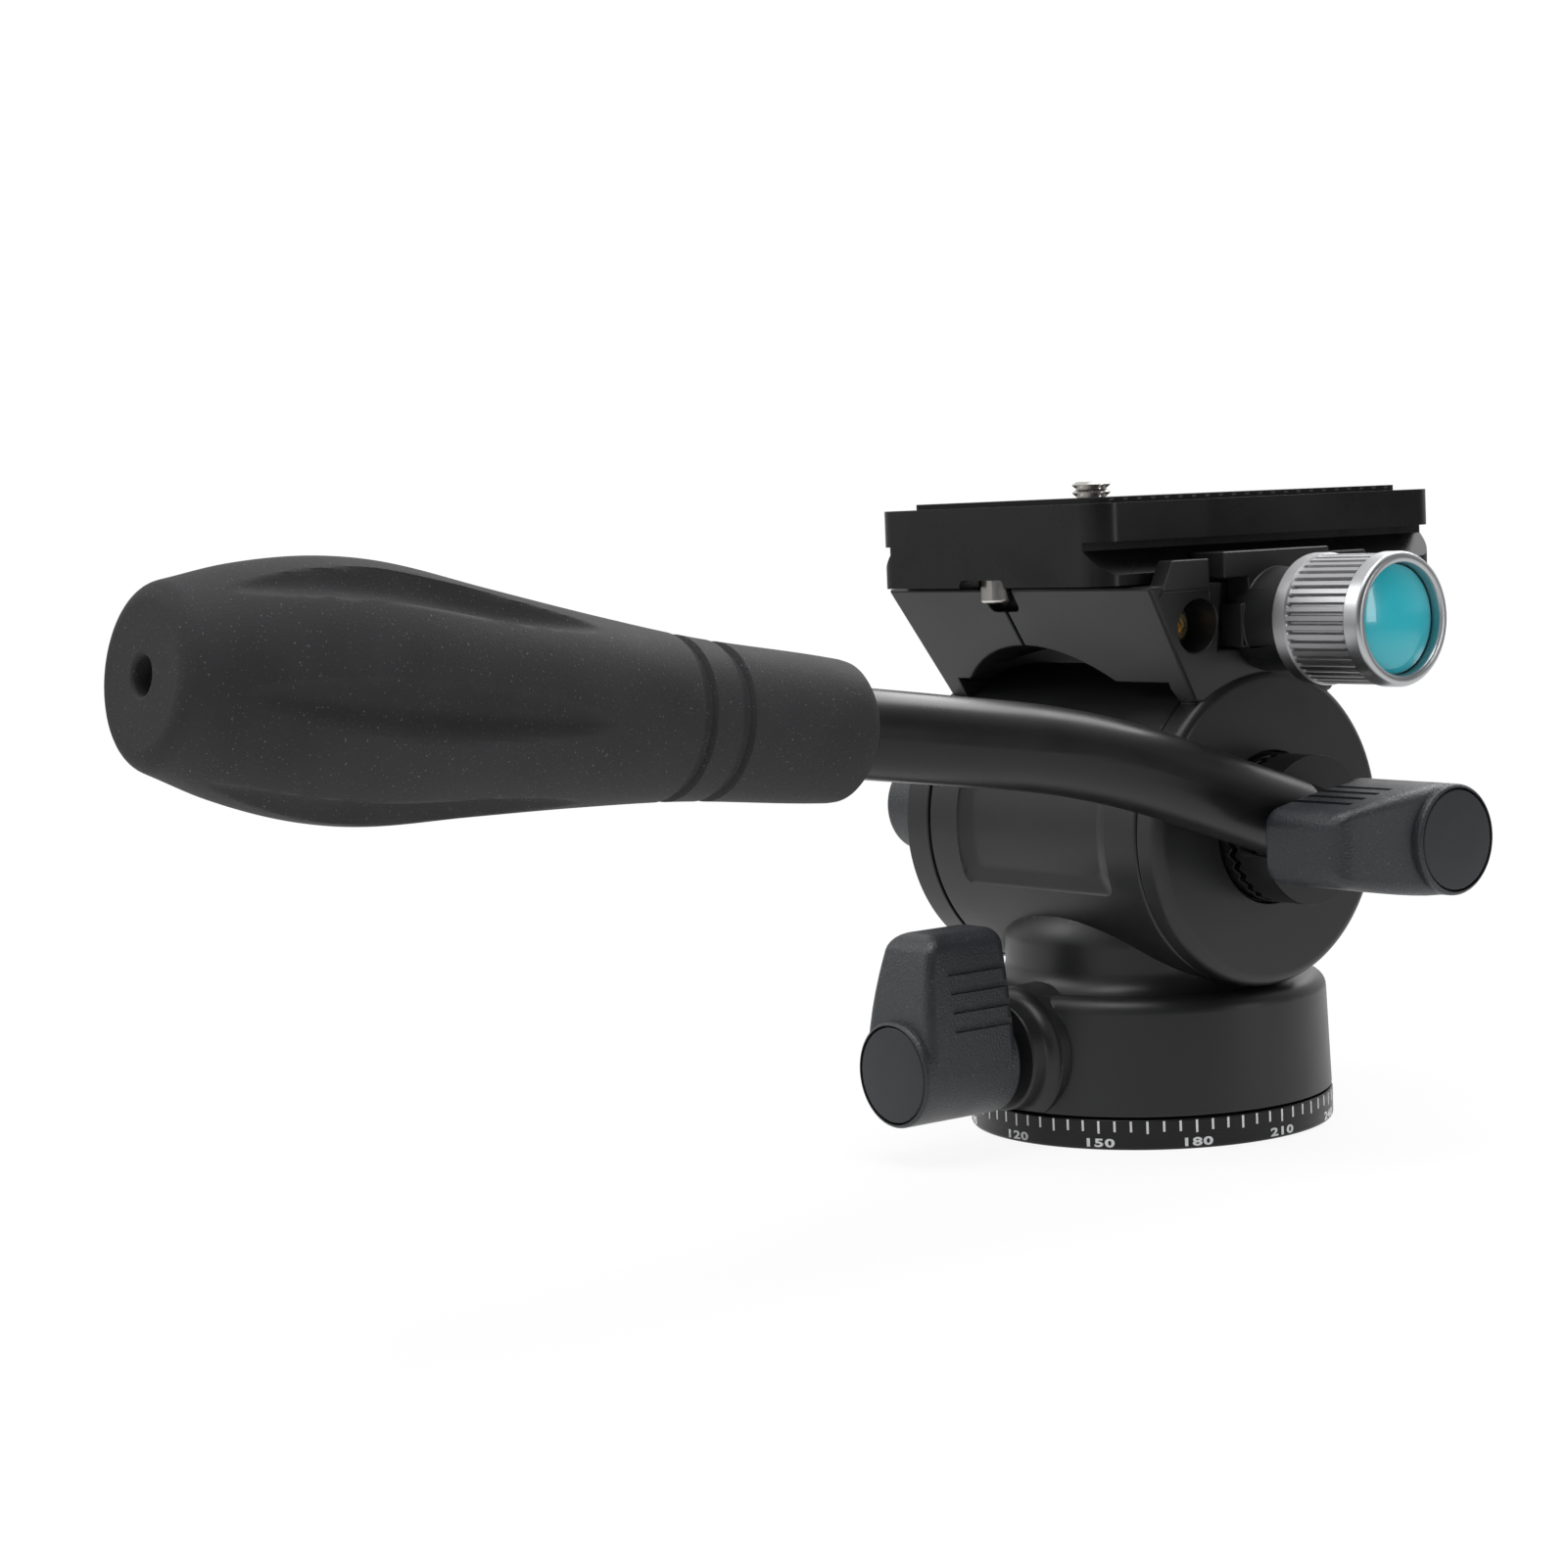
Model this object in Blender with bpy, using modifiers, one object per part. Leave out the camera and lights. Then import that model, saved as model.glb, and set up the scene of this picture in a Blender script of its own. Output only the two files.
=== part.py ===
"""Compact fluid video head: pan base, tilt bracket, quick release clamp, plate and handle.

Metres, +Z up. The origin is the centre of the base's underside, on the pan axis.
+X runs along the tilt axis to the handle's side, -Y points to the operator.
"""

import math

import bmesh
import bpy
from mathutils import Matrix, Vector

# General clearances and cutting values
SEAM = 0.0003
OVERRUN = 0.004
WELD = 0.00002
FLAT_ANGLE = math.radians(0.2)
SHADE_ANGLE = math.radians(30.0)
SMALL_CHAMFER = 0.0005
SCREW_HEAD_HEIGHT = 0.0018
SCREW_RADIUS = 0.0015
SCREW_HEAD_RADIUS = 0.0029

# Base disc and the parts that hold it to the pan housing
BASE_RADIUS = 0.0300
BASE_HEIGHT = 0.0049
BASE_EDGE = 0.0007
THREAD_RADIUS = 0.00425
BUSH_WALL = 0.0025
BUSH_HEIGHT = 0.0110
BASE_SCREW_COUNT = 3
BASE_SCREW_CIRCLE = 0.0125
BASE_SCREW_GRIP = 0.0018
SPINDLE_FLANGE_RADIUS = 0.0165
SPINDLE_FLANGE_HEIGHT = 0.0028
BRAKE_DRUM_RADIUS = 0.0130
SPINDLE_NECK_RADIUS = 0.0060
PAN_NUT_RADIUS = 0.0084
PAN_NUT_HEIGHT = 0.0045
PAN_WASHER_RADIUS = 0.0088
PAN_WASHER_THICKNESS = 0.0010
SPINDLE_PROUD = 0.0008

# Pan housing: the skirt, the neck above it and the lock boss
PAN_INSET = 0.0001
PAN_DRAFT = 0.0005
PAN_HEIGHT = 0.0188
PAN_SHOULDER = 0.0026
PAN_SHOULDER_STEPS = 3
PAN_WALL = 0.0042
PAN_ROOF = 0.0030
NECK_SETBACK = 0.0065
NECK_RISE = 0.0122
NECK_FILLET = 0.0034
NECK_FILLET_STEPS = 3
NECK_CROWN = 0.0025
NECK_CROWN_DROP = 0.0052
NECK_CROWN_STEPS = 3
LOCK_HEIGHT = 0.0146
BOSS_RADIUS = 0.0088
BOSS_FLARE = 0.0020
BOSS_FLARE_STEPS = 3
BOSS_REACH = 0.0041
DRAG_RING_GAP = 0.0027
DRAG_RING_HEIGHT = 0.0036
SHOE_WIDTH = 0.0100
SHOE_HEIGHT = 0.0066
SHOE_THICKNESS = 0.0048

# Drum, its badge recess and the damper inside it
DRUM_RADIUS = 0.0255
DRUM_HALF_WIDTH = 0.0245
DRUM_EDGE = 0.0006
DRUM_WALL = 0.0040
BADGE_HALF_WIDTH = 0.0175
BADGE_HALF_ANGLE = math.radians(22.0)
BADGE_SLOPE = 0.0024
BADGE_DEPTH = 0.0012
BADGE_STEPS = 6
AXLE_RADIUS = 0.0050
AXLE_BORE_DEPTH = 0.0175
AXLE_RECESS = 0.0008
ROTOR_RADIUS = 0.0136
ROTOR_HALF_WIDTH = 0.0118
ROTOR_GAP = 0.0007
DRUM_BUSH_WEB = 0.0036
DRUM_BUSH_RIM = 0.0030
DRUM_BUSH_LENGTH = 0.0100
DRUM_BUSH_HUB = 0.0034

# Tilt bracket: ears, bed and skirts
EAR_STEP = 0.00005
EAR_FLOOR_GAP = 0.0004
EAR_THICKNESS = 0.0047
EAR_FILLET = 0.0020
EAR_FILLET_STEPS = 3
LEFT_EAR_THICKNESS = 0.0056
LEFT_EAR_FILLET = 0.0006
TUNNEL_GAP = 0.0041
BED_THICKNESS = 0.00975
BED_OVERHANG = 0.0015
BED_HALF_LENGTH = 0.0272
LEG_INSET = 0.0008
LEG_DROP = 0.0187
LEG_HALF_LENGTH = 0.0155
BED_EDGE = 0.0006
ARCH_RADIUS = 0.0288
ARCH_OFFSET = -0.0042
ARCH_CROWN = 0.0096
ARCH_HALF_ANGLE = math.radians(44.0)
ARCH_STEPS = 12
SKIRT_SLIT_WIDTH = 0.0006
SKIRT_SLIT_DEPTH = 0.0008
PIN_POCKET_HALF_WIDTH = 0.0035
PIN_POCKET_DEPTH = 0.0038
PIN_POCKET_LENGTH = 0.0050
SIDE_POCKET_RADIUS = 0.0042
SIDE_POCKET_DEPTH = 0.0074
SIDE_POCKET_SETBACK = 0.0112
SIDE_POCKET_DROP = 0.0065
BED_SCREW_HEAD_RADIUS = 0.0025
LEFT_BOSS_HEIGHT = 0.0036

# Rosette and handle hub: facing radial teeth, drawn as they stand with the knob slackened
ROSETTE_RADIUS = 0.0118
ROSETTE_SEAT = 0.0010
ROSETTE_THICKNESS = 0.0018
ROSETTE_TEETH = 32
ROSETTE_TOOTH_HEIGHT = 0.0010
ROSETTE_INNER_RADIUS = 0.0056
HUB_THICKNESS = 0.0057

# Handle tube and grip
TUBE_RADIUS = 0.0064
TUBE_WALL = 0.0014
TUBE_PROUD = 0.0014
TUBE_END_SETBACK = 0.0072
TUBE_INNER_ANGLE = math.radians(18.4)
TUBE_OUTER_ANGLE = math.radians(7.9)
TUBE_BEND_PLACE = 0.0510
TUBE_BEND_RADIUS = 0.1900
TUBE_BEND_STEPS = 7
TUBE_SIDES_SETTING = 6
GRIP_START = 0.0994
TUBE_INSERTION = 0.0420
LUG_THICKNESS = 0.0042
LUG_RADIUS = 0.0058
LUG_PLUG_LENGTH = 0.0120
SPACER_RADIUS = 0.0052
GRIP_LENGTH = 0.1060
GRIP_RADII = 0.0099, 0.0109, 0.0124, 0.0146, 0.0162, 0.0165, 0.0159, 0.0142, 0.0118
GRIP_RADIUS_SHARES = 0.012, 0.247, 0.398, 0.571, 0.685, 0.751, 0.822, 0.902, 0.963
GRIP_NOSE_RADIUS = 0.0090
GRIP_TAIL_RADIUS = 0.0080
GRIP_GROOVE_PLACES = 0.0235, 0.0301
GRIP_GROOVE_HALF_WIDTH = 0.0010
GRIP_GROOVE_DEPTH = 0.0007
GRIP_FLUTE_COUNT = 6
GRIP_FLUTE_DEPTH = 0.0013
GRIP_FLUTE_SPAN_SHARES = 0.34, 0.97
GRIP_SIDES = 30
GRIP_TAIL_HOLE_RADIUS = 0.0024
GRIP_TAIL_HOLE_DEPTH = 0.0060

# Wing knobs, one shape used three times
KNOB_LENGTH = 0.0196
KNOB_RADIUS = 0.0085
KNOB_TAPER = 0.0002
KNOB_RIM = 0.0007
CAP_RADIUS = 0.0076
CAP_THICKNESS = 0.0016
CAP_DOME = 0.0002
WING_REACH = 0.0206
WING_TIP_HALF = 0.0061
WING_CORNER = 0.0024
WING_CORNER_STEPS = 3
WING_TIP_ROUND = 0.0026
WING_TIP_STEPS = 3
WING_FRONT_INSET = 0.0007
WING_FRONT_SLOPE = 0.0030
GRIP_RIB_COUNT = 4
GRIP_RIB_PITCH = 0.0028
GRIP_RIB_FIRST = 0.0062
GRIP_RIB_WIDTH = 0.0011
GRIP_RIB_DEPTH = 0.0006
GRIP_RIB_LENGTH = 0.0130
STUD_RADIUS = 0.0030
STUD_IN_KNOB = 0.0130
KNOB_GAP = 0.0024
HANDLE_KNOB_GAP = 0.0012
STUD_TIP_GAP = 0.0006
TILT_STUD_REACH = 0.0150

# Quick release clamp
CLAMP_BORE_WALL = 0.00065
CLAMP_SCREW_RADIUS = 0.0025
CLAMP_SCREW_REACH = 0.0190
JAW_HALF_LENGTH = 0.0119
JAW_THICKNESS = 0.0047
JAW_PROUD = 0.0012
JAW_BOTTOM_DROP = 0.0040
JAW_NOTCH_HEIGHT = 0.0041
JAW_NOTCH_DEPTH = 0.0053
JAW_FOOT_HALF_LENGTH = 0.0084
JAW_RECESS_GAP = 0.0029
JAW_LIP = 0.0030
JAW_SLIDE = 0.0025
FIXED_JAW_HALF_LENGTH = 0.0240
LIP_THICKNESS = 0.0034
LIP_RISE = 0.0038
LIP_LENGTH = 0.0079
LIP_RAMP = 0.0024
LIP_GAP = 0.0020
COLLAR_RADIUS = 0.0082
COLLAR_LENGTH = 0.0073
JAW_PIN_RADIUS = 0.0013
JAW_PIN_SPREAD = 0.0060
JAW_PIN_LENGTH = 0.0120
CLAMP_KNOB_RADIUS = 0.0103
CLAMP_KNOB_LENGTH = 0.0178
CLAMP_KNOB_GAP = 0.0005
CLAMP_FLUTES = 44
CLAMP_FLUTE_DEPTH = 0.0005
CLAMP_REAR_RING = 0.0028
CLAMP_FRONT_RING = 0.0032
CLAMP_KNOB_CHAMFER = 0.0009
CLAMP_CAP_RADIUS = 0.0083
CLAMP_CAP_DEPTH = 0.0026
CLAMP_CAP_DOME = 0.0012
DOME_STEPS = 3

# Quick release plate, pad, stop pins and camera screw
PLATE_HALF_WIDTH = 0.0266
PLATE_FRONT = 0.0331
PLATE_LENGTH = 0.0777
PLATE_THICKNESS = 0.0127
PLATE_FOOT = 0.0017
PLATE_GROOVE = 0.0038
PLATE_NECK = 0.0013
PLATE_CORNER = 0.0043
PLATE_CORNER_STEPS = 4
PAD_INSET = 0.0040
PAD_SINK = 0.0006
PAD_PROUD = 0.0009
PAD_CORNER = 0.0030
PAD_RIB_PITCH = 0.0030
PAD_RIB_GROOVE = 0.0011
PAD_RIB_DEPTH = 0.0005
SLOT_HALF_WIDTH = 0.0037
SLOT_HALF_LENGTH = 0.0165
SLOT_PLACE = -0.0020
HEAD_SLOT_GAP = 0.0009
CAMERA_SCREW_RADIUS = 0.0031
CAMERA_SCREW_PROUD = 0.0035
CAMERA_SCREW_PLACE = -0.0090
CAMERA_HEAD_RADIUS = 0.0070
CAMERA_HEAD_HEIGHT = 0.0033
CAMERA_HEAD_LIFT = 0.0008
CAMERA_HEAD_SLOT = 0.0014
SCREW_WASHER_RADIUS = 0.0069
SCREW_WASHER_THICKNESS = 0.0010
STOP_PIN_RADIUS = 0.0028
STOP_PIN_SETBACK = 0.0066
STOP_PIN_DROP = 0.0026
STOP_PIN_DEPTH = 0.0040
STOP_NOTCH_HALF_WIDTH = 0.0052
STOP_NOTCH_HEIGHT = 0.0012
STOP_NOTCH_OFFSET = 0.0035

# Segment counts for round shapes
FINE_STEPS = 40
ROUND_STEPS = 24
SMALL_STEPS = 14
HIDDEN_STEPS = 14

# Places that follow from the sizes above
PAN_RADIUS = BASE_RADIUS - PAN_INSET
NECK_RADIUS = PAN_RADIUS - NECK_SETBACK
PAN_FLOOR = BASE_HEIGHT + SEAM
PAN_TOP = PAN_FLOOR + PAN_HEIGHT
EAR_RADIUS = DRUM_RADIUS + EAR_STEP
TILT_Z = PAN_TOP + EAR_FLOOR_GAP + EAR_RADIUS
EAR_IN = DRUM_HALF_WIDTH + SEAM
EAR_OUT = EAR_IN + EAR_THICKNESS
LEFT_EAR_OUT = EAR_IN + LEFT_EAR_THICKNESS
TUNNEL_RADIUS = DRUM_RADIUS + TUNNEL_GAP
BED_Z = TILT_Z + TUNNEL_RADIUS + BED_THICKNESS
BED_HALF_WIDTH = EAR_OUT + BED_OVERHANG
CLAMP_BORE_RADIUS = CLAMP_SCREW_RADIUS + SEAM
CLAMP_Z = TILT_Z + TUNNEL_RADIUS + CLAMP_BORE_WALL + CLAMP_BORE_RADIUS
PLATE_BOTTOM = BED_Z + SEAM
PLATE_TOP = PLATE_BOTTOM + PLATE_THICKNESS
PAD_TOP = PLATE_TOP + PAD_PROUD
ROSETTE_FACE = EAR_OUT - ROSETTE_SEAT + SEAM + ROSETTE_THICKNESS
HUB_BACK = ROSETTE_FACE + 2 * ROSETTE_TOOTH_HEIGHT + SEAM
HUB_FACE = HUB_BACK + HUB_THICKNESS
TUBE_X = HUB_FACE + TUBE_PROUD
HANDLE_KNOB_X = TUBE_X + TUBE_RADIUS + HANDLE_KNOB_GAP
STUD_HOLE = STUD_RADIUS + SEAM
JAW_FACE = BED_HALF_WIDTH + JAW_PROUD
JAW_BACK = JAW_FACE - JAW_THICKNESS
CLAMP_KNOB_X = JAW_FACE + COLLAR_LENGTH + CLAMP_KNOB_GAP

FINISHES = {
    "black_casting": ((0.022, 0.023, 0.025), 0.45, 0.3),
    "black_anodised": ((0.018, 0.018, 0.020), 0.38, 0.6),
    "black_plastic": ((0.030, 0.032, 0.036), 0.62, 0.0),
    "black_rubber": ((0.028, 0.028, 0.029), 0.80, 0.0),
    "black_tube": ((0.015, 0.015, 0.016), 0.28, 0.5),
    "steel": ((0.60, 0.59, 0.57), 0.32, 1.0),
    "brass": ((0.72, 0.58, 0.32), 0.30, 1.0),
    "grey_aluminium": ((0.42, 0.43, 0.45), 0.35, 1.0),
    "teal_enamel": ((0.03, 0.38, 0.42), 0.12, 0.0),
    "white_nylon": ((0.75, 0.74, 0.70), 0.55, 0.0),
}


# Scene, collections, materials and parenting


def clear_scene():
    """Remove every object that the new scene starts with."""
    for obj in list(bpy.data.objects):
        bpy.data.objects.remove(obj, do_unlink=True)


def make_collection(name):
    """Return a new collection of this name, linked to the scene."""
    made = bpy.data.collections.new(name)
    bpy.context.scene.collection.children.link(made)
    return made


def finish_piece(obj, name, finish):
    """Name a finished piece, give it a material of its own and round shading."""
    obj.name = name
    obj.data.name = name
    colour, roughness, metallic = FINISHES[finish]
    material = bpy.data.materials.new(name + "_" + finish)
    material.use_nodes = True
    shader = material.node_tree.nodes["Principled BSDF"]
    shader.inputs["Base Color"].default_value = (*colour, 1.0)
    shader.inputs["Roughness"].default_value = roughness
    shader.inputs["Metallic"].default_value = metallic
    obj.data.materials.clear()
    obj.data.materials.append(material)
    obj.data.shade_smooth()
    obj.data.set_sharp_from_angle(angle=SHADE_ANGLE)
    return obj


def pivot(name, place, parent=None):
    """Add an empty on a joint's axis, which the pieces of one moving body hang on."""
    empty = bpy.data.objects.new(name, None)
    empty.empty_display_size = BASE_RADIUS
    PARTS.objects.link(empty)
    empty.matrix_world = Matrix.Translation(place)
    if parent:
        hang(empty, parent)
    return empty


def hang(obj, parent):
    """Parent one object to another and keep its place."""
    bpy.context.view_layer.update()
    world = obj.matrix_world.copy()
    obj.parent = parent
    obj.matrix_parent_inverse = parent.matrix_world.inverted()
    obj.matrix_world = world


# Frames: each gives local +Z along an axis and local +X along a side direction


def frame(origin, axial, side):
    """Return the matrix whose Z column is axial and whose X column is side."""
    z = Vector(axial).normalized()
    x = Vector(side).normalized()
    y = z.cross(x)
    columns = Matrix((x, y, z)).transposed().to_4x4()
    return Matrix.Translation(origin) @ columns


def upright(x, y, z):
    """Return a frame at a point, with the world's directions."""
    return Matrix.Translation((x, y, z))


def along_x(x, y, z):
    """Return a frame at a point, with local +Z along world +X and local +X down."""
    return frame((x, y, z), (1, 0, 0), (0, 0, -1))


def along_minus_y(x, y, z):
    """Return a frame at a point, with local +Z along world -Y and local +X up."""
    return frame((x, y, z), (0, -1, 0), (0, 0, 1))


# Solids


def as_object(mesh, place, cutter=False):
    """Link a mesh as an object, among the parts or among the cutters."""
    obj = bpy.data.objects.new(mesh.name, mesh)
    obj.matrix_world = place
    if cutter:
        CUTTERS.objects.link(obj)
        hide_cutter(obj)
    else:
        PARTS.objects.link(obj)
    return obj


def hide_cutter(obj):
    """Keep a helper out of renders and show it as a wire."""
    obj.hide_render = True
    obj.display_type = "WIRE"


def from_bmesh(bm, name="shape"):
    """Write a bmesh to a new mesh with its faces pointing out."""
    bm.normal_update()
    bmesh.ops.recalc_face_normals(bm, faces=bm.faces[:])
    mesh = bpy.data.meshes.new(name)
    bm.to_mesh(mesh)
    bm.free()
    return mesh


def cylinder(radius, low, high, place, steps=ROUND_STEPS, cutter=False):
    """Add a cylinder about local Z from low to high."""
    bm = bmesh.new()
    bmesh.ops.create_cone(
        bm,
        cap_ends=True,
        segments=steps,
        radius1=radius,
        radius2=radius,
        depth=high - low,
        matrix=Matrix.Translation((0, 0, (low + high) / 2)),
    )
    return as_object(from_bmesh(bm), place, cutter)


def block(low, high, place, cutter=False):
    """Add a box between two local corners."""
    bm = bmesh.new()
    bmesh.ops.create_cube(bm, size=1)
    low, high = Vector(low), Vector(high)
    for vertex in bm.verts:
        share = vertex.co + Vector((0.5, 0.5, 0.5))
        vertex.co = Vector(low[i] + share[i] * (high[i] - low[i]) for i in range(3))
    return as_object(from_bmesh(bm), place, cutter)


def turned(profile, place, steps=ROUND_STEPS, closed=False, cutter=False):
    """Turn a profile of (radius, height) points about local Z with a Screw modifier.

    The profile runs down the outer side; a closed one comes back up a bore.
    Flat ends become single faces, because thin triangles at the axis upset Booleans.
    """
    mesh = bpy.data.meshes.new("turned")
    points = [(radius, 0, height) for radius, height in profile]
    edges = [(i, i + 1) for i in range(len(points) - 1)]
    if closed:
        edges.append((len(points) - 1, 0))
    mesh.from_pydata(points, edges, [])
    obj = as_object(mesh, place, cutter)
    screw = obj.modifiers.new("turn", "SCREW")
    screw.steps = screw.render_steps = steps
    screw.use_merge_vertices = True
    screw.merge_threshold = WELD
    if not closed:
        flat = obj.modifiers.new("flat", "DECIMATE")
        flat.decimate_type = "DISSOLVE"
        flat.angle_limit = FLAT_ANGLE
    return obj


def extruded(outline, low, high, place, cutter=False):
    """Extrude a closed outline of local (x, y) points along local Z."""
    bm = bmesh.new()
    bottom = [bm.verts.new((x, y, low)) for x, y in outline]
    face = bm.faces.new(bottom)
    moved = bmesh.ops.extrude_face_region(bm, geom=[face])
    top = [item for item in moved["geom"] if isinstance(item, bmesh.types.BMVert)]
    bmesh.ops.translate(bm, verts=top, vec=(0, 0, high - low))
    return as_object(from_bmesh(bm), place, cutter)


def loft(rings, place, cutter=False):
    """Skin rings of equal point counts, and close both ends with a face."""
    bm = bmesh.new()
    loops = [[bm.verts.new(point) for point in ring] for ring in rings]
    count = len(loops[0])
    for lower, upper in zip(loops, loops[1:]):
        for i in range(count):
            j = (i + 1) % count
            bm.faces.new((lower[i], lower[j], upper[j], upper[i]))
    bm.faces.new(loops[0][::-1])
    bm.faces.new(loops[-1])
    return as_object(from_bmesh(bm), place, cutter)


def combine(obj, other, operation):
    """Add an exact Boolean of one object with a helper, which is hidden."""
    if other.name in PARTS.objects:
        PARTS.objects.unlink(other)
        CUTTERS.objects.link(other)
    hide_cutter(other)
    boolean = obj.modifiers.new(operation.lower(), "BOOLEAN")
    boolean.operation = operation
    boolean.solver = "EXACT"
    boolean.object = other
    return obj


def cut(obj, *tools):
    """Cut tools out of an object."""
    for tool in tools:
        combine(obj, tool, "DIFFERENCE")
    return obj


def join(obj, *others):
    """Join others to an object as one body."""
    for other in others:
        combine(obj, other, "UNION")
    return obj


def soften(obj, width, segments=2, angle=math.radians(35)):
    """Round an object's sharp edges with a Bevel modifier."""
    bevel = obj.modifiers.new("edge", "BEVEL")
    bevel.width = width
    bevel.segments = segments
    bevel.limit_method = "ANGLE"
    bevel.angle_limit = angle
    return obj


def baked(obj):
    """Return an object's evaluated mesh, with doubles welded, as new mesh data."""
    bpy.context.view_layer.update()
    graph = bpy.context.evaluated_depsgraph_get()
    mesh = bpy.data.meshes.new_from_object(obj.evaluated_get(graph))
    bm = bmesh.new()
    bm.from_mesh(mesh)
    bmesh.ops.remove_doubles(bm, verts=bm.verts[:], dist=WELD)
    bm.to_mesh(mesh)
    bm.free()
    return mesh


# Outlines


def arc(cx, cy, radius, start, end, steps):
    """Return points on an arc, both ends included, angles in radians."""
    turn = (end - start) / steps
    return [
        (cx + radius * math.cos(start + i * turn), cy + radius * math.sin(start + i * turn))
        for i in range(steps + 1)
    ]


def rounded_rectangle(half_x, half_y, corner, steps):
    """Return the points of a rectangle with round corners, anticlockwise from +X."""
    points = []
    quarter = math.pi / 2
    for i, (sx, sy) in enumerate(((1, 1), (-1, 1), (-1, -1), (1, -1))):
        centre_x = sx * (half_x - corner)
        centre_y = sy * (half_y - corner)
        points += arc(centre_x, centre_y, corner, i * quarter, (i + 1) * quarter, steps)
    return points


def slot_outline(half_width, half_length, steps):
    """Return a slot with round ends, its length along local Y."""
    return rounded_rectangle(half_width, half_length, half_width - WELD, steps)


# Base


def build_base(root):
    """Base disc, thread bush, spindle, screws, washer and nut."""
    bush_radius = THREAD_RADIUS + BUSH_WALL
    rim = [
        (0, BASE_HEIGHT),
        (BASE_RADIUS - SMALL_CHAMFER, BASE_HEIGHT),
        (BASE_RADIUS, BASE_HEIGHT - SMALL_CHAMFER),
        (BASE_RADIUS, BASE_EDGE),
        (BASE_RADIUS - BASE_EDGE, 0),
        (0, 0),
    ]
    disc = turned(rim, upright(0, 0, 0), FINE_STEPS)
    cut(disc, cylinder(bush_radius + SEAM, -OVERRUN, BASE_HEIGHT + OVERRUN, upright(0, 0, 0), cutter=True))
    spindle_floor = PAN_FLOOR
    flange_top = spindle_floor + SPINDLE_FLANGE_HEIGHT
    roof_floor = pan_roof_floor()
    thread_top = roof_floor + PAN_ROOF + SEAM + PAN_WASHER_THICKNESS + SEAM + PAN_NUT_HEIGHT + SPINDLE_PROUD
    spindle = turned(
        [
            (0, thread_top),
            (SPINDLE_NECK_RADIUS - SMALL_CHAMFER, thread_top),
            (SPINDLE_NECK_RADIUS, thread_top - SMALL_CHAMFER),
            (SPINDLE_NECK_RADIUS, roof_floor - SEAM),
            (BRAKE_DRUM_RADIUS, roof_floor - SEAM),
            (BRAKE_DRUM_RADIUS, flange_top),
            (SPINDLE_FLANGE_RADIUS, flange_top),
            (SPINDLE_FLANGE_RADIUS, spindle_floor),
            (0, spindle_floor),
        ],
        upright(0, 0, 0),
        SMALL_STEPS,
    )
    cut(spindle, cylinder(bush_radius + SEAM, -OVERRUN, BUSH_HEIGHT + SEAM, upright(0, 0, 0), cutter=True))
    bush = turned(
        [
            (bush_radius, BUSH_HEIGHT),
            (bush_radius, 0),
            (THREAD_RADIUS, 0),
            (THREAD_RADIUS, BUSH_HEIGHT),
        ],
        upright(0, 0, 0),
        SMALL_STEPS,
        closed=True,
    )
    for i in range(BASE_SCREW_COUNT):
        angle = math.radians(90) + i * math.tau / BASE_SCREW_COUNT
        x = BASE_SCREW_CIRCLE * math.cos(angle)
        y = BASE_SCREW_CIRCLE * math.sin(angle)
        tip = spindle_floor + BASE_SCREW_GRIP
        head_top = SEAM + SCREW_HEAD_HEIGHT
        screw = turned(
            [
                (0, tip),
                (SCREW_RADIUS, tip),
                (SCREW_RADIUS, head_top),
                (SCREW_HEAD_RADIUS, SEAM),
                (0, SEAM),
            ],
            upright(x, y, 0),
            SMALL_STEPS,
        )
        hole = turned(
            [
                (0, tip + SEAM),
                (SCREW_RADIUS + SEAM, tip + SEAM),
                (SCREW_RADIUS + SEAM, head_top + SEAM),
                (SCREW_HEAD_RADIUS + SEAM, SEAM),
                (SCREW_HEAD_RADIUS + SEAM, -OVERRUN),
                (0, -OVERRUN),
            ],
            upright(x, y, 0),
            SMALL_STEPS,
            cutter=True,
        )
        cut(disc, hole)
        cut(spindle, hole)
        hang(finish_piece(screw, "base_screw_%d" % (i + 1), "steel"), root)
    washer_floor = roof_floor + PAN_ROOF + SEAM
    nut_floor = washer_floor + PAN_WASHER_THICKNESS + SEAM
    washer_top = washer_floor + PAN_WASHER_THICKNESS
    washer = ring(PAN_WASHER_RADIUS, SPINDLE_NECK_RADIUS + SEAM, washer_floor, washer_top)
    nut = cylinder(PAN_NUT_RADIUS, nut_floor, nut_floor + PAN_NUT_HEIGHT, upright(0, 0, 0), 6)
    cut(nut, cylinder(SPINDLE_NECK_RADIUS + SEAM, 0, TILT_Z, upright(0, 0, 0), SMALL_STEPS, cutter=True))
    hang(finish_piece(disc, "base_disc", "black_anodised"), root)
    hang(finish_piece(spindle, "pan_spindle", "steel"), root)
    hang(finish_piece(bush, "thread_bush", "steel"), root)
    hang(finish_piece(washer, "pan_washer", "steel"), root)
    hang(finish_piece(nut, "pan_nut", "steel"), root)


def pan_roof_floor():
    """Return the height of the pan cavity's ceiling."""
    return LOCK_HEIGHT + STUD_HOLE + SEAM


def ring(outer, inner, low, high, place=None, steps=HIDDEN_STEPS):
    """Add a plain ring about local Z."""
    profile = [(outer, high), (outer, low), (inner, low), (inner, high)]
    return turned(profile, place or upright(0, 0, 0), steps, closed=True)


# Pan body


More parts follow.
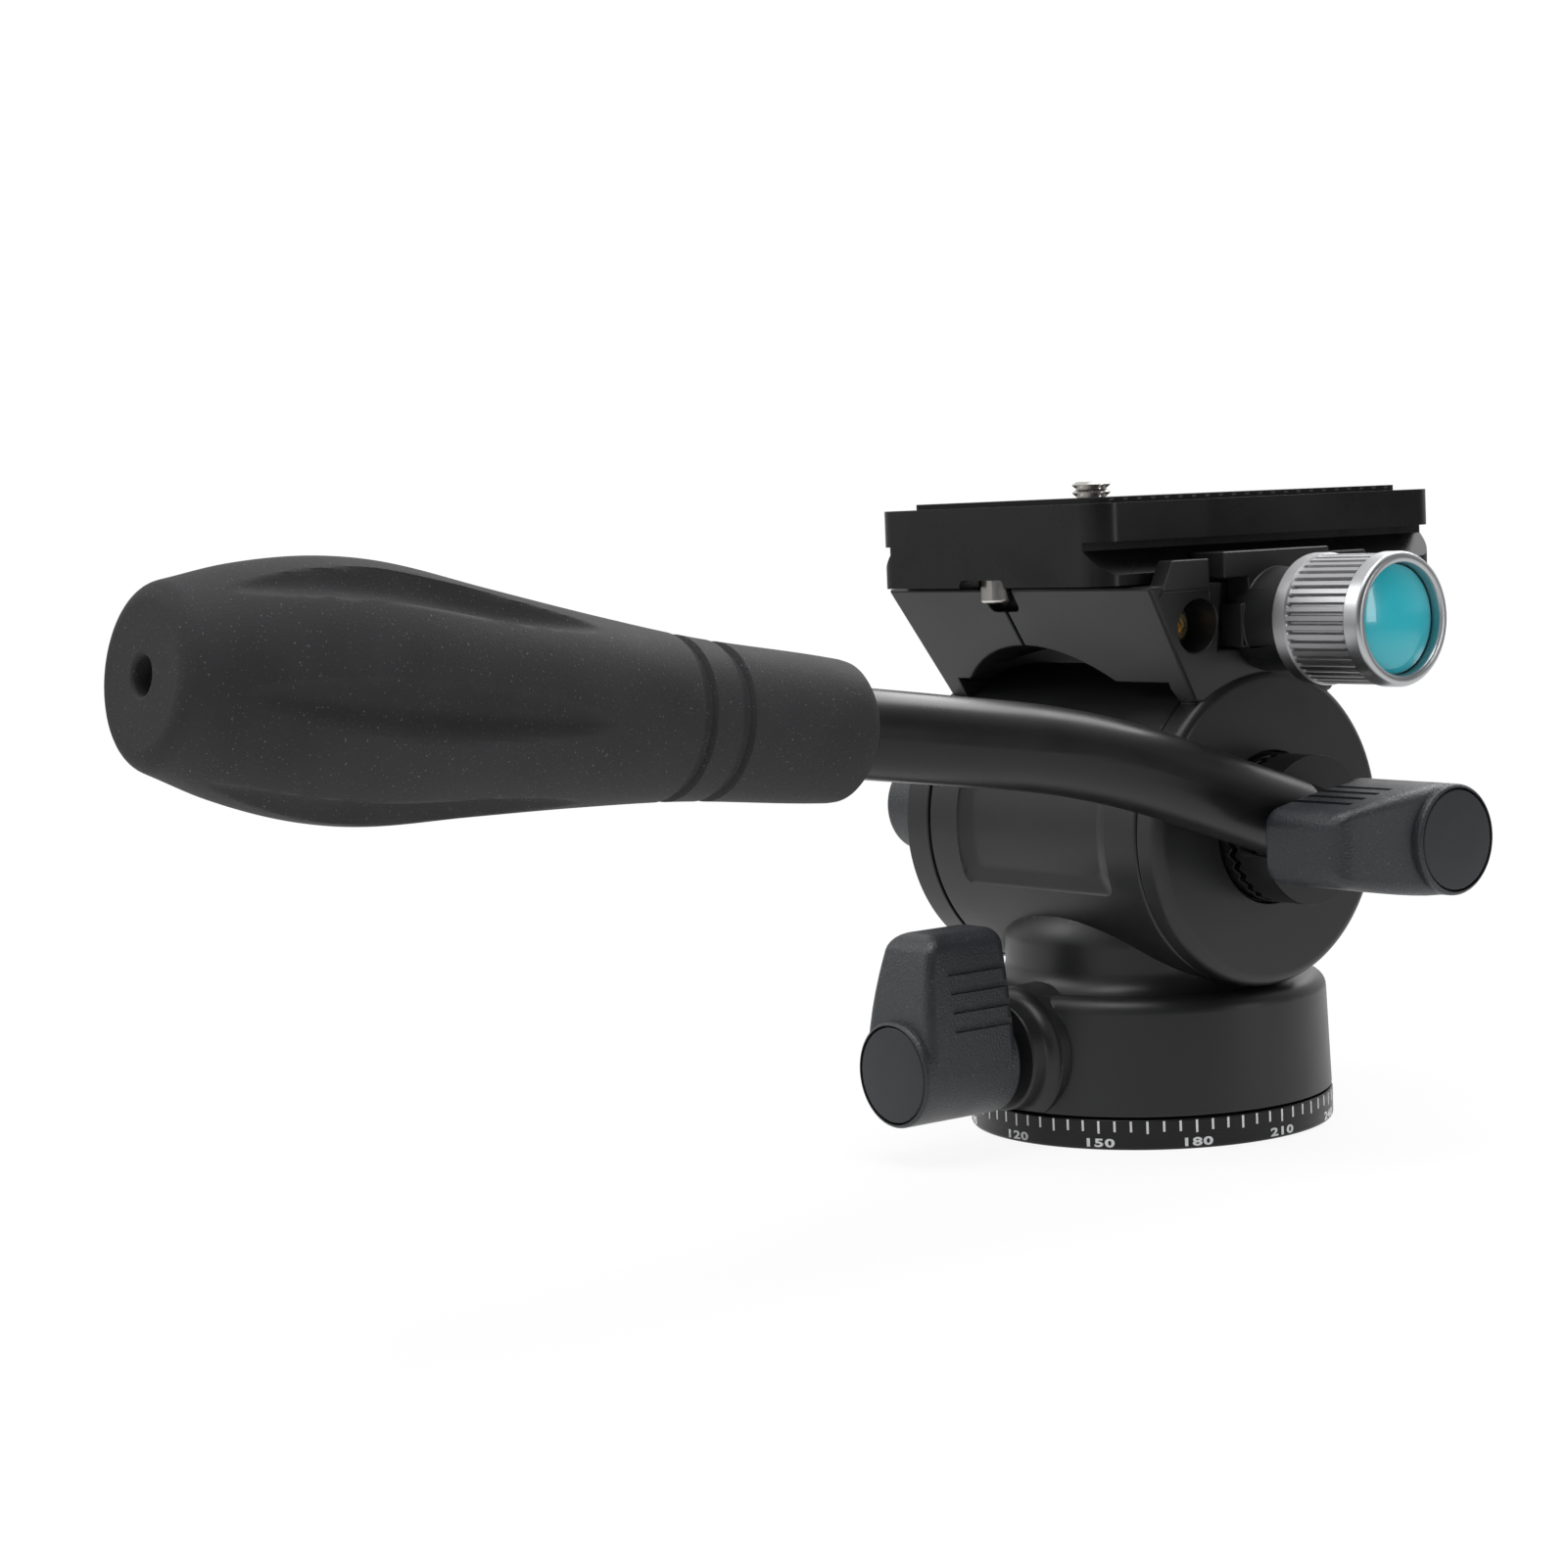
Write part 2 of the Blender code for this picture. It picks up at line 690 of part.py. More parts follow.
def neck():
    """Return the round neck, flared into the shoulder and crowned under the drum."""
    top = PAN_TOP + NECK_RISE
    profile = [(0, top)]
    for i in range(NECK_CROWN_STEPS + 1):
        share = i / NECK_CROWN_STEPS
        profile.append((NECK_RADIUS - NECK_CROWN * (1 - share) ** 2, top - NECK_CROWN_DROP * share))
    foot = PAN_TOP - SMALL_CHAMFER
    flare = arc(
        NECK_RADIUS + NECK_FILLET,
        foot + NECK_FILLET,
        NECK_FILLET,
        math.pi,
        math.pi * 3 / 2,
        NECK_FILLET_STEPS,
    )
    profile += flare
    profile += [(NECK_RADIUS, PAN_TOP - PAN_SHOULDER), (0, PAN_TOP - PAN_SHOULDER)]
    return turned(profile, upright(0, 0, 0), FINE_STEPS)


def badge_cutter():
    """Return the cutter of the drum's bare badge recess, bent round the drum."""
    outer = DRUM_RADIUS + BADGE_DEPTH
    floor = DRUM_RADIUS - BADGE_DEPTH
    grow = BADGE_SLOPE
    slope_angle = BADGE_SLOPE / DRUM_RADIUS
    rings = []
    for i in range(BADGE_STEPS + 1):
        share = 2 * i / BADGE_STEPS - 1
        outer_angle = share * (BADGE_HALF_ANGLE + slope_angle)
        floor_angle = share * (BADGE_HALF_ANGLE - slope_angle)
        wide = BADGE_HALF_WIDTH + grow
        narrow = BADGE_HALF_WIDTH - grow
        rings.append(
            [
                (-wide, -outer * math.cos(outer_angle), outer * math.sin(outer_angle)),
                (wide, -outer * math.cos(outer_angle), outer * math.sin(outer_angle)),
                (narrow, -floor * math.cos(floor_angle), floor * math.sin(floor_angle)),
                (-narrow, -floor * math.cos(floor_angle), floor * math.sin(floor_angle)),
            ]
        )
    return loft(rings, upright(0, 0, TILT_Z), cutter=True)


def build_pan_body(pan):
    """The casting with skirt, neck, lock boss and drum, and what it carries inside."""
    shoulder = arc(
        PAN_RADIUS - PAN_DRAFT - PAN_SHOULDER,
        PAN_TOP - PAN_SHOULDER,
        PAN_SHOULDER,
        math.pi / 2,
        0,
        PAN_SHOULDER_STEPS,
    )
    skirt = [(0, PAN_TOP)]
    skirt += shoulder
    skirt += [
        (PAN_RADIUS, PAN_FLOOR + SMALL_CHAMFER), (PAN_RADIUS - SMALL_CHAMFER, PAN_FLOOR), (0, PAN_FLOOR)
    ]
    body = turned(skirt, upright(0, 0, 0), FINE_STEPS)
    join(body, neck())
    drum = turned(
        [
            (0, DRUM_HALF_WIDTH),
            (DRUM_RADIUS - DRUM_EDGE, DRUM_HALF_WIDTH),
            (DRUM_RADIUS, DRUM_HALF_WIDTH - DRUM_EDGE),
            (DRUM_RADIUS, DRUM_EDGE - DRUM_HALF_WIDTH),
            (DRUM_RADIUS - DRUM_EDGE, -DRUM_HALF_WIDTH),
            (0, -DRUM_HALF_WIDTH),
        ],
        along_x(0, 0, TILT_Z),
        FINE_STEPS,
    )
    join(body, drum)
    boss_end = PAN_RADIUS + BOSS_REACH
    flare = arc(
        BOSS_RADIUS + BOSS_FLARE,
        PAN_RADIUS + BOSS_FLARE - SEAM,
        BOSS_FLARE,
        math.pi,
        math.pi * 3 / 2,
        BOSS_FLARE_STEPS,
    )
    boss_profile = [
        (0, boss_end), (BOSS_RADIUS - SMALL_CHAMFER, boss_end), (BOSS_RADIUS, boss_end - SMALL_CHAMFER)
    ]
    boss_profile += flare
    boss_root = PAN_RADIUS - PAN_WALL - BOSS_REACH
    boss_profile += [(BOSS_RADIUS + BOSS_FLARE, boss_root), (0, boss_root)]
    boss = turned(boss_profile, along_minus_y(0, 0, LOCK_HEIGHT))
    below_skirt = block(
        (-BASE_RADIUS, -BASE_RADIUS - BASE_RADIUS, -OVERRUN),
        (BASE_RADIUS, BASE_RADIUS, PAN_FLOOR + SMALL_CHAMFER / 2),
        upright(0, 0, 0),
        cutter=True,
    )
    join(body, cut(boss, below_skirt))
    clear_bore = DRUM_RADIUS - DRUM_WALL
    roof_floor = pan_roof_floor()
    cavity = PAN_RADIUS - PAN_WALL
    ear_sweep = EAR_RADIUS + EAR_FLOOR_GAP - SEAM / 3
    sweep_start = DRUM_HALF_WIDTH + SEAM / 3
    pan_room = [
        (0, TILT_Z - DRUM_RADIUS / 2),
        (PAN_WASHER_RADIUS + SEAM, TILT_Z - DRUM_RADIUS / 2),
        (PAN_WASHER_RADIUS + SEAM, roof_floor + PAN_ROOF),
        (SPINDLE_NECK_RADIUS + SEAM, roof_floor + PAN_ROOF),
        (SPINDLE_NECK_RADIUS + SEAM, roof_floor),
        (cavity, roof_floor),
        (cavity, 0),
        (0, 0),
    ]
    cut(
        body,
        turned(pan_room, upright(0, 0, 0), cutter=True),
        cylinder(clear_bore, -BASE_RADIUS, BASE_RADIUS, along_x(0, 0, TILT_Z), ROUND_STEPS, cutter=True),
        cylinder(
            STUD_HOLE, 0, boss_end + OVERRUN, along_minus_y(0, 0, LOCK_HEIGHT), SMALL_STEPS, cutter=True
        ),
        cylinder(
            ear_sweep, sweep_start, BASE_RADIUS + OVERRUN, along_x(0, 0, TILT_Z), FINE_STEPS, cutter=True
        ),
        cylinder(
            ear_sweep,
            -BASE_RADIUS - OVERRUN,
            -sweep_start,
            along_x(0, 0, TILT_Z),
            FINE_STEPS,
            cutter=True,
        ),
        badge_cutter(),
    )
    hang(finish_piece(body, "head_body", "black_casting"), pan)
    drag_floor = PAN_FLOOR + SEAM
    drag_outer = cavity - SEAM
    drag_inner = SPINDLE_FLANGE_RADIUS + DRAG_RING_GAP
    drag = ring(drag_outer, drag_inner, drag_floor, drag_floor + DRAG_RING_HEIGHT)
    hang(finish_piece(drag, "pan_drag_ring", "white_nylon"), pan)
    build_brake_shoe(pan)
    build_drum_inside(pan, clear_bore)


def build_brake_shoe(pan):
    """The pad between the pan lock's stud and the spindle's brake drum."""
    near = BRAKE_DRUM_RADIUS
    shoe = block(
        (-SHOE_WIDTH / 2, -near - SHOE_THICKNESS, LOCK_HEIGHT - SHOE_HEIGHT / 2),
        (SHOE_WIDTH / 2, -near + SHOE_THICKNESS / 2, LOCK_HEIGHT + SHOE_HEIGHT / 2),
        upright(0, 0, 0),
    )
    cut(shoe, cylinder(near + SEAM, 0, TILT_Z, upright(0, 0, 0), cutter=True))
    hang(finish_piece(shoe, "pan_brake_shoe", "brass"), pan)


def build_drum_inside(pan, clear_bore):
    """The fixed damper ring and the two bushes that carry the axle."""
    outer = clear_bore - SEAM
    cartridge = ring(
        outer,
        ROTOR_RADIUS + ROTOR_GAP,
        -ROTOR_HALF_WIDTH,
        ROTOR_HALF_WIDTH,
        along_x(0, 0, TILT_Z),
    )
    hang(finish_piece(cartridge, "tilt_cartridge", "grey_aluminium"), pan)
    inner = AXLE_RADIUS + SEAM
    end = DRUM_HALF_WIDTH - SEAM
    web = end - DRUM_BUSH_WEB
    back = end - DRUM_BUSH_LENGTH
    profile = [
        (outer, end),
        (outer, back),
        (outer - DRUM_BUSH_RIM, back),
        (outer - DRUM_BUSH_RIM, web),
        (inner + DRUM_BUSH_HUB, web),
        (inner + DRUM_BUSH_HUB, back),
        (inner, back),
        (inner, end),
    ]
    right = turned(profile, along_x(0, 0, TILT_Z), HIDDEN_STEPS, closed=True)
    hang(finish_piece(right, "drum_bush_right", "grey_aluminium"), pan)
    left = turned(profile, frame((0, 0, TILT_Z), (-1, 0, 0), (0, 0, -1)), HIDDEN_STEPS, closed=True)
    hang(finish_piece(left, "drum_bush_left", "grey_aluminium"), pan)


# Tilt bracket


def ear(side, outer, fillet):
    """Return one ear disc, with the fillet on its outer edge."""
    edge = arc(EAR_RADIUS - fillet, outer - fillet, fillet, math.pi / 2, 0, EAR_FILLET_STEPS)
    root = EAR_IN - OVERRUN
    profile = [(0, outer)] + edge + [(EAR_RADIUS, root), (0, root)]
    return turned(profile, frame((0, 0, TILT_Z), (side, 0, 0), (0, 0, -1)), FINE_STEPS)


def bed_block():
    """Return the bed with its sloped skirts, wide at the top and narrow at the legs."""
    leg_half_width = EAR_OUT - LEG_INSET
    bm = bmesh.new()
    bmesh.ops.create_cube(bm, size=1)
    for vertex in bm.verts:
        top = vertex.co.z > 0
        half_x = BED_HALF_WIDTH if top else leg_half_width
        half_y = BED_HALF_LENGTH if top else LEG_HALF_LENGTH
        vertex.co.x = math.copysign(half_x, vertex.co.x)
        vertex.co.y = math.copysign(half_y, vertex.co.y)
        vertex.co.z = BED_Z if top else BED_Z - LEG_DROP
    return soften(as_object(from_bmesh(bm), upright(0, 0, 0)), BED_EDGE)


def fixed_jaw():
    """Return the fixed dovetail jaw along the bed's left edge."""
    top = PLATE_BOTTOM + PLATE_FOOT + JAW_LIP
    inner = PLATE_HALF_WIDTH + SEAM
    hook = inner - JAW_LIP + SEAM
    outline = [
        (-BED_HALF_WIDTH + BED_EDGE, BED_Z - BED_EDGE - SEAM),
        (-inner, BED_Z - BED_EDGE - SEAM),
        (-inner, PLATE_BOTTOM + PLATE_FOOT - SEAM),
        (-hook, top - SEAM),
        (-BED_HALF_WIDTH + BED_EDGE, top - SEAM),
    ]
    place = frame((0, 0, 0), (0, -1, 0), (1, 0, 0))
    return extruded(outline, -FIXED_JAW_HALF_LENGTH, FIXED_JAW_HALF_LENGTH, place)


def side_lip(direction):
    """Return one raised lip beside the sliding jaw, ramped at its outer end."""
    inner_end = JAW_HALF_LENGTH + LIP_GAP
    outer_end = inner_end + LIP_LENGTH
    outline = [
        (direction * inner_end, BED_Z - BED_EDGE - SEAM),
        (direction * (outer_end + LIP_RAMP), BED_Z - BED_EDGE - SEAM),
        (direction * outer_end, BED_Z + LIP_RISE),
        (direction * inner_end, BED_Z + LIP_RISE),
    ]
    outer = BED_HALF_WIDTH - BED_EDGE / 2
    return extruded(outline, outer - LIP_THICKNESS, outer, frame((0, 0, 0), (1, 0, 0), (0, 1, 0)))


def jaw_recess():
    """Return the cutter of the seat that the sliding jaw moves in."""
    bottom = CLAMP_Z - JAW_BOTTOM_DROP - SEAM
    half = JAW_FOOT_HALF_LENGTH + JAW_RECESS_GAP
    return block(
        (JAW_BACK - SEAM, -half, bottom),
        (BED_HALF_WIDTH + OVERRUN, half, BED_Z + OVERRUN),
        upright(0, 0, 0),
        cutter=True,
    )


def arch_cutter():
    """Return the cutter of the arch across the skirts, which leaves the ears alone."""
    middle = BED_Z - ARCH_CROWN - ARCH_RADIUS
    top = arc(
        ARCH_OFFSET,
        middle,
        ARCH_RADIUS,
        math.pi / 2 - ARCH_HALF_ANGLE,
        math.pi / 2 + ARCH_HALF_ANGLE,
        ARCH_STEPS,
    )
    outline = top + [(top[-1][0], TILT_Z), (top[0][0], TILT_Z)]
    place = frame((0, 0, 0), (0, -1, 0), (1, 0, 0))
    return extruded(outline, -BED_HALF_LENGTH - OVERRUN, BED_HALF_LENGTH + OVERRUN, place, cutter=True)


def build_tilt_bracket(tilt):
    """The casting with bed and ears, and what is fixed to it."""
    body = bed_block()
    join(body, ear(1, EAR_OUT, EAR_FILLET), ear(-1, LEFT_EAR_OUT, LEFT_EAR_FILLET))
    join(body, fixed_jaw(), side_lip(1), side_lip(-1))
    boss_end = LEFT_EAR_OUT + LEFT_BOSS_HEIGHT
    left_boss = [
        (0, boss_end),
        (BOSS_RADIUS - SMALL_CHAMFER, boss_end),
        (BOSS_RADIUS, boss_end - SMALL_CHAMFER),
        (BOSS_RADIUS, EAR_OUT - EAR_FILLET),
        (0, EAR_OUT - EAR_FILLET),
    ]
    join(body, turned(left_boss, frame((0, 0, TILT_Z), (-1, 0, 0), (0, 0, -1))))
    skirt_slope = (BED_HALF_LENGTH - LEG_HALF_LENGTH) / LEG_DROP
    pocket_floor = BED_Z - PIN_POCKET_DEPTH
    slit_angle = math.atan(skirt_slope)
    slit_place = Matrix.Translation(
        (ARCH_OFFSET, -BED_HALF_LENGTH, BED_Z)
    ) @ Matrix.Rotation(slit_angle, 4, "X")
    pin_y = -PLATE_FRONT + STOP_PIN_SETBACK
    side_pocket_y = -BED_HALF_LENGTH + SIDE_POCKET_SETBACK
    side_pocket_z = BED_Z - SIDE_POCKET_DROP
    pocket_bottom = BED_HALF_WIDTH - SIDE_POCKET_DEPTH
    screw_depth = pocket_bottom - EAR_THICKNESS
    hub_hole = AXLE_RADIUS + SEAM
    cut(
        body,
        cylinder(TUNNEL_RADIUS, -EAR_IN, EAR_IN, along_x(0, 0, TILT_Z), FINE_STEPS, cutter=True),
        arch_cutter(),
        jaw_recess(),
        cylinder(
            hub_hole,
            ROSETTE_SEAT - EAR_OUT,
            BED_HALF_WIDTH,
            along_x(0, 0, TILT_Z),
            SMALL_STEPS,
            cutter=True,
        ),
        cylinder(
            ROSETTE_RADIUS + SEAM,
            EAR_OUT - ROSETTE_SEAT,
            EAR_OUT + OVERRUN,
            along_x(0, 0, TILT_Z),
            cutter=True,
        ),
        cylinder(
            STUD_HOLE,
            EAR_IN,
            boss_end + OVERRUN,
            frame((0, 0, TILT_Z), (-1, 0, 0), (0, 0, -1)),
            cutter=True,
        ),
        cylinder(
            CLAMP_BORE_RADIUS,
            BED_HALF_WIDTH - CLAMP_SCREW_REACH - SEAM,
            BED_HALF_WIDTH + OVERRUN,
            along_x(0, 0, CLAMP_Z),
            SMALL_STEPS,
            cutter=True,
        ),
        cylinder(
            SIDE_POCKET_RADIUS,
            pocket_bottom,
            BED_HALF_WIDTH + OVERRUN,
            along_x(0, side_pocket_y, side_pocket_z),
            cutter=True,
        ),
        cylinder(
            SCREW_RADIUS + SEAM,
            screw_depth,
            BED_HALF_WIDTH,
            along_x(0, side_pocket_y, side_pocket_z),
            SMALL_STEPS,
            cutter=True,
        ),
        block(
            (ARCH_OFFSET - PIN_POCKET_HALF_WIDTH, -BED_HALF_LENGTH - OVERRUN, pocket_floor),
            (ARCH_OFFSET + PIN_POCKET_HALF_WIDTH, -BED_HALF_LENGTH + PIN_POCKET_LENGTH, BED_Z + OVERRUN),
            upright(0, 0, 0),
            cutter=True,
        ),
        block(
            (-SKIRT_SLIT_WIDTH / 2, -OVERRUN, -LEG_DROP),
            (SKIRT_SLIT_WIDTH / 2, SKIRT_SLIT_DEPTH, 0),
            slit_place,
            cutter=True,
        ),
    )
    for side in (-1, 1):
        pin_hole = cylinder(
            JAW_PIN_RADIUS + SEAM,
            JAW_BACK - JAW_PIN_LENGTH / 2 - SEAM,
            JAW_FACE,
            along_x(0, side * JAW_PIN_SPREAD, CLAMP_Z),
            SMALL_STEPS,
            cutter=True,
        )
        cut(body, pin_hole)
    hang(finish_piece(body, "tilt_bracket", "black_casting"), tilt)
    bed_screw = turned(
        [
            (0, pocket_bottom + SEAM + SCREW_HEAD_HEIGHT),
            (BED_SCREW_HEAD_RADIUS - SMALL_CHAMFER, pocket_bottom + SEAM + SCREW_HEAD_HEIGHT),
            (BED_SCREW_HEAD_RADIUS, pocket_bottom + SEAM + SCREW_HEAD_HEIGHT - SMALL_CHAMFER),
            (BED_SCREW_HEAD_RADIUS, pocket_bottom + SEAM),
            (SCREW_RADIUS, pocket_bottom + SEAM),
            (SCREW_RADIUS, screw_depth + SEAM),
            (0, screw_depth + SEAM),
        ],
        along_x(0, side_pocket_y, side_pocket_z),
        SMALL_STEPS,
    )
    hang(finish_piece(bed_screw, "bed_screw", "brass"), tilt)
    build_axle(tilt)
    build_rosette(tilt)


def build_axle(tilt):
    """The steel axle with a threaded bore in each end, and the damper's rotor on it."""
    end = EAR_OUT - ROSETTE_SEAT - AXLE_RECESS
    axle = cylinder(AXLE_RADIUS, -end, end, along_x(0, 0, TILT_Z), HIDDEN_STEPS)
    cut(
        axle,
        cylinder(
            STUD_HOLE,
            end - AXLE_BORE_DEPTH,
            end + OVERRUN,
            along_x(0, 0, TILT_Z),
            SMALL_STEPS,
            cutter=True,
        ),
        cylinder(
            STUD_HOLE,
            -end - OVERRUN,
            AXLE_BORE_DEPTH - end,
            along_x(0, 0, TILT_Z),
            SMALL_STEPS,
            cutter=True,
        ),
    )
    hang(finish_piece(axle, "tilt_axle", "steel"), tilt)
    rotor = ring(
        ROTOR_RADIUS,
        AXLE_RADIUS + SEAM,
        -ROTOR_HALF_WIDTH,
        ROTOR_HALF_WIDTH,
        along_x(0, 0, TILT_Z),
    )
    hang(finish_piece(rotor, "tilt_rotor", "white_nylon"), tilt)


def toothed_face(radius, inner, root_height, tooth_height, phase_share):
    """Return the rings of a face with radial teeth that fade towards the centre.

    Heights run from root_height; phase_share 0 puts a crest at local +X, 1 a root.
    """
    count = 2 * ROSETTE_TEETH
    fade = inner / radius
    outer_ring = []
    inner_ring = []
    for i in range(count):
        angle = i * math.tau / count
        crest = (i % 2 == 0) != (phase_share == 1)
        lift = tooth_height if crest else 0
        middle = tooth_height / 2
        inner_lift = middle + (lift - middle) * fade
        outer_ring.append((radius * math.cos(angle), radius * math.sin(angle), root_height + lift))
        inner_ring.append((inner * math.cos(angle), inner * math.sin(angle), root_height + inner_lift))
    return outer_ring, inner_ring


def flat_ring(radius, height):
    """Return a ring of points that matches the teeth's count."""
    count = 2 * ROSETTE_TEETH
    turn = math.tau / count
    return [(radius * math.cos(i * turn), radius * math.sin(i * turn), height) for i in range(count)]


def toothed_disc(radius, floor, root_height, phase_share, place):
    """Add a disc whose top face carries the rosette's radial teeth."""
    outer, inner = toothed_face(
        radius, ROSETTE_INNER_RADIUS, root_height, ROSETTE_TOOTH_HEIGHT, phase_share
    )
    middle_height = root_height + ROSETTE_TOOTH_HEIGHT / 2
    return loft([flat_ring(radius, floor), outer, inner, flat_ring(STUD_RADIUS / 2, middle_height)], place)


def build_rosette(tilt):
    """The toothed ring that is let into the right ear."""
    floor = EAR_OUT - ROSETTE_SEAT + SEAM
    rosette = toothed_disc(ROSETTE_RADIUS, floor, ROSETTE_FACE, 0, along_x(0, 0, TILT_Z))
    cut(rosette, cylinder(STUD_HOLE, 0, HUB_FACE, along_x(0, 0, TILT_Z), SMALL_STEPS, cutter=True))
    hang(finish_piece(rosette, "rosette", "black_anodised"), tilt)


# Wing knobs


def wing_section(level, front, back, half):
    """Return one section of the wing: a rounded rectangle across the knob's length."""
    corner = min(WING_CORNER, half - SEAM)
    middle = (front + back) / 2
    outline = rounded_rectangle((front - back) / 2, half, corner, WING_CORNER_STEPS)
    return [(level, y, middle + x) for x, y in outline]


def wing_rings():
    """Return the wing's sections from inside the barrel to its rounded tip."""
    rings = []
    tip_start = WING_REACH - WING_TIP_ROUND

    def shape(level):
        share = level / WING_REACH
        front = KNOB_LENGTH - KNOB_RIM - WING_FRONT_INSET - WING_FRONT_SLOPE * share
        half = KNOB_RADIUS + (WING_TIP_HALF - KNOB_RADIUS) * share
        return front, half

    for level in (0, KNOB_RADIUS, tip_start):
        front, half = shape(level)
        rings.append(wing_section(level, front, 0, half))
    for i in range(1, WING_TIP_STEPS + 1):
        angle = i * math.pi / 2 / WING_TIP_STEPS
        level = tip_start + WING_TIP_ROUND * math.sin(angle)
        shrink = WING_TIP_ROUND * (1 - math.cos(angle))
        front, half = shape(level)
        rings.append(wing_section(level, front - shrink, shrink / 2, half - shrink))
    return rings


def knob_mesh():
    """Return the mesh of one wing knob: axis local Z, wing towards local +X."""
    rim_radius = KNOB_RADIUS - KNOB_RIM
    barrel = turned(
        [
            (0, KNOB_LENGTH),
            (rim_radius, KNOB_LENGTH),
            (KNOB_RADIUS - KNOB_TAPER, KNOB_LENGTH - KNOB_RIM),
            (KNOB_RADIUS, SMALL_CHAMFER),
            (KNOB_RADIUS - SMALL_CHAMFER, 0),
            (0, 0),
        ],
        upright(0, 0, 0),
    )
    join(barrel, loft(wing_rings(), upright(0, 0, 0)))
    grooves = bmesh.new()
    for side in (-1, 1):
        for i in range(GRIP_RIB_COUNT):
            level = GRIP_RIB_FIRST + i * GRIP_RIB_PITCH
            half = KNOB_RADIUS + (WING_TIP_HALF - KNOB_RADIUS) * level / WING_REACH
            size = Vector((GRIP_RIB_WIDTH, 2 * GRIP_RIB_DEPTH, GRIP_RIB_LENGTH))
            middle = Vector((level, side * half, 0))
            grid = Matrix.Translation(middle) @ Matrix.Diagonal((*size, 1)) @ Matrix.Scale(2, 4, (0, 0, 1))
            bmesh.ops.create_cube(grooves, size=1, matrix=grid)
    cut(
        barrel,
        as_object(from_bmesh(grooves), upright(0, 0, 0), cutter=True),
        cylinder(
            CAP_RADIUS + SEAM,
            KNOB_LENGTH - CAP_THICKNESS,
            KNOB_LENGTH + OVERRUN,
            upright(0, 0, 0),
            cutter=True,
        ),
        cylinder(STUD_HOLE, -OVERRUN, STUD_IN_KNOB + SEAM, upright(0, 0, 0), SMALL_STEPS, cutter=True),
    )
    mesh = baked(barrel)
    bpy.data.objects.remove(barrel, do_unlink=True)
    return mesh


def build_knob(name, mesh, place, stud_reach, parent):
    """Place a wing knob, its inlaid cap and its stud, which stands stud_reach out of it."""
    hang(finish_piece(as_object(mesh.copy(), place), name, "black_plastic"), parent)
    top = KNOB_LENGTH
    floor = KNOB_LENGTH - CAP_THICKNESS + SEAM
    cap = turned(
        [
            (0, top + CAP_DOME),
            (CAP_RADIUS - CAP_DOME, top),
            (CAP_RADIUS, top - CAP_DOME),
            (CAP_RADIUS, floor),
            (0, floor),
        ],
        place,
    )
    hang(finish_piece(cap, name + "_cap", "black_plastic"), parent)
    stud = turned(
        [
            (0, STUD_IN_KNOB),
            (STUD_RADIUS, STUD_IN_KNOB),
            (STUD_RADIUS, SMALL_CHAMFER - stud_reach),
            (STUD_RADIUS - SMALL_CHAMFER, -stud_reach),
            (0, -stud_reach),
        ],
        place,
        SMALL_STEPS,
    )
    hang(finish_piece(stud, name + "_stud", "steel"), parent)


# Handle


def tube_path(start, end):
    """Return (distance towards the operator, height) points along the tube's centreline.

    The path leaves the tilt axis at the inner angle and bends down to the outer one.
    """
    bend = TUBE_INNER_ANGLE - TUBE_OUTER_ANGLE
    tangent = TUBE_BEND_RADIUS * math.tan(bend / 2)
    bend_start = TUBE_BEND_PLACE - tangent
    arc_length = TUBE_BEND_RADIUS * bend
    places = [start]
    places += [bend_start + arc_length * i / TUBE_BEND_STEPS for i in range(TUBE_BEND_STEPS + 1)]
    places.append(end)
    return [tube_point(place) for place in places]


def tube_point(place):
    """Return the point and the direction angle at a distance along the tube."""
    bend = TUBE_INNER_ANGLE - TUBE_OUTER_ANGLE
    tangent = TUBE_BEND_RADIUS * math.tan(bend / 2)
    bend_start = TUBE_BEND_PLACE - tangent
    straight = min(place, bend_start)
    out = straight * math.cos(TUBE_INNER_ANGLE)
    up = straight * math.sin(TUBE_INNER_ANGLE)
    angle = TUBE_INNER_ANGLE
    if place > bend_start:
        turn = min((place - bend_start) / TUBE_BEND_RADIUS, bend)
        angle = TUBE_INNER_ANGLE - turn
        out += TUBE_BEND_RADIUS * (math.sin(TUBE_INNER_ANGLE) - math.sin(angle))
        up += TUBE_BEND_RADIUS * (math.cos(angle) - math.cos(TUBE_INNER_ANGLE))
    rest = place - bend_start - TUBE_BEND_RADIUS * bend
    if rest > 0:
        out += rest * math.cos(TUBE_OUTER_ANGLE)
        up += rest * math.sin(TUBE_OUTER_ANGLE)
    return out, up, angle


def tube_solid(radius, start, end, cutter=False):
    """Sweep a round bar along the tube's path and return it as a mesh object."""
    curve = bpy.data.curves.new("tube", "CURVE")
    curve.dimensions = "3D"
    curve.bevel_depth = radius
    curve.bevel_resolution = TUBE_SIDES_SETTING
    curve.use_fill_caps = True
    points = tube_path(start, end)
    spline = curve.splines.new("POLY")
    spline.points.add(len(points) - 1)
    for point, (out, up, _) in zip(spline.points, points):
        point.co = (TUBE_X, -out, TILT_Z + up, 1)
    guide = bpy.data.objects.new("tube", curve)
    CUTTERS.objects.link(guide)
    mesh = baked(guide)
    bpy.data.objects.remove(guide, do_unlink=True)
    return as_object(mesh, upright(0, 0, 0), cutter)


def tube_frame(place):
    """Return a frame on the tube: local +Z along it to the grip, local +X along world +X."""
    out, up, angle = tube_point(place)
    axial = (0, -math.cos(angle), math.sin(angle))
    return frame((TUBE_X, -out, TILT_Z + up), axial, (1, 0, 0))


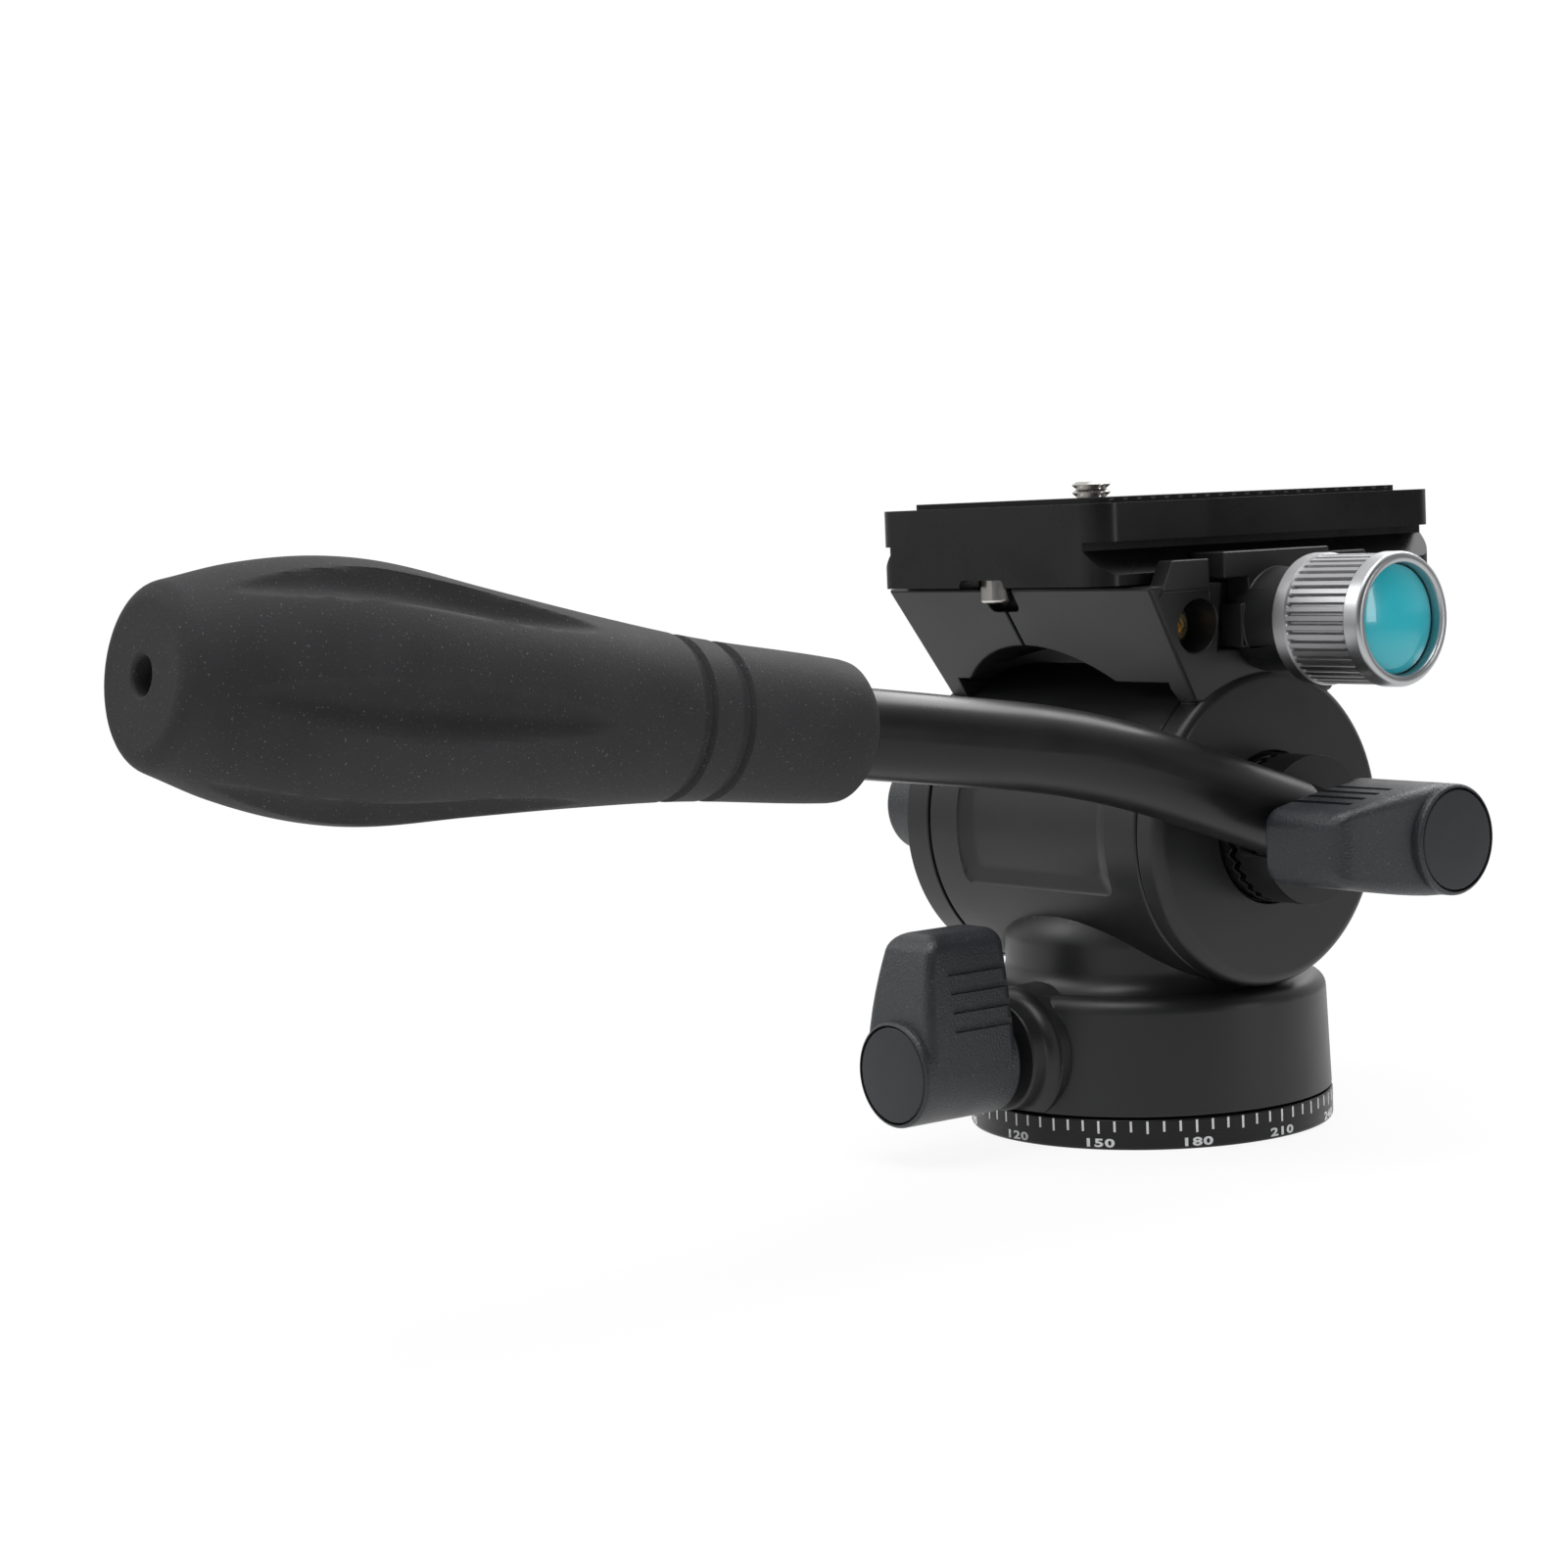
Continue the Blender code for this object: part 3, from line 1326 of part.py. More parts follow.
def build_handle(handle):
    """Hub, tube, its flat end, the spacer under the knob, and the grip."""
    hub = toothed_disc(
        ROSETTE_RADIUS, -HUB_FACE, -HUB_BACK, 1, frame((0, 0, TILT_Z), (-1, 0, 0), (0, 0, -1))
    )
    channel = tube_frame(0)
    across = TUBE_RADIUS + SEAM
    cut(
        hub,
        cylinder(STUD_HOLE, 0, HUB_FACE + OVERRUN, along_x(0, 0, TILT_Z), SMALL_STEPS, cutter=True),
        block(
            (-TUBE_RADIUS - SEAM, -across, -ROSETTE_RADIUS * 2),
            (TUBE_RADIUS, across, ROSETTE_RADIUS * 2),
            channel,
            cutter=True,
        ),
    )
    hang(finish_piece(hub, "handle_hub", "black_plastic"), handle)
    tube_end = GRIP_START + TUBE_INSERTION
    tube = tube_solid(TUBE_RADIUS, TUBE_END_SETBACK, tube_end)
    inner = TUBE_RADIUS - TUBE_WALL
    cut(tube, tube_solid(inner, TUBE_END_SETBACK - OVERRUN, tube_end + OVERRUN, cutter=True))
    hang(finish_piece(tube, "handle_tube", "black_tube"), handle)
    lug_floor = -TUBE_RADIUS
    lug_top = lug_floor + LUG_THICKNESS
    eye = cylinder(LUG_RADIUS, TUBE_X + lug_floor, TUBE_X + lug_top, along_x(0, 0, TILT_Z))
    tongue = block(
        (lug_floor, -LUG_RADIUS, 0),
        (lug_top, LUG_RADIUS, TUBE_END_SETBACK - SEAM),
        channel,
    )
    plug = cylinder(
        inner - SEAM,
        TUBE_END_SETBACK - LUG_THICKNESS,
        TUBE_END_SETBACK + LUG_PLUG_LENGTH,
        channel,
        SMALL_STEPS,
    )
    join(eye, tongue, plug)
    stud_way = cylinder(STUD_HOLE, 0, HANDLE_KNOB_X, along_x(0, 0, TILT_Z), SMALL_STEPS, cutter=True)
    spacer_seat = TUBE_X + lug_top
    spacer_room = cylinder(
        SPACER_RADIUS + SEAM,
        spacer_seat,
        HANDLE_KNOB_X,
        along_x(0, 0, TILT_Z),
        SMALL_STEPS,
        cutter=True,
    )
    cut(eye, stud_way, spacer_room)
    hang(finish_piece(eye, "handle_lug", "steel"), handle)
    spacer = ring(
        SPACER_RADIUS,
        STUD_HOLE,
        spacer_seat + SEAM,
        HANDLE_KNOB_X - SEAM,
        along_x(0, 0, TILT_Z),
        SMALL_STEPS,
    )
    hang(finish_piece(spacer, "handle_spacer", "steel"), handle)
    build_grip(handle)


def grip_radius(share):
    """Return the grip's plain radius at a share of its length, smooth between its stations."""
    places = (0, *GRIP_RADIUS_SHARES, 1)
    radii = (GRIP_NOSE_RADIUS, *GRIP_RADII, GRIP_TAIL_RADIUS)
    for i in range(len(places) - 1):
        if share <= places[i + 1]:
            local = (share - places[i]) / (places[i + 1] - places[i])
            slopes = [station_slope(places, radii, k) for k in (i, i + 1)]
            return hermite(radii[i], radii[i + 1], slopes, places[i + 1] - places[i], local)
    return radii[-1]


def station_slope(places, radii, index):
    """Return the radius's slope at a station, from its neighbours."""
    before = max(index - 1, 0)
    after = min(index + 1, len(places) - 1)
    return (radii[after] - radii[before]) / (places[after] - places[before])


def hermite(first, last, slopes, span, t):
    """Return the cubic between two values with given slopes."""
    ease = t * t * (3 - 2 * t)
    return (
        first * (1 - ease)
        + last * ease
        + slopes[0] * span * t * (1 - t) ** 2
        - slopes[1] * span * t * t * (1 - t)
    )


def flute_depth(share, angle):
    """Return how deep the scalloped flutes are at a place on the grip."""
    low, high = GRIP_FLUTE_SPAN_SHARES
    if not low < share < high:
        return 0
    fade = math.sin(math.pi * (share - low) / (high - low)) ** 0.8
    wave = (1 + math.cos(GRIP_FLUTE_COUNT * angle)) / 2
    return GRIP_FLUTE_DEPTH * fade * wave**1.5


def grip_stations():
    """Return the grip's stations as (distance from the nose, groove depth)."""
    stations = [(GRIP_LENGTH * share, 0) for share in (0, *GRIP_RADIUS_SHARES, 1)]
    low, high = GRIP_FLUTE_SPAN_SHARES
    middles = [(first[0] + last[0]) / 2 for first, last in zip(stations, stations[1:])]
    stations += [(place, 0) for place in middles if low < place / GRIP_LENGTH < high]
    for place in GRIP_GROOVE_PLACES:
        stations = [item for item in stations if abs(item[0] - place) > 2 * GRIP_GROOVE_HALF_WIDTH]
        for offset, depth in ((-1, 0), (-0.5, 1), (0.5, 1), (1, 0)):
            stations.append((place + offset * GRIP_GROOVE_HALF_WIDTH, depth * GRIP_GROOVE_DEPTH))
    return sorted(stations)


def build_grip(handle):
    """The moulded grip, with two ring grooves, long flutes and a hole in its tail."""
    rings = []
    for place, groove in grip_stations():
        share = place / GRIP_LENGTH
        plain = grip_radius(share) - groove
        points = []
        for i in range(GRIP_SIDES):
            angle = i * math.tau / GRIP_SIDES
            reach = plain - flute_depth(share, angle)
            points.append((reach * math.cos(angle), reach * math.sin(angle), place))
        rings.append(points)
    place = tube_frame(GRIP_START)
    grip = loft(rings, place)
    cut(
        grip,
        cylinder(TUBE_RADIUS + SEAM, -OVERRUN, TUBE_INSERTION + SEAM, place, ROUND_STEPS, cutter=True),
        cylinder(
            GRIP_TAIL_HOLE_RADIUS,
            GRIP_LENGTH - GRIP_TAIL_HOLE_DEPTH,
            GRIP_LENGTH + OVERRUN,
            place,
            SMALL_STEPS,
            cutter=True,
        ),
    )
    hang(finish_piece(grip, "handle_grip", "black_rubber"), handle)


# Quick release clamp


def build_clamp(jaw_pivot, knob_pivot, tilt):
    """The sliding jaw, its guide pins, and the fluted knob with its cap and screw."""
    bottom = CLAMP_Z - JAW_BOTTOM_DROP
    top = PLATE_BOTTOM + PLATE_FOOT + JAW_LIP - SEAM
    inner = PLATE_HALF_WIDTH + SEAM
    hook = inner - JAW_LIP + SEAM
    back = max(JAW_BACK, inner)
    outline = [
        (back, bottom),
        (JAW_FACE, bottom),
        (JAW_FACE, top),
        (hook, top),
        (inner, PLATE_BOTTOM + PLATE_FOOT - SEAM),
        (inner, PLATE_BOTTOM),
        (back, PLATE_BOTTOM),
    ]
    outline = [point for i, point in enumerate(outline) if point != outline[i - 1]]
    across = frame((0, 0, 0), (0, -1, 0), (1, 0, 0))
    jaw = extruded(outline, -JAW_HALF_LENGTH, JAW_HALF_LENGTH, across)
    join(
        jaw,
        cylinder(
            COLLAR_RADIUS, JAW_BACK + JAW_THICKNESS / 2, JAW_FACE + COLLAR_LENGTH, along_x(0, 0, CLAMP_Z),
        ),
    )
    notch_top = PLATE_BOTTOM + SEAM
    for side in (-1, 1):
        notch = block(
            (back - OVERRUN, 0, notch_top - JAW_NOTCH_HEIGHT),
            (JAW_FACE + OVERRUN, side * JAW_NOTCH_DEPTH, notch_top),
            upright(0, side * (JAW_HALF_LENGTH - JAW_NOTCH_DEPTH) + side * SEAM, 0),
            cutter=True,
        )
        pin_hole = cylinder(
            JAW_PIN_RADIUS + SEAM,
            JAW_BACK - OVERRUN,
            JAW_BACK + JAW_PIN_LENGTH / 2,
            along_x(0, side * JAW_PIN_SPREAD, CLAMP_Z),
            SMALL_STEPS,
            cutter=True,
        )
        foot = block(
            (back - OVERRUN, 0, bottom - OVERRUN),
            (JAW_FACE + OVERRUN, side * JAW_HALF_LENGTH, notch_top),
            upright(0, side * JAW_FOOT_HALF_LENGTH, 0),
            cutter=True,
        )
        cut(jaw, notch, foot, pin_hole)
        pin = cylinder(
            JAW_PIN_RADIUS,
            JAW_BACK - JAW_PIN_LENGTH / 2,
            JAW_FACE - SEAM,
            along_x(0, side * JAW_PIN_SPREAD, CLAMP_Z),
            SMALL_STEPS,
        )
        name = "jaw_pin_front" if side < 0 else "jaw_pin_rear"
        hang(finish_piece(pin, name, "steel"), tilt)
    cut(
        jaw,
        cylinder(
            CLAMP_BORE_RADIUS,
            JAW_BACK - OVERRUN,
            CLAMP_KNOB_X,
            along_x(0, 0, CLAMP_Z),
            SMALL_STEPS,
            cutter=True,
        ),
    )
    hang(finish_piece(jaw, "clamp_jaw", "black_anodised"), jaw_pivot)
    build_clamp_knob(knob_pivot)


def fluted_ring(radius, depth, height):
    """Return one ring of the clamp knob's section, V-fluted by depth."""
    count = 2 * CLAMP_FLUTES
    points = []
    for i in range(count):
        angle = i * math.tau / count
        reach = radius - (depth if i % 2 else 0)
        points.append((reach * math.cos(angle), reach * math.sin(angle), height))
    return points


def build_clamp_knob(knob_pivot):
    """The fluted aluminium knob between two plain rings, its cap and its screw."""
    place = along_x(CLAMP_KNOB_X, 0, CLAMP_Z)
    flute_radius = CLAMP_KNOB_RADIUS - SEAM
    front = CLAMP_KNOB_LENGTH - CLAMP_FRONT_RING
    rings = [
        fluted_ring(CLAMP_KNOB_RADIUS - SMALL_CHAMFER, 0, 0),
        fluted_ring(CLAMP_KNOB_RADIUS, 0, CLAMP_REAR_RING),
        fluted_ring(flute_radius, CLAMP_FLUTE_DEPTH, CLAMP_REAR_RING + SEAM),
        fluted_ring(flute_radius, CLAMP_FLUTE_DEPTH, front - SEAM),
        fluted_ring(CLAMP_KNOB_RADIUS, 0, front),
        fluted_ring(CLAMP_KNOB_RADIUS, 0, CLAMP_KNOB_LENGTH - CLAMP_KNOB_CHAMFER),
        fluted_ring(CLAMP_KNOB_RADIUS - CLAMP_KNOB_CHAMFER, 0, CLAMP_KNOB_LENGTH),
    ]
    knob = loft(rings, place)
    cap_floor = CLAMP_KNOB_LENGTH - CLAMP_CAP_DEPTH
    screw_top = cap_floor - CLAMP_CAP_DEPTH
    cut(
        knob,
        cylinder(CLAMP_CAP_RADIUS + SEAM, cap_floor, CLAMP_KNOB_LENGTH + OVERRUN, place, cutter=True),
        cylinder(CLAMP_BORE_RADIUS, -OVERRUN, screw_top + SEAM, place, SMALL_STEPS, cutter=True),
    )
    hang(finish_piece(knob, "clamp_knob", "grey_aluminium"), knob_pivot)
    dome = [(0, cap_floor + SEAM + CLAMP_CAP_DOME + SMALL_CHAMFER)]
    for i in range(1, DOME_STEPS + 1):
        share = i / DOME_STEPS
        dome.append((CLAMP_CAP_RADIUS * share, dome[0][1] - CLAMP_CAP_DOME * share**2))
    dome.append((CLAMP_CAP_RADIUS, cap_floor + SEAM))
    dome.append((0, cap_floor + SEAM))
    hang(finish_piece(turned(dome, place), "clamp_cap", "teal_enamel"), knob_pivot)
    tip = BED_HALF_WIDTH - CLAMP_SCREW_REACH
    screw = cylinder(CLAMP_SCREW_RADIUS, tip - CLAMP_KNOB_X + JAW_SLIDE, screw_top, place, SMALL_STEPS)
    hang(finish_piece(screw, "clamp_screw", "steel"), knob_pivot)


# Plate


def plate_outline():
    """Return the plate's cross-section: dovetail foot, neck groove and flange."""
    foot_top = PLATE_BOTTOM + PLATE_FOOT
    neck_low = foot_top + PLATE_GROOVE
    neck_high = neck_low + PLATE_NECK
    half = PLATE_HALF_WIDTH
    neck = half - PLATE_GROOVE
    right = [
        (half, PLATE_BOTTOM),
        (half, foot_top),
        (neck, neck_low),
        (neck, neck_high),
        (half, neck_high),
        (half, PLATE_TOP),
    ]
    return right + [(-x, z) for x, z in reversed(right)]


def plan_prism(inset, low, high, cutter=False):
    """Add the plate's plan with round corners as a prism, drawn in by inset."""
    middle = PLATE_LENGTH / 2 - PLATE_FRONT
    outline = rounded_rectangle(
        PLATE_HALF_WIDTH - inset,
        PLATE_LENGTH / 2 - inset,
        PAD_CORNER - inset + PAD_INSET if inset else PLATE_CORNER,
        PLATE_CORNER_STEPS,
    )
    return extruded(outline, low, high, upright(0, middle, 0), cutter)


def build_plate(plate, washer_pivot, screw_pivot):
    """The dovetail plate, its ribbed pad, the stop pins and the camera screw."""
    across = frame((0, 0, 0), (0, -1, 0), (1, 0, 0))
    rear = PLATE_LENGTH - PLATE_FRONT
    body = extruded(plate_outline(), -rear, PLATE_FRONT, across)
    combine(body, plan_prism(0, BED_Z, PAD_TOP), "INTERSECT")
    head_way = CAMERA_HEAD_RADIUS + HEAD_SLOT_GAP
    head_floor = PLATE_BOTTOM + CAMERA_HEAD_LIFT
    shelf = head_floor + CAMERA_HEAD_HEIGHT + SEAM + SCREW_WASHER_THICKNESS + SEAM
    slot_end = SLOT_HALF_LENGTH
    slot_place = upright(0, SLOT_PLACE, 0)
    slot = slot_outline(SLOT_HALF_WIDTH, slot_end, PLATE_CORNER_STEPS)
    head_slot = slot_outline(head_way, slot_end + head_way - SLOT_HALF_WIDTH, PLATE_CORNER_STEPS)
    cut(
        body,
        plan_prism(PAD_INSET, PLATE_TOP - PAD_SINK, PAD_TOP, cutter=True),
        extruded(slot, BED_Z, PAD_TOP, slot_place, cutter=True),
        extruded(head_slot, BED_Z - OVERRUN, shelf, slot_place, cutter=True),
    )
    front_pin = -PLATE_FRONT + STOP_PIN_SETBACK
    rear_pin = rear - STOP_PIN_SETBACK
    for name, y, outward in (("plate_stop_front", front_pin, -1), ("plate_stop_rear", rear_pin, 1)):
        pin_top = PLATE_BOTTOM + STOP_PIN_DEPTH
        pin = turned(
            [
                (0, pin_top),
                (STOP_PIN_RADIUS, pin_top),
                (STOP_PIN_RADIUS, PLATE_BOTTOM - STOP_PIN_DROP + SMALL_CHAMFER),
                (STOP_PIN_RADIUS - SMALL_CHAMFER, PLATE_BOTTOM - STOP_PIN_DROP),
                (0, PLATE_BOTTOM - STOP_PIN_DROP),
            ],
            upright(ARCH_OFFSET, y, 0),
            SMALL_STEPS,
        )
        hang(finish_piece(pin, name, "steel"), plate)
        notch_end = STOP_PIN_SETBACK + STOP_NOTCH_HALF_WIDTH + OVERRUN
        cut(
            body,
            cylinder(
                STOP_PIN_RADIUS + SEAM,
                BED_Z,
                pin_top + SEAM,
                upright(ARCH_OFFSET, y, 0),
                SMALL_STEPS,
                cutter=True,
            ),
            block(
                (STOP_NOTCH_OFFSET - STOP_NOTCH_HALF_WIDTH, min(0, outward * notch_end), -OVERRUN),
                (STOP_NOTCH_OFFSET + STOP_NOTCH_HALF_WIDTH, max(0, outward * notch_end), STOP_NOTCH_HEIGHT),
                upright(ARCH_OFFSET, y - outward * STOP_NOTCH_HALF_WIDTH, PLATE_BOTTOM),
                cutter=True,
            ),
        )
    hang(finish_piece(body, "quick_plate", "black_anodised"), plate)
    build_pad(plate, slot, slot_place)
    build_camera_screw(washer_pivot, screw_pivot, head_floor)


def build_pad(plate, slot, slot_place):
    """The rubber pad, ribbed across, with the screw's slot through it."""
    pad = plan_prism(PAD_INSET + SEAM, PLATE_TOP - PAD_SINK + SEAM, PAD_TOP)
    grooves = bmesh.new()
    front = -PLATE_FRONT + PAD_INSET
    count = int((PLATE_LENGTH - 2 * PAD_INSET) / PAD_RIB_PITCH)
    for i in range(1, count):
        size = (PLATE_HALF_WIDTH * 4, PAD_RIB_GROOVE, PAD_RIB_DEPTH * 2)
        middle = Matrix.Translation((0, front + i * PAD_RIB_PITCH, PAD_TOP))
        bmesh.ops.create_cube(grooves, size=1, matrix=middle @ Matrix.Diagonal((*size, 1)))
    cut(
        pad,
        as_object(from_bmesh(grooves), upright(0, 0, 0), cutter=True),
        extruded(slot, BED_Z, PAD_TOP + OVERRUN, slot_place, cutter=True),
    )
    hang(finish_piece(pad, "plate_pad", "black_rubber"), plate)


def build_camera_screw(washer_pivot, screw_pivot, head_floor):
    """The camera screw with its coin slot, and the washer that slides with it."""
    top = PLATE_TOP + CAMERA_SCREW_PROUD
    head_top = head_floor + CAMERA_HEAD_HEIGHT
    place = upright(0, CAMERA_SCREW_PLACE, 0)
    screw = turned(
        [
            (0, top),
            (CAMERA_SCREW_RADIUS - SMALL_CHAMFER, top),
            (CAMERA_SCREW_RADIUS, top - SMALL_CHAMFER),
            (CAMERA_SCREW_RADIUS, head_top),
            (CAMERA_HEAD_RADIUS, head_top),
            (CAMERA_HEAD_RADIUS, head_floor + SMALL_CHAMFER),
            (CAMERA_HEAD_RADIUS - SMALL_CHAMFER, head_floor),
            (0, head_floor),
        ],
        place,
    )
    half = CAMERA_HEAD_SLOT / 2
    coin_slot = block(
        (-CAMERA_HEAD_RADIUS * 2, -half, head_floor - OVERRUN),
        (CAMERA_HEAD_RADIUS * 2, half, head_floor + CAMERA_HEAD_SLOT),
        place,
        cutter=True,
    )
    cut(screw, coin_slot)
    hang(finish_piece(screw, "camera_screw", "steel"), screw_pivot)
    washer_floor = head_top + SEAM
    washer = ring(
        SCREW_WASHER_RADIUS,
        CAMERA_SCREW_RADIUS + SEAM,
        washer_floor,
        washer_floor + SCREW_WASHER_THICKNESS,
        place,
        SMALL_STEPS,
    )
    hang(finish_piece(washer, "screw_washer", "white_nylon"), washer_pivot)


# Assembly


def build_head():
    """Build every piece, body by body, each on its joint's axis."""
    tilt_axis = (0, 0, TILT_Z)
    base = pivot("base_body", (0, 0, 0))
    pan = pivot("pan_axis", (0, 0, PAN_FLOOR), base)
    tilt = pivot("tilt_axis", tilt_axis, pan)
    handle = pivot("handle_axis", tilt_axis, tilt)
    jaw_pivot = pivot("jaw_way", (JAW_BACK, 0, CLAMP_Z), tilt)
    clamp_pivot = pivot("clamp_axis", (CLAMP_KNOB_X, 0, CLAMP_Z), jaw_pivot)
    plate = pivot("plate_way", (0, 0, BED_Z), tilt)
    washer_pivot = pivot("screw_way", (0, CAMERA_SCREW_PLACE, PLATE_BOTTOM), plate)
    screw_pivot = pivot("screw_axis", (0, CAMERA_SCREW_PLACE, PLATE_BOTTOM), washer_pivot)
    build_base(base)
    build_pan_body(pan)
    build_tilt_bracket(tilt)
    build_handle(handle)
    build_clamp(jaw_pivot, clamp_pivot, tilt)
    build_plate(plate, washer_pivot, screw_pivot)
    mesh = knob_mesh()
    pan_face = PAN_RADIUS + BOSS_REACH + KNOB_GAP
    pan_knob = pivot("pan_knob_axis", (0, -pan_face, LOCK_HEIGHT), pan)
    shoe_back = BRAKE_DRUM_RADIUS + SHOE_THICKNESS + STUD_TIP_GAP
    build_knob("pan_knob", mesh, along_minus_y(0, -pan_face, LOCK_HEIGHT), pan_face - shoe_back, pan_knob)
    tilt_face = LEFT_EAR_OUT + LEFT_BOSS_HEIGHT + KNOB_GAP
    tilt_knob = pivot("tilt_knob_axis", (-tilt_face, 0, TILT_Z), tilt)
    left = frame((-tilt_face, 0, TILT_Z), (-1, 0, 0), (0, 1, 0))
    build_knob("tilt_knob", mesh, left, TILT_STUD_REACH, tilt_knob)
    handle_knob = pivot("handle_knob_axis", (HANDLE_KNOB_X, 0, TILT_Z), handle)
    right = frame((HANDLE_KNOB_X, 0, TILT_Z), (1, 0, 0), (0, -1, 0))
    axle_end = EAR_OUT - ROSETTE_SEAT - AXLE_RECESS
    stud_tip = axle_end - AXLE_BORE_DEPTH + STUD_TIP_GAP
    build_knob("handle_knob", mesh, right, HANDLE_KNOB_X - stud_tip, handle_knob)


clear_scene()
PARTS = make_collection("fluid_video_head")
CUTTERS = make_collection("cutters")
build_head()
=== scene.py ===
"""Looks of a compact fluid video head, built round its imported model.

Metres, +Z up. +X runs along the tilt axis to the handle's side and -Y points to the operator.
Each sub-assembly is a class that holds its sizes, models its pieces where they belong and dresses
them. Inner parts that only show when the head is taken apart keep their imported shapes.
"""

import logging
import math
from collections.abc import Callable, Iterator, Sequence
from contextlib import contextmanager
from dataclasses import dataclass
from enum import Enum

import bmesh
import bpy
from mathutils import Matrix, Vector
from mathutils.bvhtree import BVHTree


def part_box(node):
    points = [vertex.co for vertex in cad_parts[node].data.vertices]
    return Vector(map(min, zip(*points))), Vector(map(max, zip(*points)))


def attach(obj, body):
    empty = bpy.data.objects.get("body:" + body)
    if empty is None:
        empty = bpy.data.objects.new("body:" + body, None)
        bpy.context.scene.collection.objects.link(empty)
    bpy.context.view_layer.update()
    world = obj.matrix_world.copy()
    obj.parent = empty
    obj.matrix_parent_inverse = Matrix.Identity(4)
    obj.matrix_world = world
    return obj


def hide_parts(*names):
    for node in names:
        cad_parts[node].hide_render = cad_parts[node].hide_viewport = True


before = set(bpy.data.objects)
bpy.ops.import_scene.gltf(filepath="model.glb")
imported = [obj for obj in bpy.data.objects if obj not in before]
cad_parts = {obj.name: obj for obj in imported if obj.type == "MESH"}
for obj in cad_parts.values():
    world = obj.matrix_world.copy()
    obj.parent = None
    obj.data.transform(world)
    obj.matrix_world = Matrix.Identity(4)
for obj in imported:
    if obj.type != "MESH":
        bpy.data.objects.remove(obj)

LOG = logging.getLogger("video_head")
WELD = 0.000002  # points closer than this are one
NEAR = 0.0001  # how close a tested point lies to its place
STRAY_SHARE = 0.4  # how far, in bevel widths, a point may leave the sharp shape
FLAT_ANGLE = math.radians(0.3)  # faces that meet at less are one
SHADE_ANGLE = math.radians(32)  # edges sharper than this stay sharp
NOISE_BAND = (0.3, 0.7)  # where a noise starts and ends its range
SPECK_BAND = (0.66, 0.74)  # where in the grain the specks start and are full
SPECK_LIFT = 6.0  # how many times lighter than the base they are

Shape = bpy.types.Object
Socket = bpy.types.NodeSocket
Point = tuple[float, float, float]
Rings = list[tuple[float, float]]
Profile = Sequence[tuple[float, float]]
Test = Callable[[Vector], bool]


class Element(Enum):
    """What a selection in edit mode is made of."""

    VERT = "verts"
    EDGE = "edges"


class Facing(Enum):
    """Directions in which a turned piece may lie: its own +Z, then its own +X."""

    UP = ((0, 0, 1), (1, 0, 0))
    DOWN = ((0, 0, -1), (1, 0, 0))
    RIGHT = ((1, 0, 0), (0, 0, -1))
    LEFT = ((-1, 0, 0), (0, 0, -1))
    OPERATOR = ((0, -1, 0), (0, 0, 1))
    LENS = ((0, 1, 0), (0, 0, 1))


# Modelling moves


def take(obj: Shape) -> None:
    """Make one object the only selected and the active one."""
    bpy.ops.object.select_all(action="DESELECT")
    obj.select_set(True)
    bpy.context.view_layer.objects.active = obj


@contextmanager
def editing(obj: Shape) -> Iterator[None]:
    """Open an object in edit mode and close it again.

    Args:
        obj: The mesh object to edit.
    """
    take(obj)
    bpy.ops.object.mode_set(mode="EDIT")
    yield
    bpy.ops.object.mode_set(mode="OBJECT")


def middle_of(item: bmesh.types.BMVert | bmesh.types.BMEdge) -> Vector:
    """Return the middle of a vertex or an edge."""
    if isinstance(item, bmesh.types.BMVert):
        return item.co.copy()
    return (item.verts[0].co + item.verts[1].co) / 2


def pick(obj: Shape, element: Element, test: Test) -> None:
    """Select, in edit mode, only the elements whose middle passes a test.

    Args:
        obj: The object that is open in edit mode.
        element: What to select.
        test: Takes the middle of an element and says whether it is wanted.
    """
    bpy.ops.mesh.select_mode(type=element.name)
    bpy.ops.mesh.select_all(action="DESELECT")
    mesh = bmesh.from_edit_mesh(obj.data)
    for item in getattr(mesh, element.value):
        if test(middle_of(item)):
            item.select_set(True)
    mesh.select_flush_mode()
    bmesh.update_edit_mesh(obj.data)


def pick_flat(obj: Shape, direction: Point) -> None:
    """Select, in edit mode, the faces that look along a direction.

    Args:
        obj: The object that is open in edit mode.
        direction: Where the faces look.
    """
    bpy.ops.mesh.select_mode(type="FACE")
    bpy.ops.mesh.select_all(action="DESELECT")
    mesh = bmesh.from_edit_mesh(obj.data)
    way = Vector(direction)
    for face in mesh.faces:
        if face.normal.dot(way) > 0.9:
            face.select_set(True)
    mesh.select_flush_mode()
    bmesh.update_edit_mesh(obj.data)


def shift(step: Point) -> None:
    """Move what is selected in edit mode."""
    bpy.ops.transform.translate(value=step)


def resize(shares: Point, centre: Point) -> None:
    """Resize what is selected in edit mode about a point."""
    bpy.ops.transform.resize(value=shares, center_override=centre)


def extrude(step: Point) -> None:
    """Extrude what is selected in edit mode."""
    bpy.ops.mesh.extrude_region_move(TRANSFORM_OT_translate={"value": step})


def weld() -> None:
    """Merge, in edit mode, the points that lie on one another."""
    bpy.ops.mesh.select_all(action="SELECT")
    bpy.ops.mesh.remove_doubles(threshold=WELD)


def settle(obj: Shape) -> Shape:
    """Move an object's place, turn and size into its mesh."""
    take(obj)
    bpy.ops.object.transform_apply(location=True, rotation=True, scale=True)
    return obj


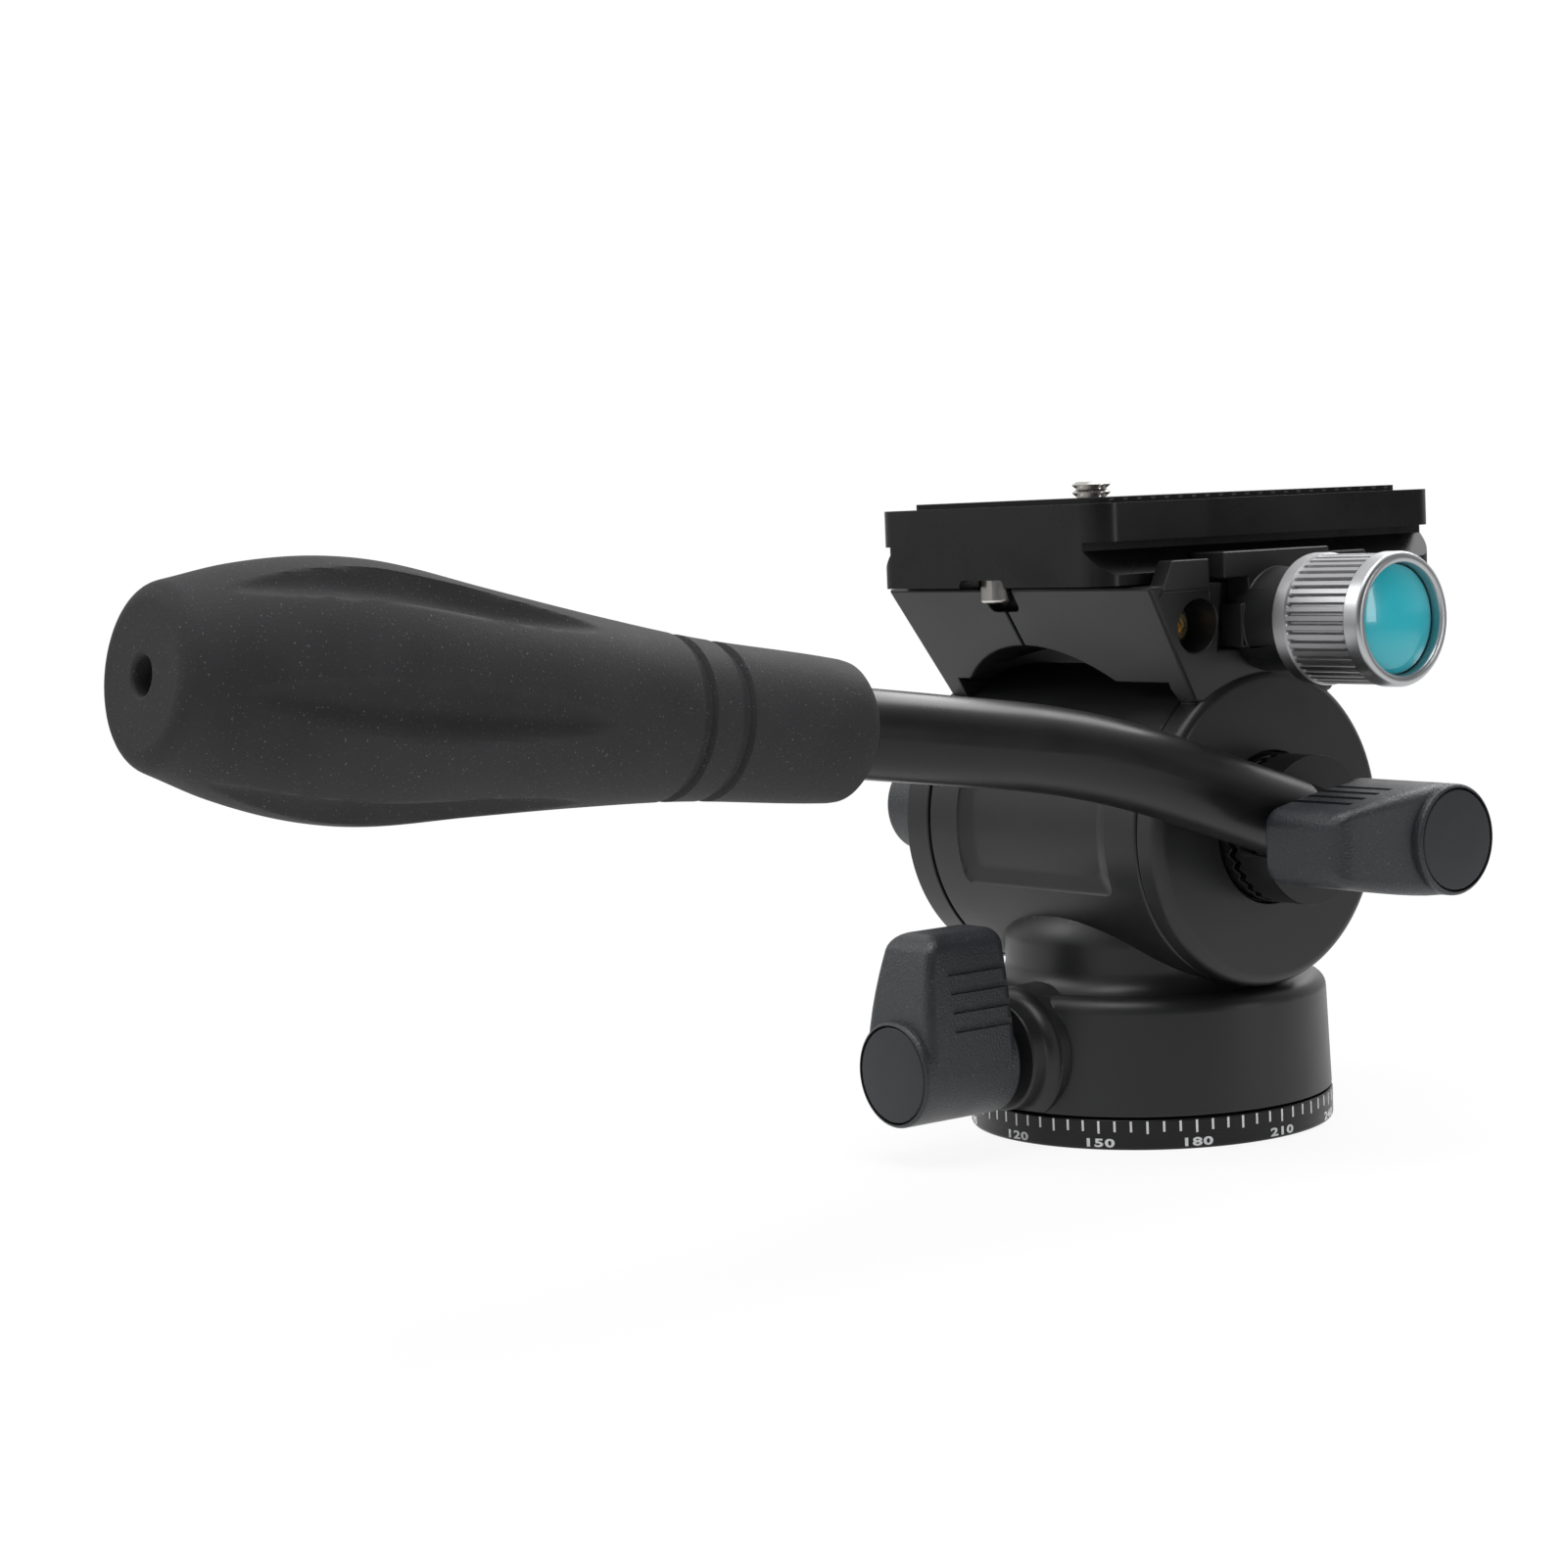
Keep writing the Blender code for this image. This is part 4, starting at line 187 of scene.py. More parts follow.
def laid(obj: Shape, origin: Point, facing: Facing | tuple[Point, Point]) -> Shape:
    """Lay a piece that was made about local Z along an axis of the head.

    Args:
        obj: The piece, made at the world's origin.
        origin: Where its own origin goes.
        facing: Where its +Z and its +X point.

    Returns:
        The same piece, with its place in its mesh.
    """
    axial, side = facing.value if isinstance(facing, Facing) else facing
    z = Vector(axial).normalized()
    x = Vector(side).normalized()
    turn = Matrix((x, z.cross(x), z)).transposed().to_4x4()
    obj.matrix_world = Matrix.Translation(origin) @ turn
    return settle(obj)


def lathe(profile: Profile, sides: int, bored: bool = False) -> Shape:
    """Turn a piece about Z: a disc or a ring is extruded and resized ring by ring.

    Args:
        profile: (radius, height) of each ring, from one end to the other.
        sides: Points in each ring.
        bored: Whether the profile runs round a section and closes on its first ring.

    Returns:
        The piece, at the world's origin.
    """
    bpy.ops.object.select_all(action="DESELECT")
    radius, height = profile[0]
    bpy.ops.mesh.primitive_circle_add(
        vertices=sides,
        radius=radius,
        fill_type="NOTHING" if bored else "NGON",
        location=(0, 0, height),
    )
    obj = settle(bpy.context.active_object)
    with editing(obj):
        bpy.ops.mesh.select_all(action="SELECT")
        for next_radius, next_height in [*profile[1:], *profile[: int(bored)]]:
            extrude((0, 0, next_height - height))
            share = next_radius / radius
            if abs(share - 1) > 1e-9:
                resize((share, share, 1), (0, 0, next_height))
            radius, height = next_radius, next_height
        if bored:
            weld()
        outwards()
    return obj


def outwards() -> None:
    """Point every face of the mesh in edit mode outwards."""
    bpy.ops.mesh.select_all(action="SELECT")
    bpy.ops.mesh.normals_make_consistent(inside=False)


def bar(radius: float, low: float, high: float, sides: int = 48) -> Shape:
    """Return a plain round bar about Z, used to cut and to join."""
    return lathe([(radius, low), (radius, high)], sides)


def drill(
    radius: float, low: float, high: float, origin: Point, facing: Facing, sides: int = 48
) -> Shape:
    """Return a round bar that is laid along an axis of the head, as a cutter."""
    return laid(bar(radius, low, high, sides), origin, facing)


def slab(low: Point, high: Point) -> Shape:
    """Return a box between two corners."""
    bpy.ops.object.select_all(action="DESELECT")
    first, last = Vector(low), Vector(high)
    bpy.ops.mesh.primitive_cube_add(size=1, location=(first + last) / 2, scale=last - first)
    return settle(bpy.context.active_object)


def round_edges(obj: Shape, width: float, steps: int, test: Test) -> None:
    """Bevel the edges whose middles pass a test.

    Args:
        obj: The piece to work on.
        width: The bevel's width.
        steps: Segments in the bevel.
        test: Takes the middle of an edge.
    """
    with editing(obj):
        pick(obj, Element.EDGE, test)
        bpy.ops.mesh.bevel(offset=width, segments=steps, affect="EDGES")


def apply_all(obj: Shape) -> Shape:
    """Apply every modifier of a piece in turn."""
    take(obj)
    for modifier in list(obj.modifiers):
        bpy.ops.object.modifier_apply(modifier=modifier.name)
    return obj


def boolean(obj: Shape, tool: Shape, operation: str) -> Shape:
    """Apply an exact Boolean with a helper, which is then removed."""
    modifier = obj.modifiers.new(operation, "BOOLEAN")
    modifier.operation = operation
    modifier.solver = "EXACT"
    modifier.object = tool
    apply_all(obj)
    bpy.data.objects.remove(tool, do_unlink=True)
    return obj


def carve(obj: Shape, *tools: Shape) -> Shape:
    """Cut helpers out of a piece."""
    for tool in tools:
        boolean(obj, tool, "DIFFERENCE")
    return obj


def fuse(obj: Shape, *others: Shape) -> Shape:
    """Join others to a piece as one body."""
    for other in others:
        boolean(obj, other, "UNION")
    return obj


def soften(
    obj: Shape, width: float, steps: int = 2, angle: float = 38.0, clamp: bool = True
) -> Shape:
    """Round a piece's sharp edges, and put back the corners that run off.

    Args:
        obj: The piece.
        width: The bevel's width.
        steps: Segments in the bevel.
        angle: Edges sharper than this, in degrees, are rounded.
        clamp: Whether short edges hold every bevel back.

    Returns:
        The same piece.
    """
    with editing(obj):
        weld()
        bpy.ops.mesh.dissolve_limited(angle_limit=FLAT_ANGLE)
    places = [vertex.co.copy() for vertex in obj.data.vertices]
    sharp = BVHTree.FromPolygons(places, [tuple(face.vertices) for face in obj.data.polygons])
    bevel = obj.modifiers.new("edge", "BEVEL")
    bevel.width = width
    bevel.segments = steps
    bevel.limit_method = "ANGLE"
    bevel.angle_limit = math.radians(angle)
    bevel.use_clamp_overlap = clamp
    bevel.harden_normals = False
    apply_all(obj)
    for vertex in obj.data.vertices:
        nearest, _, _, far = sharp.find_nearest(vertex.co)
        if far > STRAY_SHARE * width:
            vertex.co = nearest
    return obj


def repeated(obj: Shape, count: int, step: Point) -> Shape:
    """Repeat a helper along a line with an Array modifier."""
    array = obj.modifiers.new("row", "ARRAY")
    array.count = count
    array.use_relative_offset = False
    array.use_constant_offset = True
    array.constant_offset_displace = step
    return apply_all(obj)


def quarter(radius: float, height: float, bend: float, steps: int = 5) -> Rings:
    """Return the ring stations of a rounded outer edge that ends on top.

    Args:
        radius: The piece's radius.
        height: The height of its top.
        bend: The edge's radius.
        steps: Segments in the rounding.

    Returns:
        (radius, height) points from the side to the top.
    """
    turn = math.pi / 2 / steps
    return [
        (radius - bend + bend * math.cos(i * turn), height - bend + bend * math.sin(i * turn))
        for i in range(steps + 1)
    ]


def quarter_under(radius: float, height: float, bend: float, steps: int = 5) -> Rings:
    """Return the ring stations of a rounded edge from the underside to the side."""
    turn = math.pi / 2 / steps
    return [
        (radius - bend + bend * math.sin(i * turn), height + bend - bend * math.cos(i * turn))
        for i in range(steps + 1)
    ]


def hollow(radius: float, height: float, bend: float, steps: int) -> Rings:
    """Return the ring stations of a hollow fillet, from its foot up to its wall."""
    turns = [math.pi * 3 / 2 - i * math.pi / 2 / steps for i in range(steps + 1)]
    return [
        (radius + bend + bend * math.cos(turn), height + bend + bend * math.sin(turn))
        for turn in turns
    ]


# Finishes


@dataclass(frozen=True)
class Graph:
    """A node tree, with short ways to add nodes and to join them."""

    tree: bpy.types.NodeTree

    def add(
        self, kind: str, values: dict[str | int, object] | None = None, **settings: str
    ) -> bpy.types.Node:
        """Add a node.

        Args:
            kind: Its type, without the common prefix.
            values: Constants for its inputs, by name or number.
            settings: Its own settings.

        Returns:
            The node.
        """
        node = self.tree.nodes.new(f"ShaderNode{kind}")
        for name, setting in settings.items():
            setattr(node, name, setting)
        for name, value in (values or {}).items():
            node.inputs[name].default_value = value
        return node

    def join(self, source: Socket, target: Socket) -> None:
        """Link an output to an input."""
        self.tree.links.new(source, target)

    def noise(self, mapping: bpy.types.Node, scale: float, detail: float) -> Socket:
        """Return a noise that reads the piece's own coordinates."""
        noise = self.add("TexNoise", {"Scale": scale, "Detail": detail})
        self.join(mapping.outputs["Vector"], noise.inputs["Vector"])
        return noise.outputs["Fac"]

    def ranged(
        self, value: Socket, taken: tuple[float, float], given: tuple[float, float]
    ) -> Socket:
        """Return a value moved from one range to another."""
        limits = dict(zip(("From Min", "From Max", "To Min", "To Max"), (*taken, *given)))
        spread = self.add("MapRange", limits)
        self.join(value, spread.inputs["Value"])
        return spread.outputs["Result"]

    def ray(self, *kinds: str) -> Socket:
        """Return a value that is 1 for any of the named kinds of ray."""
        path = self.add("LightPath")
        socket = path.outputs[kinds[0]]
        for kind in kinds[1:]:
            larger = self.add("Math", operation="MAXIMUM")
            self.join(socket, larger.inputs[0])
            self.join(path.outputs[kind], larger.inputs[1])
            socket = larger.outputs["Value"]
        return socket

    def blend(self, share: Socket, first: Socket, second: Socket) -> Socket:
        """Return a mix of two shaders."""
        mix = self.add("MixShader")
        for number, socket in enumerate((share, first, second)):
            self.join(socket, mix.inputs[number])
        return mix.outputs["Shader"]


@dataclass(frozen=True)
class Finish:
    """A surface finish, made of a shader and fine procedural detail.

    Colours are linear. Sizes are in metres on the object.
    """

    name: str
    colour: Point
    roughness: float
    metallic: float = 0.0
    specular: float = 0.5
    coat: float = 0.0
    coat_roughness: float = 0.1
    grain: float = 0.0004
    grain_height: float = 0.00001
    mottle: float = 0.25
    mottle_size: float = 0.012
    spread: float = 0.08
    brushed: Point = (1.0, 1.0, 1.0)
    specks: float = 0.0

    def material(self) -> bpy.types.Material:
        """Return the finish's material, made once."""
        made = bpy.data.materials.get(self.name)
        if made:
            return made
        made = bpy.data.materials.new(self.name)
        made.use_nodes = True
        made.diffuse_color = (*self.colour, 1)
        graph = Graph(made.node_tree)
        inputs = made.node_tree.nodes["Principled BSDF"].inputs
        for name, value in (
            ("Metallic", self.metallic),
            ("Specular IOR Level", self.specular),
            ("Coat Weight", self.coat),
            ("Coat Roughness", self.coat_roughness),
        ):
            inputs[name].default_value = value
        mapping = graph.add("Mapping", {"Scale": self.brushed})
        graph.join(graph.add("TexCoord").outputs["Object"], mapping.inputs["Vector"])
        fine = graph.noise(mapping, 1 / self.grain, 3.0)
        broad = graph.noise(mapping, 1 / self.mottle_size, 4.0)
        graph.join(self.tinted(graph, broad, fine), inputs["Base Color"])
        least = max(self.roughness - self.spread, 0.02)
        most = min(self.roughness + self.spread, 1.0)
        graph.join(graph.ranged(broad, NOISE_BAND, (least, most)), inputs["Roughness"])
        bump = graph.add("Bump", {"Strength": 1.0, "Distance": self.grain_height})
        graph.join(fine, bump.inputs["Height"])
        graph.join(bump.outputs["Normal"], inputs["Normal"])
        return made

    def lighter(self, share: float) -> tuple[float, ...]:
        """Return the base colour times a number, with full alpha."""
        return (*(min(channel * share, 1) for channel in self.colour), 1)

    def tinted(self, graph: Graph, broad: Socket, fine: Socket) -> Socket:
        """Return the colour: the base tint, mottled, with lighter specks.

        Args:
            graph: The material's nodes.
            broad: The wide noise that the mottling follows.
            fine: The grain, which the specks follow.

        Returns:
            The last colour of the chain.
        """
        ramp = graph.add("ValToRGB")
        for stop, place, way in zip(ramp.color_ramp.elements, NOISE_BAND, (-1, 1)):
            stop.position = place
            stop.color = self.lighter(1 + way * self.mottle)
        graph.join(broad, ramp.inputs["Fac"])
        if not self.specks:
            return ramp.outputs["Color"]
        mix = graph.add("Mix", data_type="RGBA")
        spots = graph.ranged(fine, SPECK_BAND, (0.0, self.specks))
        graph.join(spots, mix.inputs["Factor"])
        graph.join(ramp.outputs["Color"], mix.inputs["A"])
        mix.inputs["B"].default_value = self.lighter(SPECK_LIFT)
        return mix.outputs["Result"]


CASTING = Finish(
    "satin_black_casting", (0.0095, 0.0097, 0.0107), 0.40, specular=0.42, grain=0.00022,
    grain_height=0.000006, mottle=0.12, spread=0.04, specks=0.10,
)
ANODISED = Finish(
    "matt_black_anodised", (0.0050, 0.0050, 0.0054), 0.28, specular=0.34, grain=0.00012,
    grain_height=0.000003, mottle=0.15, spread=0.05, specks=0.08,
)
HUB = Finish(
    "satin_black_moulding", (0.0070, 0.0072, 0.0080), 0.34, specular=0.40, grain=0.0002,
    grain_height=0.000006, mottle=0.12, spread=0.05, specks=0.10,
)
JAW = Finish(
    "satin_black_anodised", (0.0110, 0.0112, 0.0120), 0.36, specular=0.45, grain=0.00016,
    grain_height=0.000005, mottle=0.12, spread=0.05, specks=0.08,
)
DISC = Finish(
    "turned_black_disc", (0.0100, 0.0100, 0.0106), 0.34, specular=0.24, grain=0.0004,
    grain_height=0.000003, mottle=0.1, brushed=(1.0, 1.0, 14.0),
)
TUBE = Finish(
    "satin_black_tube", (0.0060, 0.0060, 0.0065), 0.31, specular=0.25, grain=0.00025,
    grain_height=0.000001, mottle=0.15, spread=0.04,
)
PLASTIC = Finish(
    "grained_black_plastic", (0.0180, 0.0195, 0.0225), 0.38, specular=0.46, grain=0.00036,
    grain_height=0.00014, mottle=0.15, specks=0.80,
)
CAP_PLASTIC = Finish(
    "smooth_black_plastic", (0.0185, 0.0197, 0.0225), 0.42, specular=0.32, grain=0.00024,
    grain_height=0.000012, mottle=0.1, spread=0.04,
)
RUBBER = Finish(
    "soft_black_rubber", (0.0250, 0.0250, 0.0266), 0.66, specular=0.16, grain=0.00032,
    grain_height=0.00007, mottle=0.14, specks=0.75, spread=0.05,
)
PAD_RUBBER = Finish(
    "ribbed_black_rubber", (0.0100, 0.0100, 0.0102), 0.7, specular=0.22, grain=0.0003,
    grain_height=0.00002, mottle=0.2,
)
FLUTED = Finish(
    "satin_grey_aluminium", (0.40, 0.40, 0.41), 0.40, metallic=1.0, grain=0.00016,
    grain_height=0.000006, mottle=0.08, spread=0.06,
)
POLISHED = Finish(
    "polished_aluminium", (0.46, 0.47, 0.48), 0.34, metallic=1.0, grain=0.0003,
    grain_height=0.000002, mottle=0.05, spread=0.05,
)
TEAL = Finish(
    "glossy_teal_enamel", (0.020, 0.370, 0.440), 0.20, specular=0.35, coat=0.5, coat_roughness=0.04,
    grain=0.002, grain_height=0.000004, mottle=0.06, spread=0.04,
)
STEEL = Finish(
    "bright_plated_steel", (0.58, 0.56, 0.53), 0.26, metallic=1.0, grain=0.0003,
    grain_height=0.000003, mottle=0.12, brushed=(1.0, 1.0, 0.2), spread=0.08,
)
BRASS = Finish(
    "turned_brass", (0.80, 0.63, 0.34), 0.26, metallic=1.0, grain=0.0004,
    grain_height=0.000006, mottle=0.12, spread=0.08,
)
ALUMINIUM = Finish(
    "bare_aluminium", (0.56, 0.57, 0.59), 0.36, metallic=1.0, grain=0.0004,
    grain_height=0.000008, mottle=0.1,
)
NYLON = Finish(
    "natural_nylon", (0.72, 0.70, 0.64), 0.5, grain=0.0006, grain_height=0.00001, mottle=0.06,
)
PAINT = Finish(
    "white_scale_paint", (0.74, 0.75, 0.76), 0.5, grain=0.0003, grain_height=0.000004, mottle=0.08,
)


def dress(obj: Shape, name: str, body: str, finish: Finish, slot: str, *nodes: str) -> Shape:
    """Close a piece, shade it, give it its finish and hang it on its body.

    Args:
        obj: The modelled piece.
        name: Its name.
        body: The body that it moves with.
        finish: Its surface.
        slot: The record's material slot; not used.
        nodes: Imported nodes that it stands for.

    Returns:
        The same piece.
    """
    with editing(obj):
        weld()
        bpy.ops.mesh.fill_holes(sides=8)
        bpy.ops.mesh.normals_make_consistent(inside=False)
    obj.name = name
    obj.data.name = name
    take(obj)
    bpy.ops.object.shade_smooth_by_angle(angle=SHADE_ANGLE)
    weighted = obj.modifiers.new("weighted", "WEIGHTED_NORMAL")
    weighted.keep_sharp = True
    apply_all(obj)
    obj.data.materials.clear()
    obj.data.materials.append(finish.material())
    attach(obj, body)
    if nodes:
        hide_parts(*nodes)
    LOG.info("%s: %d faces, rides on %s", name, len(obj.data.polygons), body)
    return obj


# Shared places


@dataclass(frozen=True)
class Layout:
    """Places that several sub-assemblies share."""

    tilt_z: float = 0.04995
    ear_inner: float = 0.0248
    ear_outer: float = 0.0295
    left_ear_outer: float = 0.0304
    ear_radius: float = 0.02555
    bed_z: float = 0.0893
    bed_half: float = 0.0310
    clamp_z: float = 0.0830
    lock_z: float = 0.0146
    arch_x: float = -0.0042
    stud_bore: float = 0.0033
    clamp_bore: float = 0.0028
    pin_bore: float = 0.0016
    pin_spread: float = 0.0060
    jaw_back: float = 0.0275
    jaw_top: float = 0.0940
    undercut: float = 0.0913
    hook_lean: float = 0.0027

    @property
    def tilt(self) -> Point:
        """Return the middle of the tilt axis."""
        return (0.0, 0.0, self.tilt_z)

    @property
    def clamp(self) -> Point:
        """Return a point on the clamp screw's axis."""
        return (0.0, 0.0, self.clamp_z)

    @property
    def lock(self) -> Point:
        """Return a point on the pan lock's axis."""
        return (0.0, 0.0, self.lock_z)

    def pin(self, side: int) -> Point:
        """Return a point on the axis of the jaw's guide pin on one side."""
        return (0.0, side * self.pin_spread, self.clamp_z)


LAYOUT = Layout()


# Base


@dataclass
class Base:
    """The round base with its degree scale."""

    radius: float = 0.0300
    height: float = 0.0049
    edge: float = 0.0006
    bore: float = 0.00705
    screw_circle: float = 0.0125
    screw_hole: float = 0.0032
    sides: int = 180
    first_label: float = -210.62
    tick_step: int = 5
    label_step: int = 30
    tick_width: float = 0.00036
    tick_length: float = 0.0017
    long_tick: float = 0.0020
    tick_top: float = 0.0047
    paint: float = 0.00004
    digit_size: float = 0.0018
    digit_stretch: float = 1.75
    digit_place: float = 0.0006
    digit_thickness: float = 0.00003
    digit_weight: float = 0.00006
    digit_gap: float = 1.12
    screw_depth: float = 0.0024
    tick_sink: float = 0.0004

    def build(self) -> None:
        """Model and dress the disc, the ticks and the numbers."""
        rings = quarter_under(self.radius, 0, self.edge, 3)
        rings += quarter(self.radius, self.height, self.edge / 2, 3)
        disc = lathe(rings, self.sides)
        carve(disc, bar(self.bore, -0.001, self.height + 0.001, 64))
        for i in range(3):
            turn = math.radians(90 + 120 * i)
            place = (self.screw_circle * math.cos(turn), self.screw_circle * math.sin(turn), 0)
            carve(disc, drill(self.screw_hole, -0.001, self.screw_depth, place, Facing.UP, 32))
        soften(disc, 0.00015)
        dress(disc, "base_scale_disc", "mount_base", DISC, "scale_disc", "base_disc")
        dress(self.ticks(), "base_scale_ticks", "mount_base", PAINT, "scale_disc")
        dress(self.numbers(), "base_scale_numbers", "mount_base", PAINT, "scale_disc")

    def around(self, obj: Shape, degrees: float) -> Shape:
        """Turn a mark that was made at +X to its place on the rim.

        Args:
            obj: The mark.
            degrees: Anticlockwise from +X, seen from above.

        Returns:
            The same mark, with its place in its mesh.
        """
        obj.matrix_world = Matrix.Rotation(math.radians(degrees), 4, "Z") @ obj.matrix_world
        return settle(obj)

    def ticks(self) -> Shape:
        """Return every line of the scale as one piece."""
        marks = []
        for label in range(0, 360, self.tick_step):
            length = self.long_tick if label % 15 == 0 else self.tick_length
            low = (self.radius - self.tick_sink, -self.tick_width / 2, self.tick_top - length)
            high = (self.radius + self.paint, self.tick_width / 2, self.tick_top)
            mark = slab(low, high)
            with editing(mark):
                pick_flat(mark, (1, 0, 0))
                bpy.ops.mesh.inset(thickness=self.tick_width / 8, depth=0)
            marks.append(self.around(mark, label + self.first_label))
        return self.joined(marks)

    def numbers(self) -> Shape:
        """Return the degree numbers as one piece, each laid on the rim."""
        marks = []
        for label in range(0, 360, self.label_step):
            bpy.ops.object.select_all(action="DESELECT")
            bpy.ops.object.text_add()
            text = bpy.context.active_object
            text.data.body = str(label)
            text.data.size = self.digit_size
            text.data.space_character = self.digit_gap
            text.data.extrude = self.digit_thickness
            text.data.offset = self.digit_weight
            text.data.align_x = "CENTER"
            text.data.resolution_u = 4
            bpy.ops.object.convert(target="MESH")
            mark = bpy.context.active_object
            stand = Matrix(((0, 0, 1), (1, 0, 0), (0, 1, 0))).to_4x4()
            stretch = Matrix.Diagonal((self.digit_stretch, 1, 1, 1))
            mark.matrix_world = Matrix.Translation((0, 0, self.digit_place)) @ stand @ stretch
            settle(mark)
            with editing(mark):
                weld()
            self.wrap(mark)
            marks.append(self.around(mark, label + self.first_label))
        return self.joined(marks)

    def wrap(self, mark: Shape) -> None:
        """Bend a flat mark round the rim."""
        for vertex in mark.data.vertices:
            reach = self.radius + self.paint / 2 + vertex.co.x
            turn = vertex.co.y / self.radius
            vertex.co.x = reach * math.cos(turn)
            vertex.co.y = reach * math.sin(turn)

    @staticmethod
    def joined(marks: list[Shape]) -> Shape:
        """Join marks to one object."""
        bpy.ops.object.select_all(action="DESELECT")
        for mark in marks:
            mark.select_set(True)
        bpy.context.view_layer.objects.active = marks[0]
        bpy.ops.object.join()
        return bpy.context.active_object


# Pan body


@dataclass
class PanBody:
    """The casting with the pan skirt, the neck, the lock boss and the drum."""

    radius: float = 0.0299
    floor: float = 0.0052
    foot_edge: float = 0.0004
    top: float = 0.0240
    draft: float = 0.0005
    shoulder: float = 0.0026
    wall: float = 0.0042
    neck_radius: float = 0.0234
    neck_rise: float = 0.0122
    neck_sink: float = 0.0004
    neck_steps: int = 10
    flare: float = 0.0038
    crown: float = 0.0025
    crown_drop: float = 0.0052
    boss_radius: float = 0.0088
    boss_reach: float = 0.0041
    boss_flare: float = 0.0020
    boss_sink: float = 0.0003
    boss_edge: float = 0.0005
    drum_radius: float = 0.0255
    drum_half: float = 0.0245
    drum_edge: float = 0.0006
    drum_room: float = 0.0215
    ear_gap: float = 0.0003
    ear_reach: float = 0.034
    room_top: float = 0.0182
    shaft_radius: float = 0.0063
    shelf: float = 0.0212
    nut_room: float = 0.0091
    nut_top: float = 0.0372
    badge_half: float = 0.0175
    badge_angle: float = math.radians(22)
    badge_slope: float = 0.0024
    badge_depth: float = 0.0013
    badge_corner: float = 0.0014
    badge_round: float = 0.0005
    badge_step: float = 0.0004
    badge_slices: int = 22
    sides: int = 160

    def build(self) -> None:
        """Model and dress the casting."""
        body = self.skirt()
        fuse(body, self.neck(), self.drum(), self.boss())
        sweep = LAYOUT.ear_radius + self.ear_gap
        start = self.drum_half + NEAR
        for facing in (Facing.RIGHT, Facing.LEFT):
            carve(body, drill(sweep, start, self.ear_reach, LAYOUT.tilt, facing, self.sides))
        carve(
            body,
            self.cavity(),
            drill(self.drum_room, -0.030, 0.030, LAYOUT.tilt, Facing.RIGHT, 96),
            drill(LAYOUT.stud_bore, 0, 0.040, LAYOUT.lock, Facing.OPERATOR, 32),
            self.badge(),
        )
        soften(body, 0.00035, 3)
        dress(body, "pan_body_casting", "pan_body", CASTING, "casting", "head_body")

    def skirt(self) -> Shape:
        """Return the round pan housing with its rounded shoulder."""
        rings = quarter_under(self.radius, self.floor, self.foot_edge, 2)
        rings += quarter(self.radius - self.draft, self.top, self.shoulder, 8)
        return lathe(rings, self.sides)

    def neck(self) -> Shape:
        """Return the round cup under the drum, flared into the shoulder."""
        rings = [(self.neck_radius + self.flare, self.top - self.shoulder)]
        rings += hollow(
            self.neck_radius, self.top - self.neck_sink, self.flare, self.neck_steps
        )
        top = self.top + self.neck_rise
        for i in range(self.neck_steps + 1):
            share = 1 - i / self.neck_steps
            radius = self.neck_radius - self.crown * (1 - share) ** 2
            rings.append((radius, top - self.crown_drop * share))
        return lathe(rings, self.sides)

    def drum(self) -> Shape:
        """Return the drum on the tilt axis."""
        rings = quarter_under(self.drum_radius, -self.drum_half, self.drum_edge, 3)
        rings += quarter(self.drum_radius, self.drum_half, self.drum_edge, 3)
        return laid(lathe(rings, self.sides), LAYOUT.tilt, Facing.RIGHT)

    def boss(self) -> Shape:
        """Return the boss of the pan lock, flared into the housing and cut off below it."""
        end = self.radius + self.boss_reach
        start = self.radius - self.wall - self.boss_reach
        rings = [(self.boss_radius + self.boss_flare, start)]
        rings += hollow(self.boss_radius, self.radius - self.boss_sink, self.boss_flare, 8)
        rings += quarter(self.boss_radius, end, self.boss_edge, 3)
        boss = laid(lathe(rings, 96), LAYOUT.lock, Facing.OPERATOR)
        return carve(boss, slab((-0.03, -0.06, -0.01), (0.03, 0.03, self.floor + 0.0003)))

    def cavity(self) -> Shape:
        """Return the cutter of the room inside the housing."""
        room = self.radius - self.wall
        rings = [(room, -0.001), (room, self.room_top), (self.shaft_radius, self.room_top)]
        rings += [(self.shaft_radius, self.shelf), (self.nut_room, self.shelf)]
        return lathe([*rings, (self.nut_room, self.nut_top)], 96)

    def badge(self) -> Shape:
        """Return the cutter of the bare badge recess, bent round the drum with a sloped rim.

        It is modelled flat, with its width along X and the drum's round along Y, sliced across
        so that it can bend, and then laid round the drum.
        """
        tall = self.drum_radius * self.badge_angle
        half = Vector((self.badge_half - self.badge_step, tall - self.badge_step))
        wide, tall = half - Vector((self.badge_slope, self.badge_slope))
        level = self.badge_depth - self.badge_step
        over = 3 * self.badge_step
        tool = slab((-wide, -tall, 0), (wide, tall, level))
        round_edges(tool, self.badge_corner, 5, lambda middle: abs(middle.z - level / 2) < WELD)
        with editing(tool):
            pick_flat(tool, (0, 0, 1))
            resize((half.x / wide, half.y / tall, 1), (0, 0, level))
            extrude((0, 0, over))
            resize((1 + over / half.x, 1 + over / half.y, 1), (0, 0, level + over))
        round_edges(tool, self.badge_round, 3, lambda middle: middle.z < WELD)
        with editing(tool):
            for i in range(1, self.badge_slices):
                bpy.ops.mesh.select_all(action="SELECT")
                place = (half.y + over) * (2 * i / self.badge_slices - 1)
                bpy.ops.mesh.bisect(plane_co=(0, place, 0), plane_no=(0, 1, 0))
        for vertex in tool.data.vertices:
            turn = vertex.co.y / self.drum_radius
            reach = self.drum_radius - self.badge_depth + vertex.co.z
            vertex.co.y = -reach * math.cos(turn)
